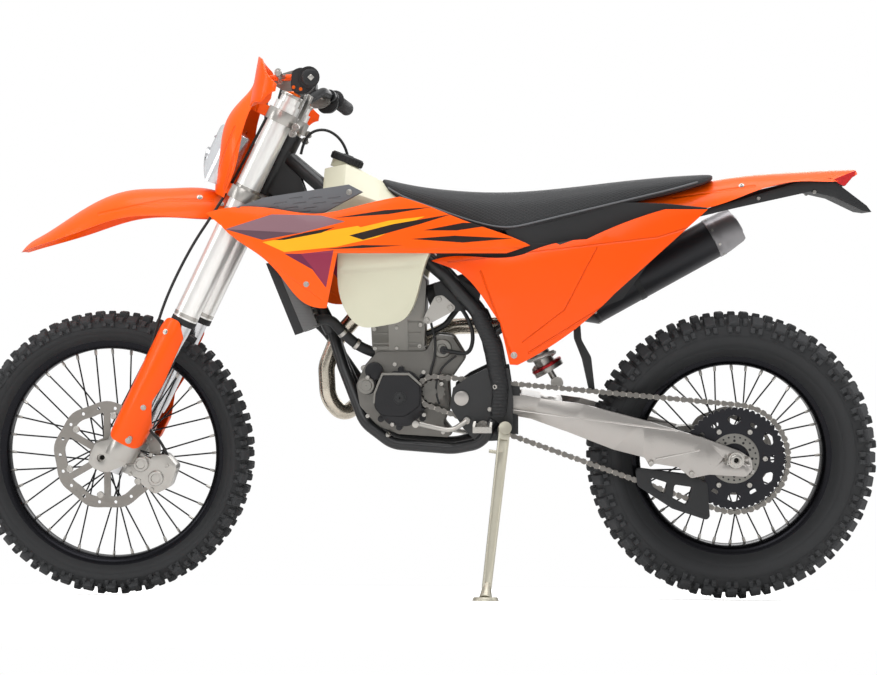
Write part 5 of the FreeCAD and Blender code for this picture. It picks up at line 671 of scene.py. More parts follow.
def rounded_line(points, steps):
    """The points joined by a Catmull-Rom curve with some steps to each span."""
    line = []
    padded = [points[0]] + list(points) + [points[-1]]
    for a, b, c, d in zip(padded, padded[1:], padded[2:], padded[3:]):
        for step in range(steps):
            t = step / steps
            line.append(tuple(0.5 * (2 * q + (r - p) * t + (2 * p - 5 * q + 4 * r - s) * t * t
                        + (3 * q - p - 3 * r + s) * t ** 3) for p, q, r, s in zip(a, b, c, d)))
    line.append(tuple(points[-1]))
    return line


# %% [markdown]
# ## Tyres
# An enduro tyre is a smooth carcass with moulded blocks. The carcass is swept. The blocks repeat,
# so a Geometry Nodes tree sets one bevelled block on each point of a ring: its inputs are the
# count, the ring's radius, the side distance, the tilt and where the first block sits.

# %% Node tree that sets blocks round a wheel


def block_tree():
    """The tree: a line of points bent round the axle, a block on each, joined to the carcass."""
    tree = bpy.data.node_groups.new("blocks_round_a_wheel", "GeometryNodeTree")
    tree.interface.new_socket("Geometry", in_out="INPUT", socket_type="NodeSocketGeometry")
    for label, kind in (("Block", "NodeSocketObject"), ("Count", "NodeSocketInt"),
            ("Radius", "NodeSocketFloat"), ("Side", "NodeSocketFloat"), ("Tilt", "NodeSocketFloat"),
            ("Start", "NodeSocketFloat"), ("Material", "NodeSocketMaterial")):
        tree.interface.new_socket(label, in_out="INPUT", socket_type=kind)
    tree.interface.new_socket("Geometry", in_out="OUTPUT", socket_type="NodeSocketGeometry")
    given = add(tree, "NodeGroupInput").outputs
    spots = add(tree, "GeometryNodeMeshLine", {"Count": given["Count"]})
    place = add(tree, "GeometryNodeInputIndex")
    part = add(tree, "ShaderNodeMath", {0: place, 1: given["Count"]}, operation="DIVIDE")
    turned = add(tree, "ShaderNodeMath", {0: part, 1: 2 * math.pi, 2: given["Start"]},
        operation="MULTIPLY_ADD")
    sine = add(tree, "ShaderNodeMath", {0: turned}, operation="SINE")
    cosine = add(tree, "ShaderNodeMath", {0: turned}, operation="COSINE")
    along = add(tree, "ShaderNodeMath", {0: sine, 1: given["Radius"]}, operation="MULTIPLY")
    up = add(tree, "ShaderNodeMath", {0: cosine, 1: given["Radius"]}, operation="MULTIPLY")
    point = add(tree, "ShaderNodeCombineXYZ", {"X": along, "Y": given["Side"], "Z": up})
    moved = add(tree, "GeometryNodeSetPosition", {"Geometry": spots, "Position": point})
    facing = add(tree, "ShaderNodeCombineXYZ", {"X": given["Tilt"], "Y": turned})
    block = add(tree, "GeometryNodeObjectInfo", {"Object": given["Block"]})
    copies = add(tree, "GeometryNodeInstanceOnPoints",
        {"Points": moved, "Instance": block.outputs["Geometry"], "Rotation": facing})
    solid = add(tree, "GeometryNodeRealizeInstances", {"Geometry": copies})
    painted = add(tree, "GeometryNodeSetMaterial", {"Geometry": solid, "Material": given["Material"]})
    joined = add(tree, "GeometryNodeJoinGeometry")
    tree.links.new(given["Geometry"], joined.inputs[0])
    tree.links.new(painted.outputs[0], joined.inputs[0])
    add(tree, "NodeGroupOutput", {"Geometry": joined})
    return tree


BLOCKS = block_tree()


def set_inputs(modifier, tree, values):
    """Sets a modifier's inputs by their names, through the sockets' identifiers."""
    for item in tree.interface.items_tree:
        if item.in_out == "INPUT" and item.name in values:
            modifier[item.identifier] = values[item.name]


KNOB_SINK = 0.003


def knob(length, width, height, taper=0.84, bevel=0.0016):
    """One tread block: its foot sunk in the carcass, narrower at the top, with eased edges."""
    mesh = bpy.data.meshes.new("knob")
    work = bmesh.new()
    bmesh.ops.create_cube(work, size=1.0)
    for v in work.verts:
        share = taper if v.co.z > 0 else 1.0
        v.co = Vector((v.co.x * length * share, v.co.y * width * share, (v.co.z + 0.5) * height - KNOB_SINK))
    top = [e for e in work.edges if all(v.co.z > 0 for v in e.verts)
        or abs(e.verts[0].co.z - e.verts[1].co.z) > height / 2]
    bmesh.ops.bevel(work, geom=top, offset=bevel, segments=1, affect="EDGES")
    work.to_mesh(mesh)
    work.free()
    return placed("knob", mesh)


def to_mesh(source, name, centre, where, angle=35):
    """The evaluated piece as a plain mesh in the leaning frame, on its body."""
    evaluated = source.evaluated_get(bpy.context.evaluated_depsgraph_get())
    mesh = bpy.data.meshes.new_from_object(evaluated)
    mesh.name = name
    mesh.transform(LEANING @ Matrix.Translation(centre))
    bpy.data.objects.remove(source)
    made = placed(name, mesh)
    mesh.shade_smooth()
    mesh.set_sharp_from_angle(angle=math.radians(angle))
    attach(made, where)
    print(name, len(mesh.polygons), "faces")
    return made


# %% [markdown]
# ## Both tyres
# Front and rear differ only in their section and their blocks, so one function makes both. The half
# section runs from the bead to the crown, and each row of blocks is told by its block, radius, side
# distance, tilt in degrees and place as a share of one step.

# %% Tyre maker
BLOCKS_ROUND = 36
STEP = 2 * math.pi / BLOCKS_ROUND
WALL, TYRE_STEPS = 0.007, 144


def make_tyre(name, centre, line, rows, where):
    """Carcass from a half line of (side, radius) out to the crown, with rows of blocks."""
    outer = rounded_line(line, 5)
    section = [(-s, r) for s, r in outer] + [(s, r) for s, r in reversed(outer[:-1])]
    inner = [(s * 0.90, r - WALL) for s, r in reversed(section[1:-1])]
    vertices, faces = swept(section + inner, Vector((0, 0, 0)), TYRE_STEPS)
    mesh = bpy.data.meshes.new(name)
    mesh.from_pydata(vertices, [], faces)
    mesh.materials.append(tyre_rubber)
    carcass = placed(name + "_work", mesh)
    used = []
    for block, radius, side, tilt, start in rows:
        used.append(block)
        for sign in ((-1, 1) if side else (1,)):
            modifier = carcass.modifiers.new("row", "NODES")
            modifier.node_group = BLOCKS
            set_inputs(modifier, BLOCKS, {
                "Block": block, "Count": BLOCKS_ROUND, "Radius": radius, "Side": sign * side,
                "Tilt": -sign * math.radians(tilt), "Start": start * STEP, "Material": block_rubber})
    made = to_mesh(carcass, name, centre, where)
    for block in set(used):
        bpy.data.objects.remove(block)
    return made


# %% Tyres
front_tyre = make_tyre(
    "front_tyre_knobbly", FRONT_AXLE,
    [(0.024, 0.2775), (0.031, 0.283), (0.041, 0.293), (0.0446, 0.3030), (0.0415, 0.3130), (0.0350, 0.3215),
     (0.0205, 0.3275), (0.0, 0.3285)],
    [(knob(0.027, 0.0260, 0.0180), 0.3195, 0.0318, 37, 0),
     (knob(0.012, 0.0190, 0.0130), 0.3195, 0.0325, 38, 0.5),
     (knob(0.019, 0.0165, 0.0185), 0.3285, 0.0120, 6, 0.5),
     (knob(0.018, 0.0150, 0.0185), 0.3285, 0, 0, 0),
     (knob(0.010, 0.0120, 0.0100, bevel=0.001), 0.3105, 0.0420, 66, 0.17),
     (knob(0.010, 0.0120, 0.0100, bevel=0.001), 0.3105, 0.0420, 66, -0.17)], "front_wheel")
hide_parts("front_tyre")
rear_tyre = make_tyre(
    "rear_tyre_knobbly", REAR_AXLE,
    [(0.032, 0.2408), (0.044, 0.250), (0.061, 0.265), (0.0682, 0.282), (0.0655, 0.299), (0.0560, 0.3145),
     (0.0315, 0.3265), (0.0, 0.3280)],
    [(knob(0.028, 0.0360, 0.0190), 0.3150, 0.0480, 38, 0),
     (knob(0.013, 0.0240, 0.0140), 0.3150, 0.0490, 38, 0.5),
     (knob(0.020, 0.0240, 0.0185), 0.3278, 0.0180, 6, 0.5),
     (knob(0.019, 0.0230, 0.0185), 0.3278, 0, 0, 0),
     (knob(0.012, 0.0160, 0.0105, bevel=0.001), 0.3010, 0.0640, 68, 0.17),
     (knob(0.012, 0.0160, 0.0105, bevel=0.001), 0.3010, 0.0640, 68, -0.17)], "rear_wheel")
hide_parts("rear_tyre")

# %% Sidewall lines


def sidewall_rings(name, centre, rings, where):
    """Moulded lines on both sidewalls: thin rings of (side, radius, width, height)."""
    vertices, faces = [], []
    for side, reach, width, height in rings:
        for sign in (-1, 1):
            ring = [(sign * (side - 0.002), reach - width / 2), (sign * (side + height), reach - width / 3),
                    (sign * (side + height), reach + width / 3), (sign * (side - 0.002), reach + width / 2)]
            more, grown = swept(ring, centre, 120)
            faces += [tuple(len(vertices) + place for place in face) for face in grown]
            vertices += more
    return piece(name, vertices, faces, tyre_rubber, where)


sidewall_rings("front_tyre_lines", FRONT_AXLE,
    [(0.0300, 0.2825, 0.0030, 0.0012), (0.0392, 0.2915, 0.0012, 0.0008), (0.0447, 0.3060, 0.0014, 0.0007)],
    "front_wheel")
sidewall_rings("rear_tyre_lines", REAR_AXLE,
    [(0.0420, 0.2485, 0.0030, 0.0014), (0.0585, 0.2635, 0.0012, 0.0010), (0.0684, 0.2870, 0.0016, 0.0008)],
    "rear_wheel")

# %% [markdown]
# ## Rims
# A laced rim is a rolled channel. Its section is swept with many more steps than the CAD mesh has,
# so that its edge stays round close up.

# %% Rims
RIM_STEPS = 180


def make_rim(name, node, centre, flange, half, where):
    """A rolled channel: flanges, bead seats and a dropped well, from its flange radius and half width."""
    well, seat = flange - 0.024, flange - 0.008
    outer = [(half, flange), (half - 0.002, flange + 0.0003), (half - 0.004, flange),
        (half - 0.0042, seat + 0.002), (half - 0.007, seat), (half / 2, well + 0.005),
        (half / 2 - 0.004, well + 0.004)]
    outer = [(-s, r) for s, r in outer] + list(reversed(outer))
    inner = [(half, seat - 0.004), (half * 0.8, well + 0.004), (half * 0.6, well), (-half * 0.6, well),
             (-half * 0.8, well + 0.004), (-half, seat - 0.004)]
    vertices, faces = swept(outer + inner, centre, RIM_STEPS)
    made = piece(name, vertices, faces, black_gloss, where)
    made.data.set_sharp_from_angle(angle=math.radians(40))
    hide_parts(node)
    return made


make_rim("front_rim_channel", "front_rim", FRONT_AXLE, 0.277, 0.024, "front_wheel")
make_rim("rear_rim_channel", "rear_rim", REAR_AXLE, 0.240, 0.032, "rear_wheel")

# %% [markdown]
# ## Small parts that repeat
# Bolts, nipples, spokes, chain links and rivets are all one shape set on many points. The points
# carry a turn and a size each, and one Geometry Nodes tree reads both and sets the copies.

# %% Node tree that sets copies on points


def copies_tree():
    """The tree: the source on every point, turned and sized by the point's own attributes."""
    tree = bpy.data.node_groups.new("copies_on_points", "GeometryNodeTree")
    for label, kind in (("Geometry", "NodeSocketGeometry"), ("Source", "NodeSocketObject"),
                        ("Material", "NodeSocketMaterial")):
        tree.interface.new_socket(label, in_out="INPUT", socket_type=kind)
    tree.interface.new_socket("Geometry", in_out="OUTPUT", socket_type="NodeSocketGeometry")
    given = add(tree, "NodeGroupInput").outputs
    turn = add(tree, "GeometryNodeInputNamedAttribute", {"Name": "turn"}, data_type="FLOAT_VECTOR")
    size = add(tree, "GeometryNodeInputNamedAttribute", {"Name": "size"}, data_type="FLOAT_VECTOR")
    source = add(tree, "GeometryNodeObjectInfo", {"Object": given["Source"]})
    copies = add(tree, "GeometryNodeInstanceOnPoints", {
        "Points": given["Geometry"], "Instance": source.outputs["Geometry"], "Rotation": turn,
        "Scale": size})
    solid = add(tree, "GeometryNodeRealizeInstances", {"Geometry": copies})
    painted = add(tree, "GeometryNodeSetMaterial", {"Geometry": solid, "Material": given["Material"]})
    add(tree, "NodeGroupOutput", {"Geometry": painted})
    return tree


COPIES = copies_tree()


def copies(name, source, spots, material, where, slot, angle=35):
    """One piece of copies: spots are (place, way, size), way a direction for Z or a quaternion."""
    mesh = bpy.data.meshes.new(name)
    mesh.from_pydata([tuple(place) for place, way, size in spots], [], [])
    turns = mesh.attributes.new("turn", "FLOAT_VECTOR", "POINT")
    sizes = mesh.attributes.new("size", "FLOAT_VECTOR", "POINT")
    for number, (place, way, size) in enumerate(spots):
        if not isinstance(way, Quaternion):
            way = Vector(way).to_track_quat("Z", "Y")
        turns.data[number].vector = way.to_euler()
        sizes.data[number].vector = size if isinstance(size, (tuple, Vector)) else (size, size, size)
    carrier = placed(name + "_spots", mesh)
    modifier = carrier.modifiers.new("copies", "NODES")
    modifier.node_group = COPIES
    set_inputs(modifier, COPIES, {"Source": source, "Material": material})
    return to_mesh(carrier, name, (0, 0, 0), where, angle)


# %% Sources for the copies
SOURCES = []


def source_shape(name, vertices, faces):
    """A small mesh that copies are made from. It is removed at the end."""
    mesh = bpy.data.meshes.new(name)
    mesh.from_pydata(vertices, [], faces)
    mesh.update()
    made = placed(name, mesh)
    SOURCES.append(made)
    return made


def turned_shape(name, profile, steps=14):
    """A profile of (radius, height) turned about Z, closed at both ends."""
    vertices, faces = [], []
    for reach, height in profile:
        for step in range(steps):
            turn = 2 * math.pi * step / steps
            vertices.append((reach * math.cos(turn), reach * math.sin(turn), height))
    for ring in range(len(profile) - 1):
        for step in range(steps):
            after = (step + 1) % steps
            faces.append((ring * steps + step, ring * steps + after, (ring + 1) * steps + after,
                          (ring + 1) * steps + step))
    faces.append(tuple(reversed(range(steps))))
    faces.append(tuple(range(len(vertices) - steps, len(vertices))))
    return source_shape(name, vertices, faces)


socket_bolt = turned_shape("socket_bolt",
    [(1.0, -0.3), (1.0, 0.75), (0.88, 0.95), (0.55, 0.95), (0.50, 0.45)])
hex_nut = turned_shape("hex_nut", [(1.0, -0.2), (1.0, 0.75), (0.84, 0.9), (0.50, 0.9), (0.48, 0.55)], 6)
flat_rivet = turned_shape("flat_rivet", [(1.0, -0.2), (1.0, 0.22), (0.85, 0.34), (0.45, 0.34), (0.42, 0.24)])
plain_rod = turned_shape("plain_rod", [(1.0, 0.0), (1.0, 1.0)], 8)
LEFT, RIGHT = Vector((0, -1, 0)), Vector((0, 1, 0))


def both_sides(spots):
    """The same spots on the left and mirrored to the right."""
    twin = [((x, -y, z), (way[0], -way[1], way[2]), size) for (x, y, z), way, size in spots]
    return spots + twin


# %% [markdown]
# ## Pipes, plates and lofts
# Three kinds of shape cover most of the rest. A hose or wire is a NURBS line with a round section.
# A bracket or cover is a flat outline, pulled out to a plate with a bevel round its rim. A lever,
# seat or silencer is a loft, rings of equal count joined in order.

# %% Pipes and plates


def pipe(name, points, radius, material, where, steps=12, sides=5, order=4):
    """A tube on a smooth line through the frame: control points on the upright bike."""
    curve = bpy.data.curves.new(name, "CURVE")
    curve.dimensions = "3D"
    curve.bevel_depth, curve.bevel_resolution = radius, sides
    curve.resolution_u, curve.use_fill_caps = steps, True
    spline = curve.splines.new("NURBS" if order > 2 else "POLY")
    spline.points.add(len(points) - 1)
    for spot, point in zip(spline.points, points):
        spot.co = (*point, 1.0)
    if order > 2:
        spline.order_u = order
        spline.use_endpoint_u = True
    made = to_mesh(placed(name + "_line", curve), name, (0, 0, 0), where)
    made.data.materials.clear()
    made.data.materials.append(material)
    return made


def slab(name, outline, left, right, material, where, slot, bevel=0.0015, segments=2):
    """A bevelled plate: its outline is (x, z) in metres, between two side distances."""
    work = bmesh.new()
    rim = [work.verts.new((x, left, z)) for x, z in outline]
    for a, b in zip(rim, rim[1:] + rim[:1]):
        work.edges.new((a, b))
    bmesh.ops.triangle_fill(work, use_beauty=True, use_dissolve=True, edges=work.edges[:])
    grown = bmesh.ops.extrude_face_region(work, geom=work.faces[:])
    bmesh.ops.translate(work, vec=(0, right - left, 0),
        verts=[v for v in grown["geom"] if isinstance(v, bmesh.types.BMVert)])
    bmesh.ops.recalc_face_normals(work, faces=work.faces[:])
    if bevel:
        rims = [e for e in work.edges if len(e.link_faces) == 2 and e.calc_face_angle(0) > math.radians(50)
                and abs(e.verts[0].co.y - e.verts[1].co.y) < 1e-6]
        bmesh.ops.bevel(work, geom=rims, offset=bevel, segments=segments, affect="EDGES", clamp_overlap=True)
    mesh = bpy.data.meshes.new(name)
    work.to_mesh(mesh)
    work.free()
    mesh.materials.append(material)
    return to_mesh(placed(name + "_flat", mesh), name, (0, 0, 0), where, 40)


def eased(outline, radius, steps=4):
    """The outline with its corners rounded."""
    line = []
    count = len(outline)
    for number, corner in enumerate(outline):
        before, after = Vector(outline[number - 1]), Vector(outline[(number + 1) % count])
        corner = Vector(corner)
        into, out = (before - corner), (after - corner)
        reach = min(radius, into.length * 0.45, out.length * 0.45)
        start, end = corner + into.normalized() * reach, corner + out.normalized() * reach
        for step in range(steps + 1):
            t = step / steps
            line.append(tuple(start * (1 - t) ** 2 + corner * (2 * t * (1 - t)) + end * t * t))
    return line


# %% Lofts, circles and turned pieces


def loft(name, rings, material, where, caps=True, angle=40, subdivide=0):
    """Rings of equal count joined in order, on the upright bike."""
    count = len(rings[0])
    vertices = [tuple(point) for ring in rings for point in ring]
    faces = []
    for row in range(len(rings) - 1):
        for place in range(count):
            after = (place + 1) % count
            faces.append((row * count + place, row * count + after, (row + 1) * count + after,
                    (row + 1) * count + place))
    if caps:
        faces.append(tuple(reversed(range(count))))
        faces.append(tuple(range(len(vertices) - count, len(vertices))))
    mesh = bpy.data.meshes.new(name)
    mesh.from_pydata(vertices, [], faces)
    mesh.materials.append(material)
    work = placed(name + "_loft", mesh)
    if subdivide:
        work.modifiers.new("smooth", "SUBSURF").levels = subdivide
    return to_mesh(work, name, (0, 0, 0), where, angle)


def circle(radius, steps):
    """Points of a circle in side view, clockwise from the top."""
    return [(radius * math.sin(2 * math.pi * step / steps), radius * math.cos(2 * math.pi * step / steps))
            for step in range(steps)]


def ring_spots(centre, reach, count, side, way, size, start=0.0):
    """Spots evenly round an axle."""
    return [((centre.x + reach * math.sin(start + 2 * math.pi * n / count), side,
                centre.z + reach * math.cos(start + 2 * math.pi * n / count)), way, size)
        for n in range(count)]


def turned_piece(name, section, centre, material, where, steps=48):
    """A closed section of (side, radius) turned round an axle on the upright bike."""
    vertices, faces = swept(section, centre, steps)
    made = piece(name, vertices, faces, material, where)
    made.data.set_sharp_from_angle(angle=math.radians(35))
    return made


# %% [markdown]
# ## Where fasteners sit
# A bolt has to sit on the face that carries it, and facing out of it. Rays from the side find that
# face on the CAD parts, so a bolt is told only by its place in side view.

# %% Rays on the CAD parts
TREES = {}


def hit(names, x, z, sign):
    """Where a ray from one side first meets these CAD parts, with the face's way, upright."""
    found = None
    for name in names:
        if name not in TREES:
            part = nodes[name]
            upright = LEANING.inverted() @ part.matrix_world
            TREES[name] = BVHTree.FromPolygons([upright @ v.co for v in part.data.vertices],
                                               [tuple(p.vertices) for p in part.data.polygons])
        spot, way, face, far = TREES[name].ray_cast(Vector((x, sign * 0.6, z)), Vector((0, -sign, 0)))
        if spot and (found is None or sign * spot.y > sign * found[0].y):
            found = (spot, way if way.y * sign > 0 else -way)
    return found


def ray(name, start, way):
    """First point and outward face direction where an upright ray meets a CAD part."""
    # This ray passes far off every part. It only has the part's tree built.
    hit([name], 9.0, 9.0, 1)
    spot, face_way, face, far = TREES[name].ray_cast(Vector(start), Vector(way))
    return spot, (face_way if face_way.dot(Vector(way)) < 0 else -face_way) if spot else None


def bolts_on(name, names, spots, material=None, slot="steel", source=None, where="chassis", signs=(-1, 1)):
    """Fasteners where side rays meet the named parts; spots are (x, z, radius)."""
    seats = []
    for sign in signs:
        for x, z, radius in spots:
            found = hit(names, x, z, sign)
            if found:
                seats.append((found[0], found[1], radius))
    print(name, len(seats), "placed, sides", [round(seat[0].y, 3) for seat in seats][:8])
    if seats:
        copies(name, source or socket_bolt, seats, material or steel, where, slot)


def near(name, side, reach=0.004):
    """Middle of a CAD part's points at one side distance, upright."""
    back = LEANING.inverted() @ nodes[name].matrix_world
    points = [p for p in (back @ v.co for v in nodes[name].data.vertices) if abs(p.y - side) < reach]
    low = Vector([min(p[i] for p in points) for i in range(3)])
    high = Vector([max(p[i] for p in points) for i in range(3)])
    return (low + high) / 2


# %% [markdown]
# ## Spokes and hubs
# Each wheel has 36 crossed spokes. A round spoke is one rod stretched between the hub's flange and
# the rim, so each point carries a turn and a length. Nipples stand on the rim's inner face.

# %% Laced wheels
SPOKES = 36
FLANGE_REACH, FLANGE_SIDE, FLANGE_HALF = 0.0305, 0.034, 0.0045
NIPPLE_LONG = 0.013


def lace(name, node, centre, reach, rim_half, hub_section, where):
    """Crossed spokes from the hub's flanges to the rim, with nipples, heads and the hub itself."""
    spokes, nipples = [], []
    step = 2 * math.pi / SPOKES
    for number in range(SPOKES):
        side = 1 if number % 2 else -1
        cross = 1 if number % 4 < 2 else -1
        turn = step * number
        foot_turn = turn + cross * step * 6
        foot = centre + Vector((FLANGE_REACH * math.sin(foot_turn), side * FLANGE_SIDE + cross * FLANGE_HALF,
                                FLANGE_REACH * math.cos(foot_turn)))
        head = centre + Vector((reach * math.sin(turn), side * rim_half / 4, reach * math.cos(turn)))
        way = head - foot
        spokes.append((foot, way, (0.0019, 0.0019, way.length)))
        nipples.append((head - way.normalized() * NIPPLE_LONG, way, (0.0033, 0.0033, NIPPLE_LONG)))
    rods = copies(name + "_spokes_round", plain_rod, spokes, spoke_black, where, "alloy", 60)
    hub = turned_piece(name + "_hub_turned", hub_section, centre, hub_alloy, where, 64)
    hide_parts(node)
    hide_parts(node)
    copies(name + "_nipples", turned_shape("nipple", [(1.0, 0.0), (1.15, 0.7), (0.9, 1.0)], 6), nipples,
        bright_alloy, where, "alloy")
    ends = [(foot + Vector((0, math.copysign(0.001, foot.y), 0)), LEFT if foot.y < 0 else RIGHT,
             (0.0032, 0.0032, 0.0018)) for foot, way, size in spokes]
    copies(name + "_spoke_heads", turned_shape("spoke_head", [(1.0, 0.0), (0.8, 0.8), (0.3, 1.0)], 6), ends,
        bright_alloy, where, "alloy")


def hub_section(left, right, boss_left):
    """Half section of a hub as (side, radius), with a boss under the disc on one side."""
    boss = 0.030
    line = [(left, 0.0105), (left, boss if boss_left else 0.021),
        (left + 0.002 if boss_left else left, 0.0225 if not boss_left else boss),
        (-0.037, 0.0255 if not boss_left else boss), (-0.037, 0.0335), (-0.0355, 0.034), (-0.0325, 0.034),
        (-0.031, 0.0335), (-0.029, 0.026), (-0.018, 0.0205), (0.018, 0.0205), (0.029, 0.026),
        (0.031, 0.0335), (0.0325, 0.034), (0.0355, 0.034), (0.037, 0.0335),
        (0.037, 0.0255 if boss_left else boss), (right, 0.0225 if boss_left else boss), (right, 0.0105)]
    return line


lace("front", "front_spokes", FRONT_AXLE, 0.2527, 0.024, hub_section(-0.066, 0.052, True), "front_wheel")
lace("rear", "rear_spokes", REAR_AXLE, 0.2157, 0.032, hub_section(-0.058, 0.072, False), "rear_wheel")

# %% [markdown]
# ## Brake discs, chain and sprocket
# The wave discs and the sprocket keep their CAD shapes. Rivets hold each disc to its carrier, and
# six bolts hold the sprocket. The chain repeats two links, a narrow roller link and a wide plate
# link, along the same loop as the CAD chain.

# %% Disc rivets and sprocket bolts
copies("front_disc_rivets", flat_rivet,
    ring_spots(FRONT_AXLE, 0.0965, 6, -0.0702, LEFT, 0.0085, math.radians(10))
    + ring_spots(FRONT_AXLE, 0.0265, 6, -0.0702, LEFT, 0.0042), steel, "front_wheel", "steel")
copies("rear_disc_rivets", flat_rivet, ring_spots(REAR_AXLE, 0.0265, 6, 0.0762, RIGHT, 0.0042)
       + ring_spots(REAR_AXLE, 0.078, 6, 0.0762, RIGHT, 0.007), steel, "rear_wheel", "steel")
copies("sprocket_bolts", socket_bolt,
    ring_spots(REAR_AXLE, 0.072, 6, -0.0872, LEFT, 0.0062, math.radians(30)), bright_alloy, "rear_wheel",
    "steel")

# %% Chain
PITCH = 0.015875
FRONT_TEETH, REAR_TEETH = 14, 50
CHAIN_SIDE = -0.084


def chain_spots():
    """Middles of the links along the loop round both sprockets, with their slopes."""
    front, rear = Vector((HALF_BASE * 0.051, 0, SADDLE * 0.517)), REAR_AXLE
    front_reach, rear_reach = (PITCH / (2 * math.sin(math.pi / teeth))
        for teeth in (FRONT_TEETH, REAR_TEETH))
    gap = rear - front
    span, tilt = math.hypot(gap.x, gap.z), math.atan2(gap.z, gap.x)
    rise = math.asin((rear_reach - front_reach) / span)
    straight = span * math.cos(rise)
    front_wrap, rear_wrap = (math.pi - 2 * rise) * front_reach, (math.pi + 2 * rise) * rear_reach
    total = 2 * straight + front_wrap + rear_wrap
    upper, lower = tilt + rise + math.pi / 2, tilt - rise - math.pi / 2

    def at(distance):
        """The point this far along the loop: upper run, rear wrap, lower run, front wrap."""
        distance %= total
        if distance < straight:
            start = front + Vector((math.cos(upper), 0, math.sin(upper))) * front_reach
            end = rear + Vector((math.cos(upper), 0, math.sin(upper))) * rear_reach
            return start.lerp(end, distance / straight)
        distance -= straight
        if distance < rear_wrap:
            turn = upper - distance / rear_reach
            return rear + Vector((math.cos(turn), 0, math.sin(turn))) * rear_reach
        distance -= rear_wrap
        if distance < straight:
            start = rear + Vector((math.cos(lower), 0, math.sin(lower))) * rear_reach
            end = front + Vector((math.cos(lower), 0, math.sin(lower))) * front_reach
            return start.lerp(end, distance / straight)
        turn = lower - (distance - straight) / front_reach
        return front + Vector((math.cos(turn), 0, math.sin(turn))) * front_reach

    count = 2 * round(total / PITCH / 2)
    joints = [at(total * n / count) for n in range(count)]
    spots = []
    for number, (a, b) in enumerate(zip(joints, joints[1:] + joints[:1])):
        middle, way = (a + b) / 2, b - a
        spots.append(((middle.x, CHAIN_SIDE, middle.z), Quaternion((0, 1, 0), -math.atan2(way.z, way.x)),
                1.0))
    return spots


HALF_LINK, PLATE_END, PLATE_WAIST = 0.00794, 0.0069, 0.0036


def link_shape(name, plate_side, plate_thick, roller):
    """A chain link centred on its middle: two waisted plates and a roller or pin at each end."""
    vertices, faces = [], []

    def ring_of(points, left, right):
        base, count = len(vertices), len(points)
        vertices.extend((x, left, z) for x, z in points)
        vertices.extend((x, right, z) for x, z in points)
        for n in range(count):
            after = (n + 1) % count
            faces.append((base + n, base + after, base + count + after, base + count + n))
        faces.append(tuple(base + n for n in reversed(range(count))))
        faces.append(tuple(base + count + n for n in range(count)))

    waist = []
    for end in (1, -1):
        for step in range(7):
            turn = math.radians(-70 + 140 * step / 6)
            waist.append((end * (HALF_LINK + PLATE_END * math.cos(turn)), end * PLATE_END * math.sin(turn)))
        waist.append((0.0, end * PLATE_WAIST))
    for side in (-1, 1):
        ring_of(waist, side * plate_side - plate_thick / 2, side * plate_side + plate_thick / 2)
    for end in (-1, 1):
        ring_of([(end * HALF_LINK + x, z) for x, z in circle(roller[0], 8)], -roller[1], roller[1])
    return source_shape(name, vertices, faces)


spots = chain_spots()
inner_link = link_shape("inner_link", 0.0044, 0.0018, (0.0050, 0.0036))
outer_link = link_shape("outer_link", 0.0066, 0.0018, (0.0027, 0.0080))
inner = copies("chain_roller_links", inner_link, spots[0::2], chain_steel, "chassis", "steel", 40)
print("chain links", len(spots))
outer = copies("chain_plate_links", outer_link, spots[1::2], chain_dark, "chassis", "steel", 40)
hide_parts("chain")
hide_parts("chain")

# %% [markdown]
# ## Fork, clamps and front axle
# Fork parts are turned shapes on the fork's own line. Pinch bolts hold the clamps and the lug, and
# a rubber wiper sits where each tube slides.

# %% Fork details
FORK_SIDES = (-0.106, 0.106)
LEG_BACK = -0.022
cap_ring = turned_shape("cap_ring", [(0.0268, 0.0), (0.0268, 0.006), (0.0256, 0.0075), (0.0195, 0.0078)], 28)
cap_top = turned_shape("cap_top",
    [(0.0178, 0.0), (0.0178, 0.0125), (0.0160, 0.0145), (0.0085, 0.0145), (0.0080, 0.0105)], 28)
wiper = turned_shape("wiper", [(0.0282, 0.0), (0.0304, 0.002), (0.0304, 0.013), (0.0296, 0.015),
        (0.0260, 0.015)], 28)
collar = turned_shape("collar", [(0.0290, 0.0), (0.0302, 0.001), (0.0302, 0.009), (0.0292, 0.0098)], 28)
copies("fork_cap_rings", cap_ring, [(fork_at(LEG_BACK, 0.958, s), FORK_UP, 1) for s in FORK_SIDES],
    bright_alloy, "steering", "alloy")
copies("fork_cap_tops", cap_top, [(fork_at(LEG_BACK, 0.958, s), FORK_UP, 1) for s in FORK_SIDES],
    orange_anodised, "steering", "alloy")
copies("fork_wipers", wiper, [(fork_at(LEG_BACK, 0.3665, s), FORK_UP, 1) for s in FORK_SIDES], rubber,
    "steering", "rubber")
copies("fork_collars", collar, [(fork_at(LEG_BACK, up, s), FORK_UP, 1) for s in FORK_SIDES
        for up in (0.385, 0.655, 0.716)], bright_alloy, "steering", "alloy")
ears, ear_bolts = [], []
for low in (0.688, 0.892):
    for lift in (-0.0085, 0.0085):
        for side, way in ((-0.136, LEFT), (0.136, RIGHT)):
            ear_bolts.append((fork_at(0.020, low + lift, side * 0.985), way, 0.0052))
            ears.append((fork_at(0.020, low + lift, side * 0.93), way, (0.0088, 0.0088, 0.0075)))
copies("clamp_pinch_ears", turned_shape("ear", [(1.0, -1.0), (1.0, 0.85), (0.86, 1.0)], 18), ears,
    bright_alloy, "steering", "alloy")
copies("clamp_pinch_bolts", socket_bolt, ear_bolts, steel, "steering", "steel")
copies("lug_pinch_bolts", socket_bolt,
    both_sides([((-0.672, -0.1462, 0.398), LEFT, 0.0056)])
    + [((-0.716, -0.1205, 0.334), LEFT, 0.0052), ((-0.690, -0.1205, 0.331), LEFT, 0.0052)], steel,
    "steering", "steel")
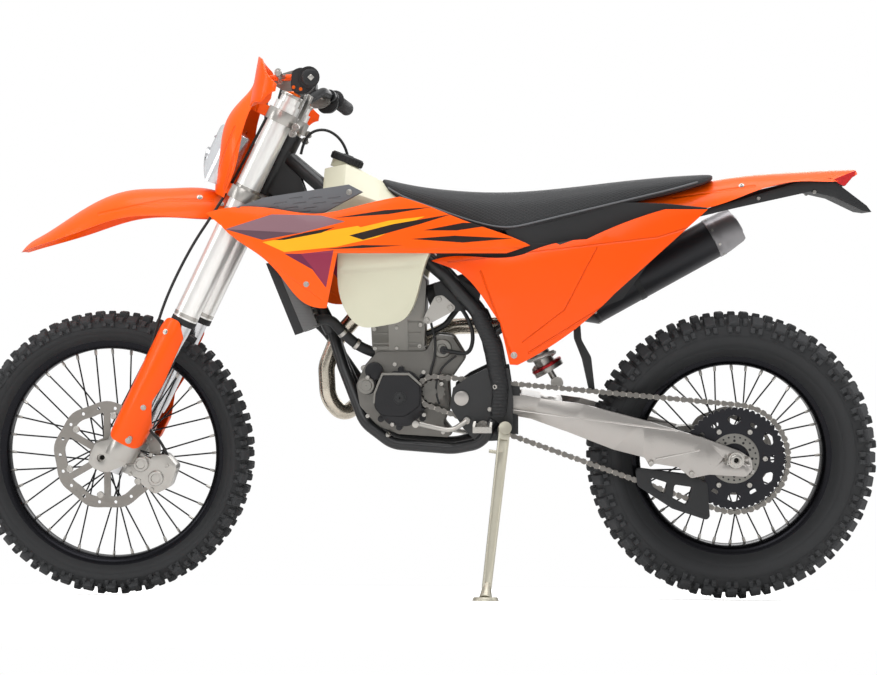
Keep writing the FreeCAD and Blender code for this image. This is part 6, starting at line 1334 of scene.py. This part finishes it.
turned_piece("front_axle_nut", [(-0.127, 0.0075), (-0.127, 0.0115), (-0.1262, 0.0130), (-0.1195, 0.0130),
        (-0.1195, 0.0075)], FRONT_AXLE, steel, "steering", 28)
turned_piece("front_axle_end", [(0.1195, 0.0060), (0.1195, 0.0150), (0.1265, 0.0150), (0.1285, 0.0130),
        (0.1285, 0.0060)], FRONT_AXLE, bright_alloy, "steering", 28)

# %% [markdown]
# ## Front caliper
# A floating caliper straddles the disc's edge. Its CAD body gets two piston caps on the left face,
# four bolts and a rubber-capped bleed nipple.

# %% Caliper details
CALIPER = Vector((-0.6395, 0, 0.3135))
piston = turned_shape("piston_cap",
    [(1.0, -0.3), (1.0, 0.55), (0.90, 0.72), (0.62, 0.72), (0.55, 0.5), (0.25, 0.5)], 26)
copies("caliper_piston_caps", piston,
    [(CALIPER + Vector((dx, -0.0955, dz)), LEFT, (0.0185, 0.0185, 0.011))
        for dx, dz in ((-0.018, 0.018), (0.018, -0.016))], bright_alloy, "steering", "alloy")
copies("caliper_bolts", socket_bolt,
    [(CALIPER + Vector((dx, -0.0955, dz)), LEFT, 0.0048)
        for dx, dz in ((-0.044, -0.006), (0.006, 0.040), (0.044, 0.014), (0.008, -0.043))], steel,
    "steering", "steel")
pipe("caliper_bleed_nipple", [CALIPER + Vector((0.030, -0.080, 0.040)),
        CALIPER + Vector((0.038, -0.080, 0.055))], 0.0034, rubber, "steering", order=2)

# %% [markdown]
# ## Grips and controls
# Grips are ribbed, with a flange at the inner end and a plug at the outer one. Their line is read
# from the CAD parts.

# %% Grips and controls
rib = turned_shape("grip_rib", [(0.0160, -0.0017), (0.0180, -0.0009), (0.0180, 0.0009), (0.0160, 0.0017)],
    18)
flange = turned_shape("grip_flange",
    [(0.0150, -0.0035), (0.0225, -0.0025), (0.0245, 0.0), (0.0240, 0.0020), (0.0170, 0.0030)], 22)
plug = turned_shape("bar_plug", [
        (0.0150, 0.0), (0.0182, 0.0015), (0.0182, 0.0045), (0.0150, 0.0070), (0.0095, 0.0075)], 22)
ring_band = turned_shape("clamp_band",
    [(0.0110, -0.0085), (0.0152, -0.0085), (0.0160, -0.0070), (0.0160, 0.0070), (0.0152, 0.0085),
        (0.0110, 0.0085)], 22)
GRIP_RIBS = 22
ribs_at, flanges_at, plugs_at, squares_at, bands_at = [], [], [], [], []
for sign in (-1, 1):
    outer, inner = near("grips", sign * 0.4075), near("grips", sign * 0.2850)
    way = (outer - inner).normalized()
    reach = (outer - inner).length
    print("grip line", [round(c, 3) for c in inner], [round(c, 3) for c in outer])
    ribs_at += [(inner + way * (0.010 + (reach - 0.020) * n / (GRIP_RIBS - 1)), way, 1)
        for n in range(GRIP_RIBS)]
    flanges_at.append((inner + way * 0.002, way, 1))
    plugs_at.append((outer - way * 0.002, way, 1))
    squares_at.append((outer + way * 0.0045, way, (0.0062, 0.0062, 0.0025)))
    bands_at += [(inner - way * back, way, 1) for back in (0.022, 0.046)]
copies("grip_ribs", rib, ribs_at, grip_rubber, "steering", "rubber")
copies("grip_flanges", flange, flanges_at, grip_rubber, "steering", "rubber")
copies("bar_end_plugs", plug, plugs_at, grip_rubber, "steering", "rubber")
copies("bar_end_squares", turned_shape("square_end", [(1.2, 0.0), (1.2, 0.8), (1.0, 1.0)], 4), squares_at,
    bright_alloy, "steering", "alloy")
copies("lever_perch_bands", ring_band, bands_at, black_bar, "steering", "black_metal")

# %% [markdown]
# ## Perches, switches and levers
# Each lever turns on a cast perch that clamps the bar. A switch block sits beside the left grip and
# a throttle housing and a small brake reservoir beside the right one.

# %% Controls beside the grips
BAR_UP, LEVER_UP = 1.055, 1.040
for sign, label in ((-1, "left"), (1, "right")):
    root = fork_at(0.000, FORK_SPAN * BAR_UP, sign * 0.2147)
    bend = fork_at(-0.045, FORK_SPAN * LEVER_UP, sign * 0.2430)
    tip = fork_at(-0.030, FORK_SPAN * LEVER_UP, sign * 0.3850)
    print(label, "lever root", [round(c, 3) for c in root], "bend", [round(c, 3) for c in bend])
    arm = [(root.x + dx, root.z + dz)
        for dx, dz in ((0.018, 0.010), (0.018, -0.014), (0.000, -0.026), (-0.040, -0.026), (-0.066, -0.010),
            (-0.068, 0.004), (-0.040, 0.014), (-0.012, 0.022))]
    slab("lever_perch_" + label, eased(arm, 0.007), *sorted((sign * 0.2180, sign * 0.2420)), cast_alloy,
        "steering", "alloy", 0.0025, 2)
    copies("lever_pivot_" + label, hex_nut,
        [((root.x - 0.047, sign * 0.2180, root.z - 0.006), -sign * RIGHT, 0.0068),
            ((root.x - 0.047, sign * 0.2420, root.z - 0.006), sign * RIGHT, 0.0068)], steel, "steering",
        "steel")
    blade = []
    for share, high, deep in ((0.00, 0.0095, 0.0070), (0.20, 0.0100, 0.0066), (0.60, 0.0085, 0.0062),
            (0.92, 0.0075, 0.0062), (0.96, 0.0100, 0.0082), (1.00, 0.0080, 0.0070)):
        spot = bend + (tip - bend) * share
        blade.append([(spot.x + deep * math.cos(turn), spot.y, spot.z + high * math.sin(turn))
                      for turn in (math.tau * n / 14 for n in range(14))])
    loft("lever_blade_" + label, blade if sign > 0 else blade[::-1], bright_alloy, "steering")
pod = [(0.030, 0.012), (0.030, -0.020), (0.014, -0.036), (-0.014, -0.036), (-0.024, -0.020), (-0.020, 0.016),
    (0.000, 0.024)]
grip_root = fork_at(0.0, FORK_SPAN * BAR_UP, -0.2147)
pod_outline = eased([(grip_root.x + 0.004 + x, grip_root.z + z) for x, z in pod], 0.009)
for name, left, right in (("switch_block", -0.2790, -0.2480), ("throttle_housing", 0.2480, 0.2790)):
    slab(name, pod_outline, left, right, black_plastic, "steering", "black_plastic", 0.0030, 2)
button = turned_shape("button", [(1.0, -0.3), (1.0, 0.45), (0.85, 0.6), (0.4, 0.6)], 16)
copies("switch_buttons", button, [((grip_root.x + dx, -0.2790, grip_root.z + dz), LEFT, 0.0040)
                                  for dx, dz in ((0.022, -0.016), (0.004, -0.026), (-0.012, -0.022))],
       orange_anodised, "steering", "orange")
tank_outline = [(grip_root.x - 0.012 + x, grip_root.z + z)
    for x, z in ((0.0, 0.034), (0.0, 0.004), (-0.042, 0.004), (-0.042, 0.034))]
slab("brake_reservoir", eased(tank_outline, 0.005), 0.1600, 0.2120, black_plastic, "steering",
    "black_plastic", 0.0025, 2)
copies("reservoir_screws", socket_bolt,
    [((grip_root.x - 0.033, side, grip_root.z + 0.034), (0, 0, 1), 0.0030) for side in (0.170, 0.202)],
    steel, "steering", "steel")

# %% [markdown]
# ## Seat
# The seat is a foam pad under a gripper cover. Its foam is firm, so no cloth is needed: it is
# crowned from rings, one for each station of its CAD shape, told as shares along and up the body
# (along, top, low edge) and half its width. Piping runs along both lower edges.

# %% Seat
SEAT = [(-0.118, 1.033, 1.020, 0.050), (-0.095, 1.030, 1.003, 0.062), (-0.060, 1.023, 0.985, 0.073),
    (0.000, 1.014, 0.966, 0.085), (0.060, 1.008, 0.952, 0.095), (0.130, 1.003, 0.932, 0.103),
    (0.200, 1.000, 0.915, 0.109), (0.282, 0.9995, 0.902, 0.113), (0.360, 1.0025, 0.916, 0.116),
    (0.450, 1.0085, 0.933, 0.118), (0.550, 1.017, 0.951, 0.117), (0.643, 1.0255, 0.968, 0.114),
    (0.720, 1.031, 0.982, 0.108), (0.800, 1.0365, 0.996, 0.100), (0.880, 1.040, 1.014, 0.087),
    (0.940, 1.0415, 1.030, 0.072)]


EDGE_POWER, CROWN_POWER = 0.72, 0.52


def seat_ring(along, top, low, half):
    """Thirteen points over the pad from edge to edge and four under it. Powers under 1 fill it out."""
    ring = []
    for step in range(13):
        turn = math.radians(-90 + 15 * step)
        side = math.copysign(abs(math.sin(turn)) ** EDGE_POWER, math.sin(turn))
        ring.append(body(along, low + (top - low) * max(math.cos(turn), 0) ** CROWN_POWER, half * side))
    ring.append(body(along, low - 0.002, half * 0.97))
    ring.append(body(along, low - 0.006, half * 0.86))
    ring.append(body(along, low - 0.006, -half * 0.86))
    ring.append(body(along, low - 0.002, -half * 0.97))
    return ring


rings = [seat_ring(*station) for station in SEAT]
seat = loft("seat_foam_and_cover", rings, seat_cover, "chassis", subdivide=2, angle=60)
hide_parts("seat")
for sign, label in ((-1, "left"), (1, "right")):
    edge = [body(a, low + 0.006, sign * (half + 0.0012)) for a, top, low, half in SEAT[1:-1]]
    pipe(f"seat_piping_{label}", edge, 0.0022, seat_side, "chassis", 6, 2)

# %% [markdown]
# ## Silencer
# A matte body with a separate tapered end cap, a rolled bead where they meet, a strap, rivets, and
# an open bore.

# %% Silencer


def round_rings(stations, steps=36):
    """Rings of a tube from (centre, direction, radius)."""
    rings = []
    for centre, way, radius in stations:
        way = Vector(way).normalized()
        across = way.cross(Vector((0, 1, 0))).normalized()
        rings.append([Vector(centre) + across * (radius * math.cos(2 * math.pi * n / steps))
                + Vector((0, 1, 0)) * (radius * math.sin(2 * math.pi * n / steps))
                for n in range(steps)])
    return rings


PIPE_SIDE = 0.124
can_start, can_end, can_tail = body(0.508, 0.699, PIPE_SIDE), body(0.978, 0.898, PIPE_SIDE), body(
    1.034, 0.925, PIPE_SIDE)
can_way = (can_end - can_start).normalized()
tail_way = (can_tail - can_end).normalized()
long = (can_end - can_start).length
can = [(can_start + can_way * (long * t), can_way, r)
    for t, r in ((-0.035, 0.0205), (0.015, 0.0210), (0.020, 0.0260), (0.090, 0.0480), (0.10, 0.0502),
        (0.118, 0.0502), (0.122, 0.0490), (0.128, 0.0490), (0.50, 0.0490), (0.90, 0.0490), (0.955, 0.0490))]
made = loft("silencer_body", round_rings(can), matte_black_steel, "chassis")
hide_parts("silencer")
cap = [(can_start + can_way * (long * 0.945), can_way, 0.0496),
    (can_start + can_way * (long * 0.948), can_way, 0.0508),
    (can_start + can_way * (long * 0.985), can_way, 0.0508),
    (can_start + can_way * (long * 0.990), can_way, 0.0498), (can_end + tail_way * 0.004, tail_way, 0.0494),
    (can_tail + tail_way * -0.006, tail_way, 0.0455), (can_tail, tail_way, 0.0425),
    (can_tail + tail_way * -0.004, tail_way, 0.0385), (can_tail + tail_way * -0.012, tail_way, 0.0265),
    (can_tail + tail_way * 0.004, tail_way, 0.0250), (can_tail + tail_way * 0.005, tail_way, 0.0232),
    (can_tail + tail_way * -0.045, tail_way, 0.0220)]
made = loft("silencer_end_cap", round_rings(cap), end_cap_grey, "chassis")
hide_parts("silencer")
rivets = []
for number in range(8):
    turn = 2 * math.pi * (number + 0.5) / 8
    out = can_way.cross(RIGHT).normalized() * math.cos(turn) + RIGHT * math.sin(turn)
    for t, r in ((0.967, 0.0508), (0.109, 0.0502)):
        rivets.append((can_start + can_way * (long * t) + out * r, out, 0.0034))
copies("silencer_rivets", flat_rivet, rivets, steel, "chassis", "steel")
strap = [(can_start + can_way * (long * t), can_way, r) for t, r in
         ((0.398, 0.0492), (0.40, 0.0503), (0.435, 0.0503), (0.437, 0.0492))]
loft("silencer_strap", round_rings(strap), black_plastic, "chassis", caps=False)

# %% [markdown]
# ## Engine
# Bolts follow the covers' flanges. The ignition cover gets a flat face with a bright edge and a
# plug, and the starter motor its round end. Plates are outlines and round caps are turned.

# %% Engine details
case_bolts = [((x, -0.1065, z), LEFT, 0.0050) for x, z in (
    (-0.116, 0.540), (-0.052, 0.571), (0.016, 0.553), (0.017, 0.452), (-0.058, 0.429), (-0.116, 0.449))]
print("engine bolts", len(case_bolts))
copies("ignition_cover_bolts", socket_bolt, case_bolts, bright_alloy, "chassis", "steel")
cover = eased([(-0.101, 0.470), (-0.098, 0.500), (-0.080, 0.546), (-0.020, 0.546), (0.008, 0.520),
        (0.008, 0.474), (-0.028, 0.447), (-0.084, 0.449)], 0.008)
slab("ignition_cover_face", cover, -0.1090, -0.1055, dark_cast, "chassis", "cast", 0.0022, 2)
chamfer = eased([(-0.104, 0.478), (-0.102, 0.504), (-0.083, 0.551), (-0.018, 0.551), (0.012, 0.524),
        (0.008, 0.520), (-0.020, 0.5445), (-0.080, 0.5445), (-0.097, 0.502), (-0.099, 0.478)], 0.002, 2)
slab("ignition_cover_edge", chamfer, -0.1075, -0.1050, cast_alloy, "chassis", "alloy", 0.0006, 1)
turned_piece("ignition_cover_cap",
    [(-0.1135, 0.002), (-0.1135, 0.0105), (-0.1128, 0.0118), (-0.1105, 0.0122), (-0.1105, 0.0150),
        (-0.1095, 0.0160), (-0.1080, 0.0160), (-0.1080, 0.002)], Vector((-0.040, 0, 0.492)), black_plastic,
    "chassis", 32)
turned_piece("starter_cap", [(-0.1005, 0.001), (-0.1005, 0.0120), (-0.0990, 0.0135), (-0.0990, 0.0180),
        (-0.0975, 0.0200), (-0.0900, 0.0200), (-0.0900, 0.001)], Vector((-0.120, 0, 0.520)), cast_alloy,
    "chassis", 36)
bolts_on("crankcase_bolts", ["crankcase", "engine_covers"],
    [(0.079, 0.538, 0.005), (0.057, 0.524, 0.005), (0.090, 0.412, 0.006), (0.060, 0.408, 0.005),
        (-0.100, 0.425, 0.005)], bright_alloy)
bolts_on("cylinder_bolts", ["cylinder"],
    [(-0.104, 0.652, 0.0055), (0.006, 0.662, 0.0055), (-0.102, 0.606, 0.0050), (0.004, 0.612, 0.0050),
        (-0.050, 0.607, 0.0042), (-0.050, 0.655, 0.0042)], bright_alloy)
bolts_on("frame_bolts", ["frame", "crankcase"],
    [(-0.070, 0.402, 0.0070), (-0.134, 0.556, 0.0070), (0.171, 0.466, 0.0055), (0.186, 0.520, 0.0060),
        (-0.052, 0.802, 0.0060)], steel)
turned_piece("starter_motor_end",
    [(-0.0780, 0.001), (-0.0780, 0.0100), (-0.0765, 0.0115), (-0.0765, 0.0205), (-0.0740, 0.0232),
        (-0.0500, 0.0232), (-0.0500, 0.001)], Vector((0.058, 0, 0.607)), cast_alloy, "chassis", 36)
turned_piece("starter_motor_plug",
    [(-0.0820, 0.001), (-0.0820, 0.0085), (-0.0810, 0.0095), (-0.0770, 0.0095), (-0.0770, 0.001)],
    Vector((0.062, 0, 0.603)), black_plastic, "chassis", 28)

# %% [markdown]
# ## Wires, hoses and the head stay
# Both ends of each are held by the engine or a radiator, so these are no free cords. Each is a
# smooth line led by a few points. The left coolant hose gets clamps, and two plates stay the head.

# %% Wires, hoses and the head stay


def side_path(points, side):
    """Points in side view, all at one side distance."""
    return [(x, side, z) for x, z in points]


pipe("starter_lead", side_path([(0.062, 0.603), (0.090, 0.597), (0.122, 0.594), (0.133, 0.630),
            (0.124, 0.672), (0.105, 0.700)], -0.0800), 0.0048, rubber, "chassis", order=3)
pipe("wire_loom", side_path([(0.027, 0.700), (0.031, 0.668), (0.043, 0.626), (0.041, 0.583), (0.031, 0.557),
            (0.027, 0.517), (0.034, 0.486)], -0.0800), 0.0030, rubber, "chassis", order=3)
pipe("sensor_wire", side_path([(0.092, 0.590), (0.066, 0.572), (0.050, 0.548), (0.041, 0.503),
            (0.052, 0.476)], -0.0860), 0.0026, rubber, "chassis", order=3)
pipe("breather_hose", [(0.020, -0.040, 0.640), (0.060, -0.050, 0.655), (0.085, -0.050, 0.690),
        (0.110, -0.040, 0.720)], 0.0065, rubber, "chassis", order=3)
pipe("coolant_hose", [(-0.262, -0.098, 0.664), (-0.236, -0.096, 0.676), (-0.204, -0.090, 0.676),
        (-0.184, -0.084, 0.652), (-0.160, -0.078, 0.628), (-0.132, -0.062, 0.606), (-0.105, -0.050, 0.596)],
    0.0125, rubber, "chassis", order=3)
pipe("coolant_hose_right", [(-0.262, 0.098, 0.664), (-0.232, 0.096, 0.640), (-0.180, 0.092, 0.560),
        (-0.128, 0.086, 0.490)], 0.0115, rubber, "chassis", order=3)
clamp_ring = turned_shape("hose_clamp",
    [(0.0128, -0.0042), (0.0140, -0.0042), (0.0140, 0.0042), (0.0128, 0.0042)], 24)
copies("hose_clamps", clamp_ring,
    [((-0.1450, -0.0725, 0.6170), (0.75, 0.25, -0.55), 1), ((-0.176, -0.082, 0.644), (0.62, 0.2, -0.70), 1),
        ((-0.248, -0.097, 0.671), (0.9, 0.05, 0.35), 1)], steel, "chassis", "steel")
bracket = eased([(0.042, 0.731), (0.060, 0.733), (0.090, 0.706), (0.086, 0.696), (0.026, 0.664),
        (0.013, 0.669), (0.017, 0.684)], 0.006)
slab("head_stay_bracket", bracket, -0.0880, -0.0830, bright_alloy, "chassis", "alloy", 0.0012, 2)
plate = eased([(0.036, 0.762), (0.100, 0.772), (0.150, 0.742), (0.142, 0.700), (0.086, 0.694),
        (0.044, 0.724)], 0.006)
slab("head_stay_plate", plate, -0.0830, -0.0770, black_plastic, "chassis", "frame_black", 0.0012, 2)
copies("head_stay_bolts", socket_bolt,
    [((x, -0.0880, z), LEFT, 0.0068) for x, z in ((0.051, 0.723), (0.078, 0.704), (0.022, 0.674))], steel,
    "chassis", "steel")

# %% [markdown]
# ## Ledges of the cylinder
# The cast barrel has three low ledges on each side. Rays find the wall, and a thin plate sits on it.

# %% Ledges of the cylinder
LEDGE_FRONT, LEDGE_BACK, LEDGE_HALF = -0.108, 0.008, 0.0022
for level in (0.618, 0.642, 0.668):
    for sign, label in ((-1, "left"), (1, "right")):
        ends = [hit(["cylinder"], x, level, sign) for x in (-0.098, 0.000)]
        if all(ends):
            face = max(sign * end[0].y for end in ends)
            low, high = level - LEDGE_HALF, level + LEDGE_HALF
            ledge = [(LEDGE_FRONT, low), (LEDGE_BACK, low), (LEDGE_BACK, high), (LEDGE_FRONT, high)]
            slab("cylinder_ledge_%s_%d" % (label, round(level * 1000)), ledge,
                *sorted((sign * (face - 0.006), sign * (face + 0.0030))), cast_alloy, "chassis", "alloy",
                0.0010, 2)

# %% [markdown]
# ## Tank cap
# The screw cap leans back with the tank's neck. It replaces the plain cap and carries grip ribs,
# and a moulded neck stands under it.

# %% Screw cap and neck
CAP_SPOT, CAP_WAY = Vector((-0.1730, 0, 1.0575)), Vector((0.36, 0, 0.93)).normalized()
cap_shape = turned_shape("cap_shape",
    [(0.0372, -0.0100), (0.0392, -0.0085), (0.0392, 0.0055), (0.0365, 0.0090), (0.0140, 0.0090),
        (0.0115, 0.0110), (0.0060, 0.0110)], 40)
cap_rib = turned_shape("cap_rib", [(0.0014, -0.0080), (0.0018, -0.0065), (0.0018, 0.0040), (0.0014, 0.0055)],
    6)
across = CAP_WAY.cross(RIGHT).normalized()
rim_spots = [CAP_SPOT + (across * math.cos(turn) + RIGHT * math.sin(turn)) * 0.0390
             for turn in (math.tau * n / 24 for n in range(24))]
cap = copies("screw_cap", cap_shape, [(CAP_SPOT, CAP_WAY, 1)], black_plastic, "chassis", "black_plastic")
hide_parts("fuel_cap")
copies("screw_cap_ribs", cap_rib, [(spot, CAP_WAY, 1) for spot in rim_spots], black_plastic, "chassis",
    "black_plastic")
neck = turned_shape("neck_shape",
    [(0.0330, -0.0280), (0.0330, -0.0120), (0.0345, -0.0095), (0.0345, -0.0075), (0.0300, -0.0075)], 36)
copies("tank_neck", neck, [(CAP_SPOT, CAP_WAY, 1)], cream, "chassis", "cream")

# %% [markdown]
# ## Fasteners on the bodywork and the swingarm
# Screws with a broad washer hold the side panels, shrouds, guards and fenders. Plain ones hold the
# swingarm's guide, the plate holder, the foot controls and the engine hangers.

# %% Fasteners
washer_bolt = turned_shape("washer_bolt",
    [(1.5, -0.2), (1.5, 0.12), (1.42, 0.2), (1.0, 0.2), (1.0, 0.62), (0.86, 0.8), (0.52, 0.8), (0.48, 0.4)])
bolts_on("side_panel_bolts", ["side_panels"], [(0.228, 0.594, 0.0052)], steel, source=washer_bolt)
bolts_on("shroud_bolts", ["grip_pads", "shrouds"], [(-0.152, 0.972, 0.0048), (-0.250, 0.760, 0.0045)], steel,
    source=washer_bolt)
bolts_on("rear_fender_bolts", ["rear_fender"], [(0.560, 0.975, 0.0050), (0.760, 0.990, 0.0045)], steel,
    source=washer_bolt)
bolts_on("front_fender_bolts", ["front_fender"], [(-0.520, 0.965, 0.0048), (-0.470, 0.950, 0.0048)], steel,
    "steel", washer_bolt, "steering")
bolts_on("fork_guard_bolts", ["fork_guards"],
    [(-0.676, 0.392, 0.0050), (-0.588, 0.648, 0.0045), (-0.640, 0.470, 0.0045)], steel, "steel", washer_bolt,
    "steering")
bolts_on("swingarm_bolts", ["swingarm", "chain_guide"], [(0.548, 0.342, 0.0062), (0.643, 0.318, 0.0062)],
    steel, signs=(-1,))
bolts_on("plate_holder_bolts", ["plate_holder"], [(0.800, 0.960, 0.0045), (0.930, 0.975, 0.0045)], steel)
bolts_on("foot_control_bolts", ["foot_controls", "crankcase"],
    [(-0.020, 0.440, 0.0060), (0.120, 0.410, 0.0060)], steel)
bolts_on("engine_hanger_bolts", ["engine_hangers", "frame"],
    [(-0.044, 0.820, 0.0060), (-0.020, 0.790, 0.0060), (0.003, 0.805, 0.0060)], steel)

# %% [markdown]
# ## Covers, tail lamp and fender stay
# Dark inner covers close the gap under the seat and behind the side panels, as the air box does on
# such a machine. The lamp's lens is a slab as wide as the fender is there, which rays measure.

# %% Covers, tail lamp and fender stay
under_seat = eased([(0.205, 0.885), (0.24, 0.841), (0.299, 0.841), (0.388, 0.848), (0.476, 0.885),
        (0.582, 0.914), (0.652, 0.921), (0.678, 0.937), (0.579, 0.947), (0.476, 0.951), (0.329, 0.914)],
    0.006)
for side, label in ((-0.1125, "left"), (0.1090, "right")):
    slab("under_seat_cover_" + label, under_seat, side, side + 0.0035, black_plastic, "chassis",
        "black_plastic", 0.0008, 1)
backing = eased([(0.046, 0.848), (0.046, 0.818), (0.120, 0.795), (0.330, 0.808), (0.330, 0.852),
        (0.220, 0.860)], 0.006)
for side, label in ((-0.1165, "left"), (0.1130, "right")):
    slab("panel_backing_" + label, backing, side, side + 0.0035, black_plastic, "chassis", "black_plastic",
        0.0008, 1)
tail_side = [abs(found[0].y) for found in (
        hit(["rear_fender"], x, z, -1) for x, z in ((0.985, 1.004), (0.998, 1.010))) if found]
lens_half = min(max(tail_side + [0.0320]), 0.0800) + 0.0032
print("tail lamp half", round(lens_half, 4))
slab("tail_lamp_lens", eased([(0.974, 1.004), (1.026, 1.0255), (1.022, 1.014), (1.000, 0.988),
            (0.986, 0.994)], 0.003), -lens_half, lens_half, red_lens, "chassis", "red_lens", 0.0020, 2)
fender_stay = eased([(0.697, 0.942), (0.772, 0.974), (0.889, 1.001), (0.913, 1.000), (0.819, 0.972),
        (0.697, 0.925)], 0.004)
slab("fender_stay", fender_stay, -0.0300, 0.0300, black_plastic, "chassis", "black_plastic", 0.0012, 2)

# %% [markdown]
# ## Shock spring
# A coil spring is a bar bent to a helix. Its turns lie a little closer in the middle here. A loop
# sets sixteen points a turn round the shock's axis, a smooth line joins them, and a seat ring holds
# each end.

# %% Shock spring
low_end, high_end = body(0.445, 0.531, 0.034), body(0.222, 0.820, 0.034)
axis = (high_end - low_end).normalized()
across = axis.cross(RIGHT).normalized()
coil = []
turns, steps_a_turn = 8.0, 16
for number in range(int(turns * steps_a_turn) + 1):
    turn = 2 * math.pi * number / steps_a_turn
    share = number / (turns * steps_a_turn)
    eased_share = share + 0.02 * math.sin(2 * math.pi * share)
    coil.append(low_end.lerp(high_end, 0.165 + 0.595 * eased_share) + across * (0.032 * math.cos(turn))
                + RIGHT * (0.032 * math.sin(turn)))
spring = pipe("shock_spring_coil", coil, 0.0054, spring_metal, "chassis", steps=2, sides=4, order=3)
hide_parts("shock_spring")
seat_ring_shape = turned_shape("spring_seat",
    [(0.0200, -0.004), (0.0385, -0.003), (0.0395, 0.0), (0.0385, 0.004), (0.0200, 0.005)], 32)
copies("shock_spring_seats", seat_ring_shape,
    [(low_end.lerp(high_end, 0.148), axis, 1), (low_end.lerp(high_end, 0.778), axis, 1)], red_anodised,
    "chassis", "alloy")

# %% [markdown]
# ## Rear axle and sprocket carrier
# Axle nut and carrier are turned, so a section told as side distance and radius is swept round the
# axle. Rivets, adjusters and caliper pistons repeat, so they are copies.

# %% Rear axle and sprocket carrier
turned_piece("rear_axle_nut", [(-0.1365, 0.0080), (-0.1365, 0.0120), (-0.1352, 0.0140), (-0.1302, 0.0142),
        (-0.1302, 0.0185), (-0.1280, 0.0190), (-0.1280, 0.0080)], REAR_AXLE, steel, "chassis", 30)
turned_piece("sprocket_carrier",
    [(-0.0893, 0.0360), (-0.0893, 0.0560), (-0.0885, 0.0585), (-0.0868, 0.0590), (-0.0868, 0.0360)],
    REAR_AXLE, cast_alloy, "rear_wheel", 72)
copies("sprocket_carrier_rivets", flat_rivet, ring_spots(REAR_AXLE, 0.0510, 24, -0.0893, LEFT, 0.0022)
       + ring_spots(REAR_AXLE, 0.0420, 12, -0.0893, LEFT, 0.0030), dark_cast, "rear_wheel", "steel")
copies("chain_adjusters", hex_nut,
    [((0.7838, side, 0.322), (0.985, 0, -0.17), 0.0058) for side in (-0.109, 0.109)], steel, "chassis",
    "steel")
copies("rear_caliper_caps", piston,
    [((0.628, 0.0985, 0.392), RIGHT, (0.0150, 0.0150, 0.006)),
        ((0.662, 0.0985, 0.372), RIGHT, (0.0110, 0.0110, 0.006))], bright_alloy, "chassis", "alloy")

# %% [markdown]
# ## Headlight and instrument
# Rays from the front find the lens face. A ring with a dome sits on it, with a light strip above
# and one below.

# %% Headlight and instrument
glass = finish("projector_glass", "aab4bc", 0.05, metal=0.2, grain=0.004, bump=0.0, tone=0.02, vary=0.01,
    coat=1.0, ior=1.5)
bezel = turned_shape("lamp_bezel",
    [(0.0300, -0.004), (0.0310, 0.0010), (0.0300, 0.0022), (0.0262, 0.0012), (0.0250, -0.0010)], 36)
dome = turned_shape("lamp_dome",
    [(0.0246, -0.002), (0.0238, 0.0012), (0.0205, 0.0034), (0.0150, 0.0050), (0.0080, 0.0060),
        (0.0020, 0.0062)], 36)
spot, way = ray("headlight_lens", (-0.9, 0.0, 1.058), (1, 0, 0))
print("lens face", [round(c, 3) for c in spot], [round(c, 2) for c in way])
copies("headlight_bezel", bezel, [(spot, way, 1)], chrome, "steering", "chrome")
copies("headlight_dome", dome, [(spot, way, 1)], glass, "steering", "lens")
for z, half in ((1.112, 0.030), (1.010, 0.026)):
    face = [ray("headlight_lens", (-0.9, half * (n / 4 - 1), z), (1, 0, 0)) for n in range(9)]
    line = [place + toward * 0.0008 for place, toward in (f for f in face if f[0])]
    if len(line) > 3:
        pipe("headlight_strip_%d" % round(z * 1000), line, 0.0024, glass, "steering", 4, 3, order=3)
spot, way = ray("instrument", (-0.306, 0.0, 1.4), (0, 0, -1))
print("instrument top", [round(c, 3) for c in spot])
screen = turned_shape("screen", [(1.0, -0.4), (1.0, 0.5), (0.92, 1.0), (0.86, 1.0), (0.84, 0.7)], 4)
turn = Vector((0, 0, 1)).rotation_difference(way) @ Quaternion((0, 0, 1), math.pi / 4)
copies("instrument_screen", screen, [(spot, turn, (0.0300, 0.0400, 0.0015))], glass, "steering", "lens")
copies("instrument_buttons", flat_rivet,
    [(spot + Vector((0.014, side, -0.001)), way, 0.0035) for side in (-0.033, 0.033)], rubber, "steering",
    "rubber")

# %% Remove the sources of the copies
for source in SOURCES:
    bpy.data.objects.remove(source)
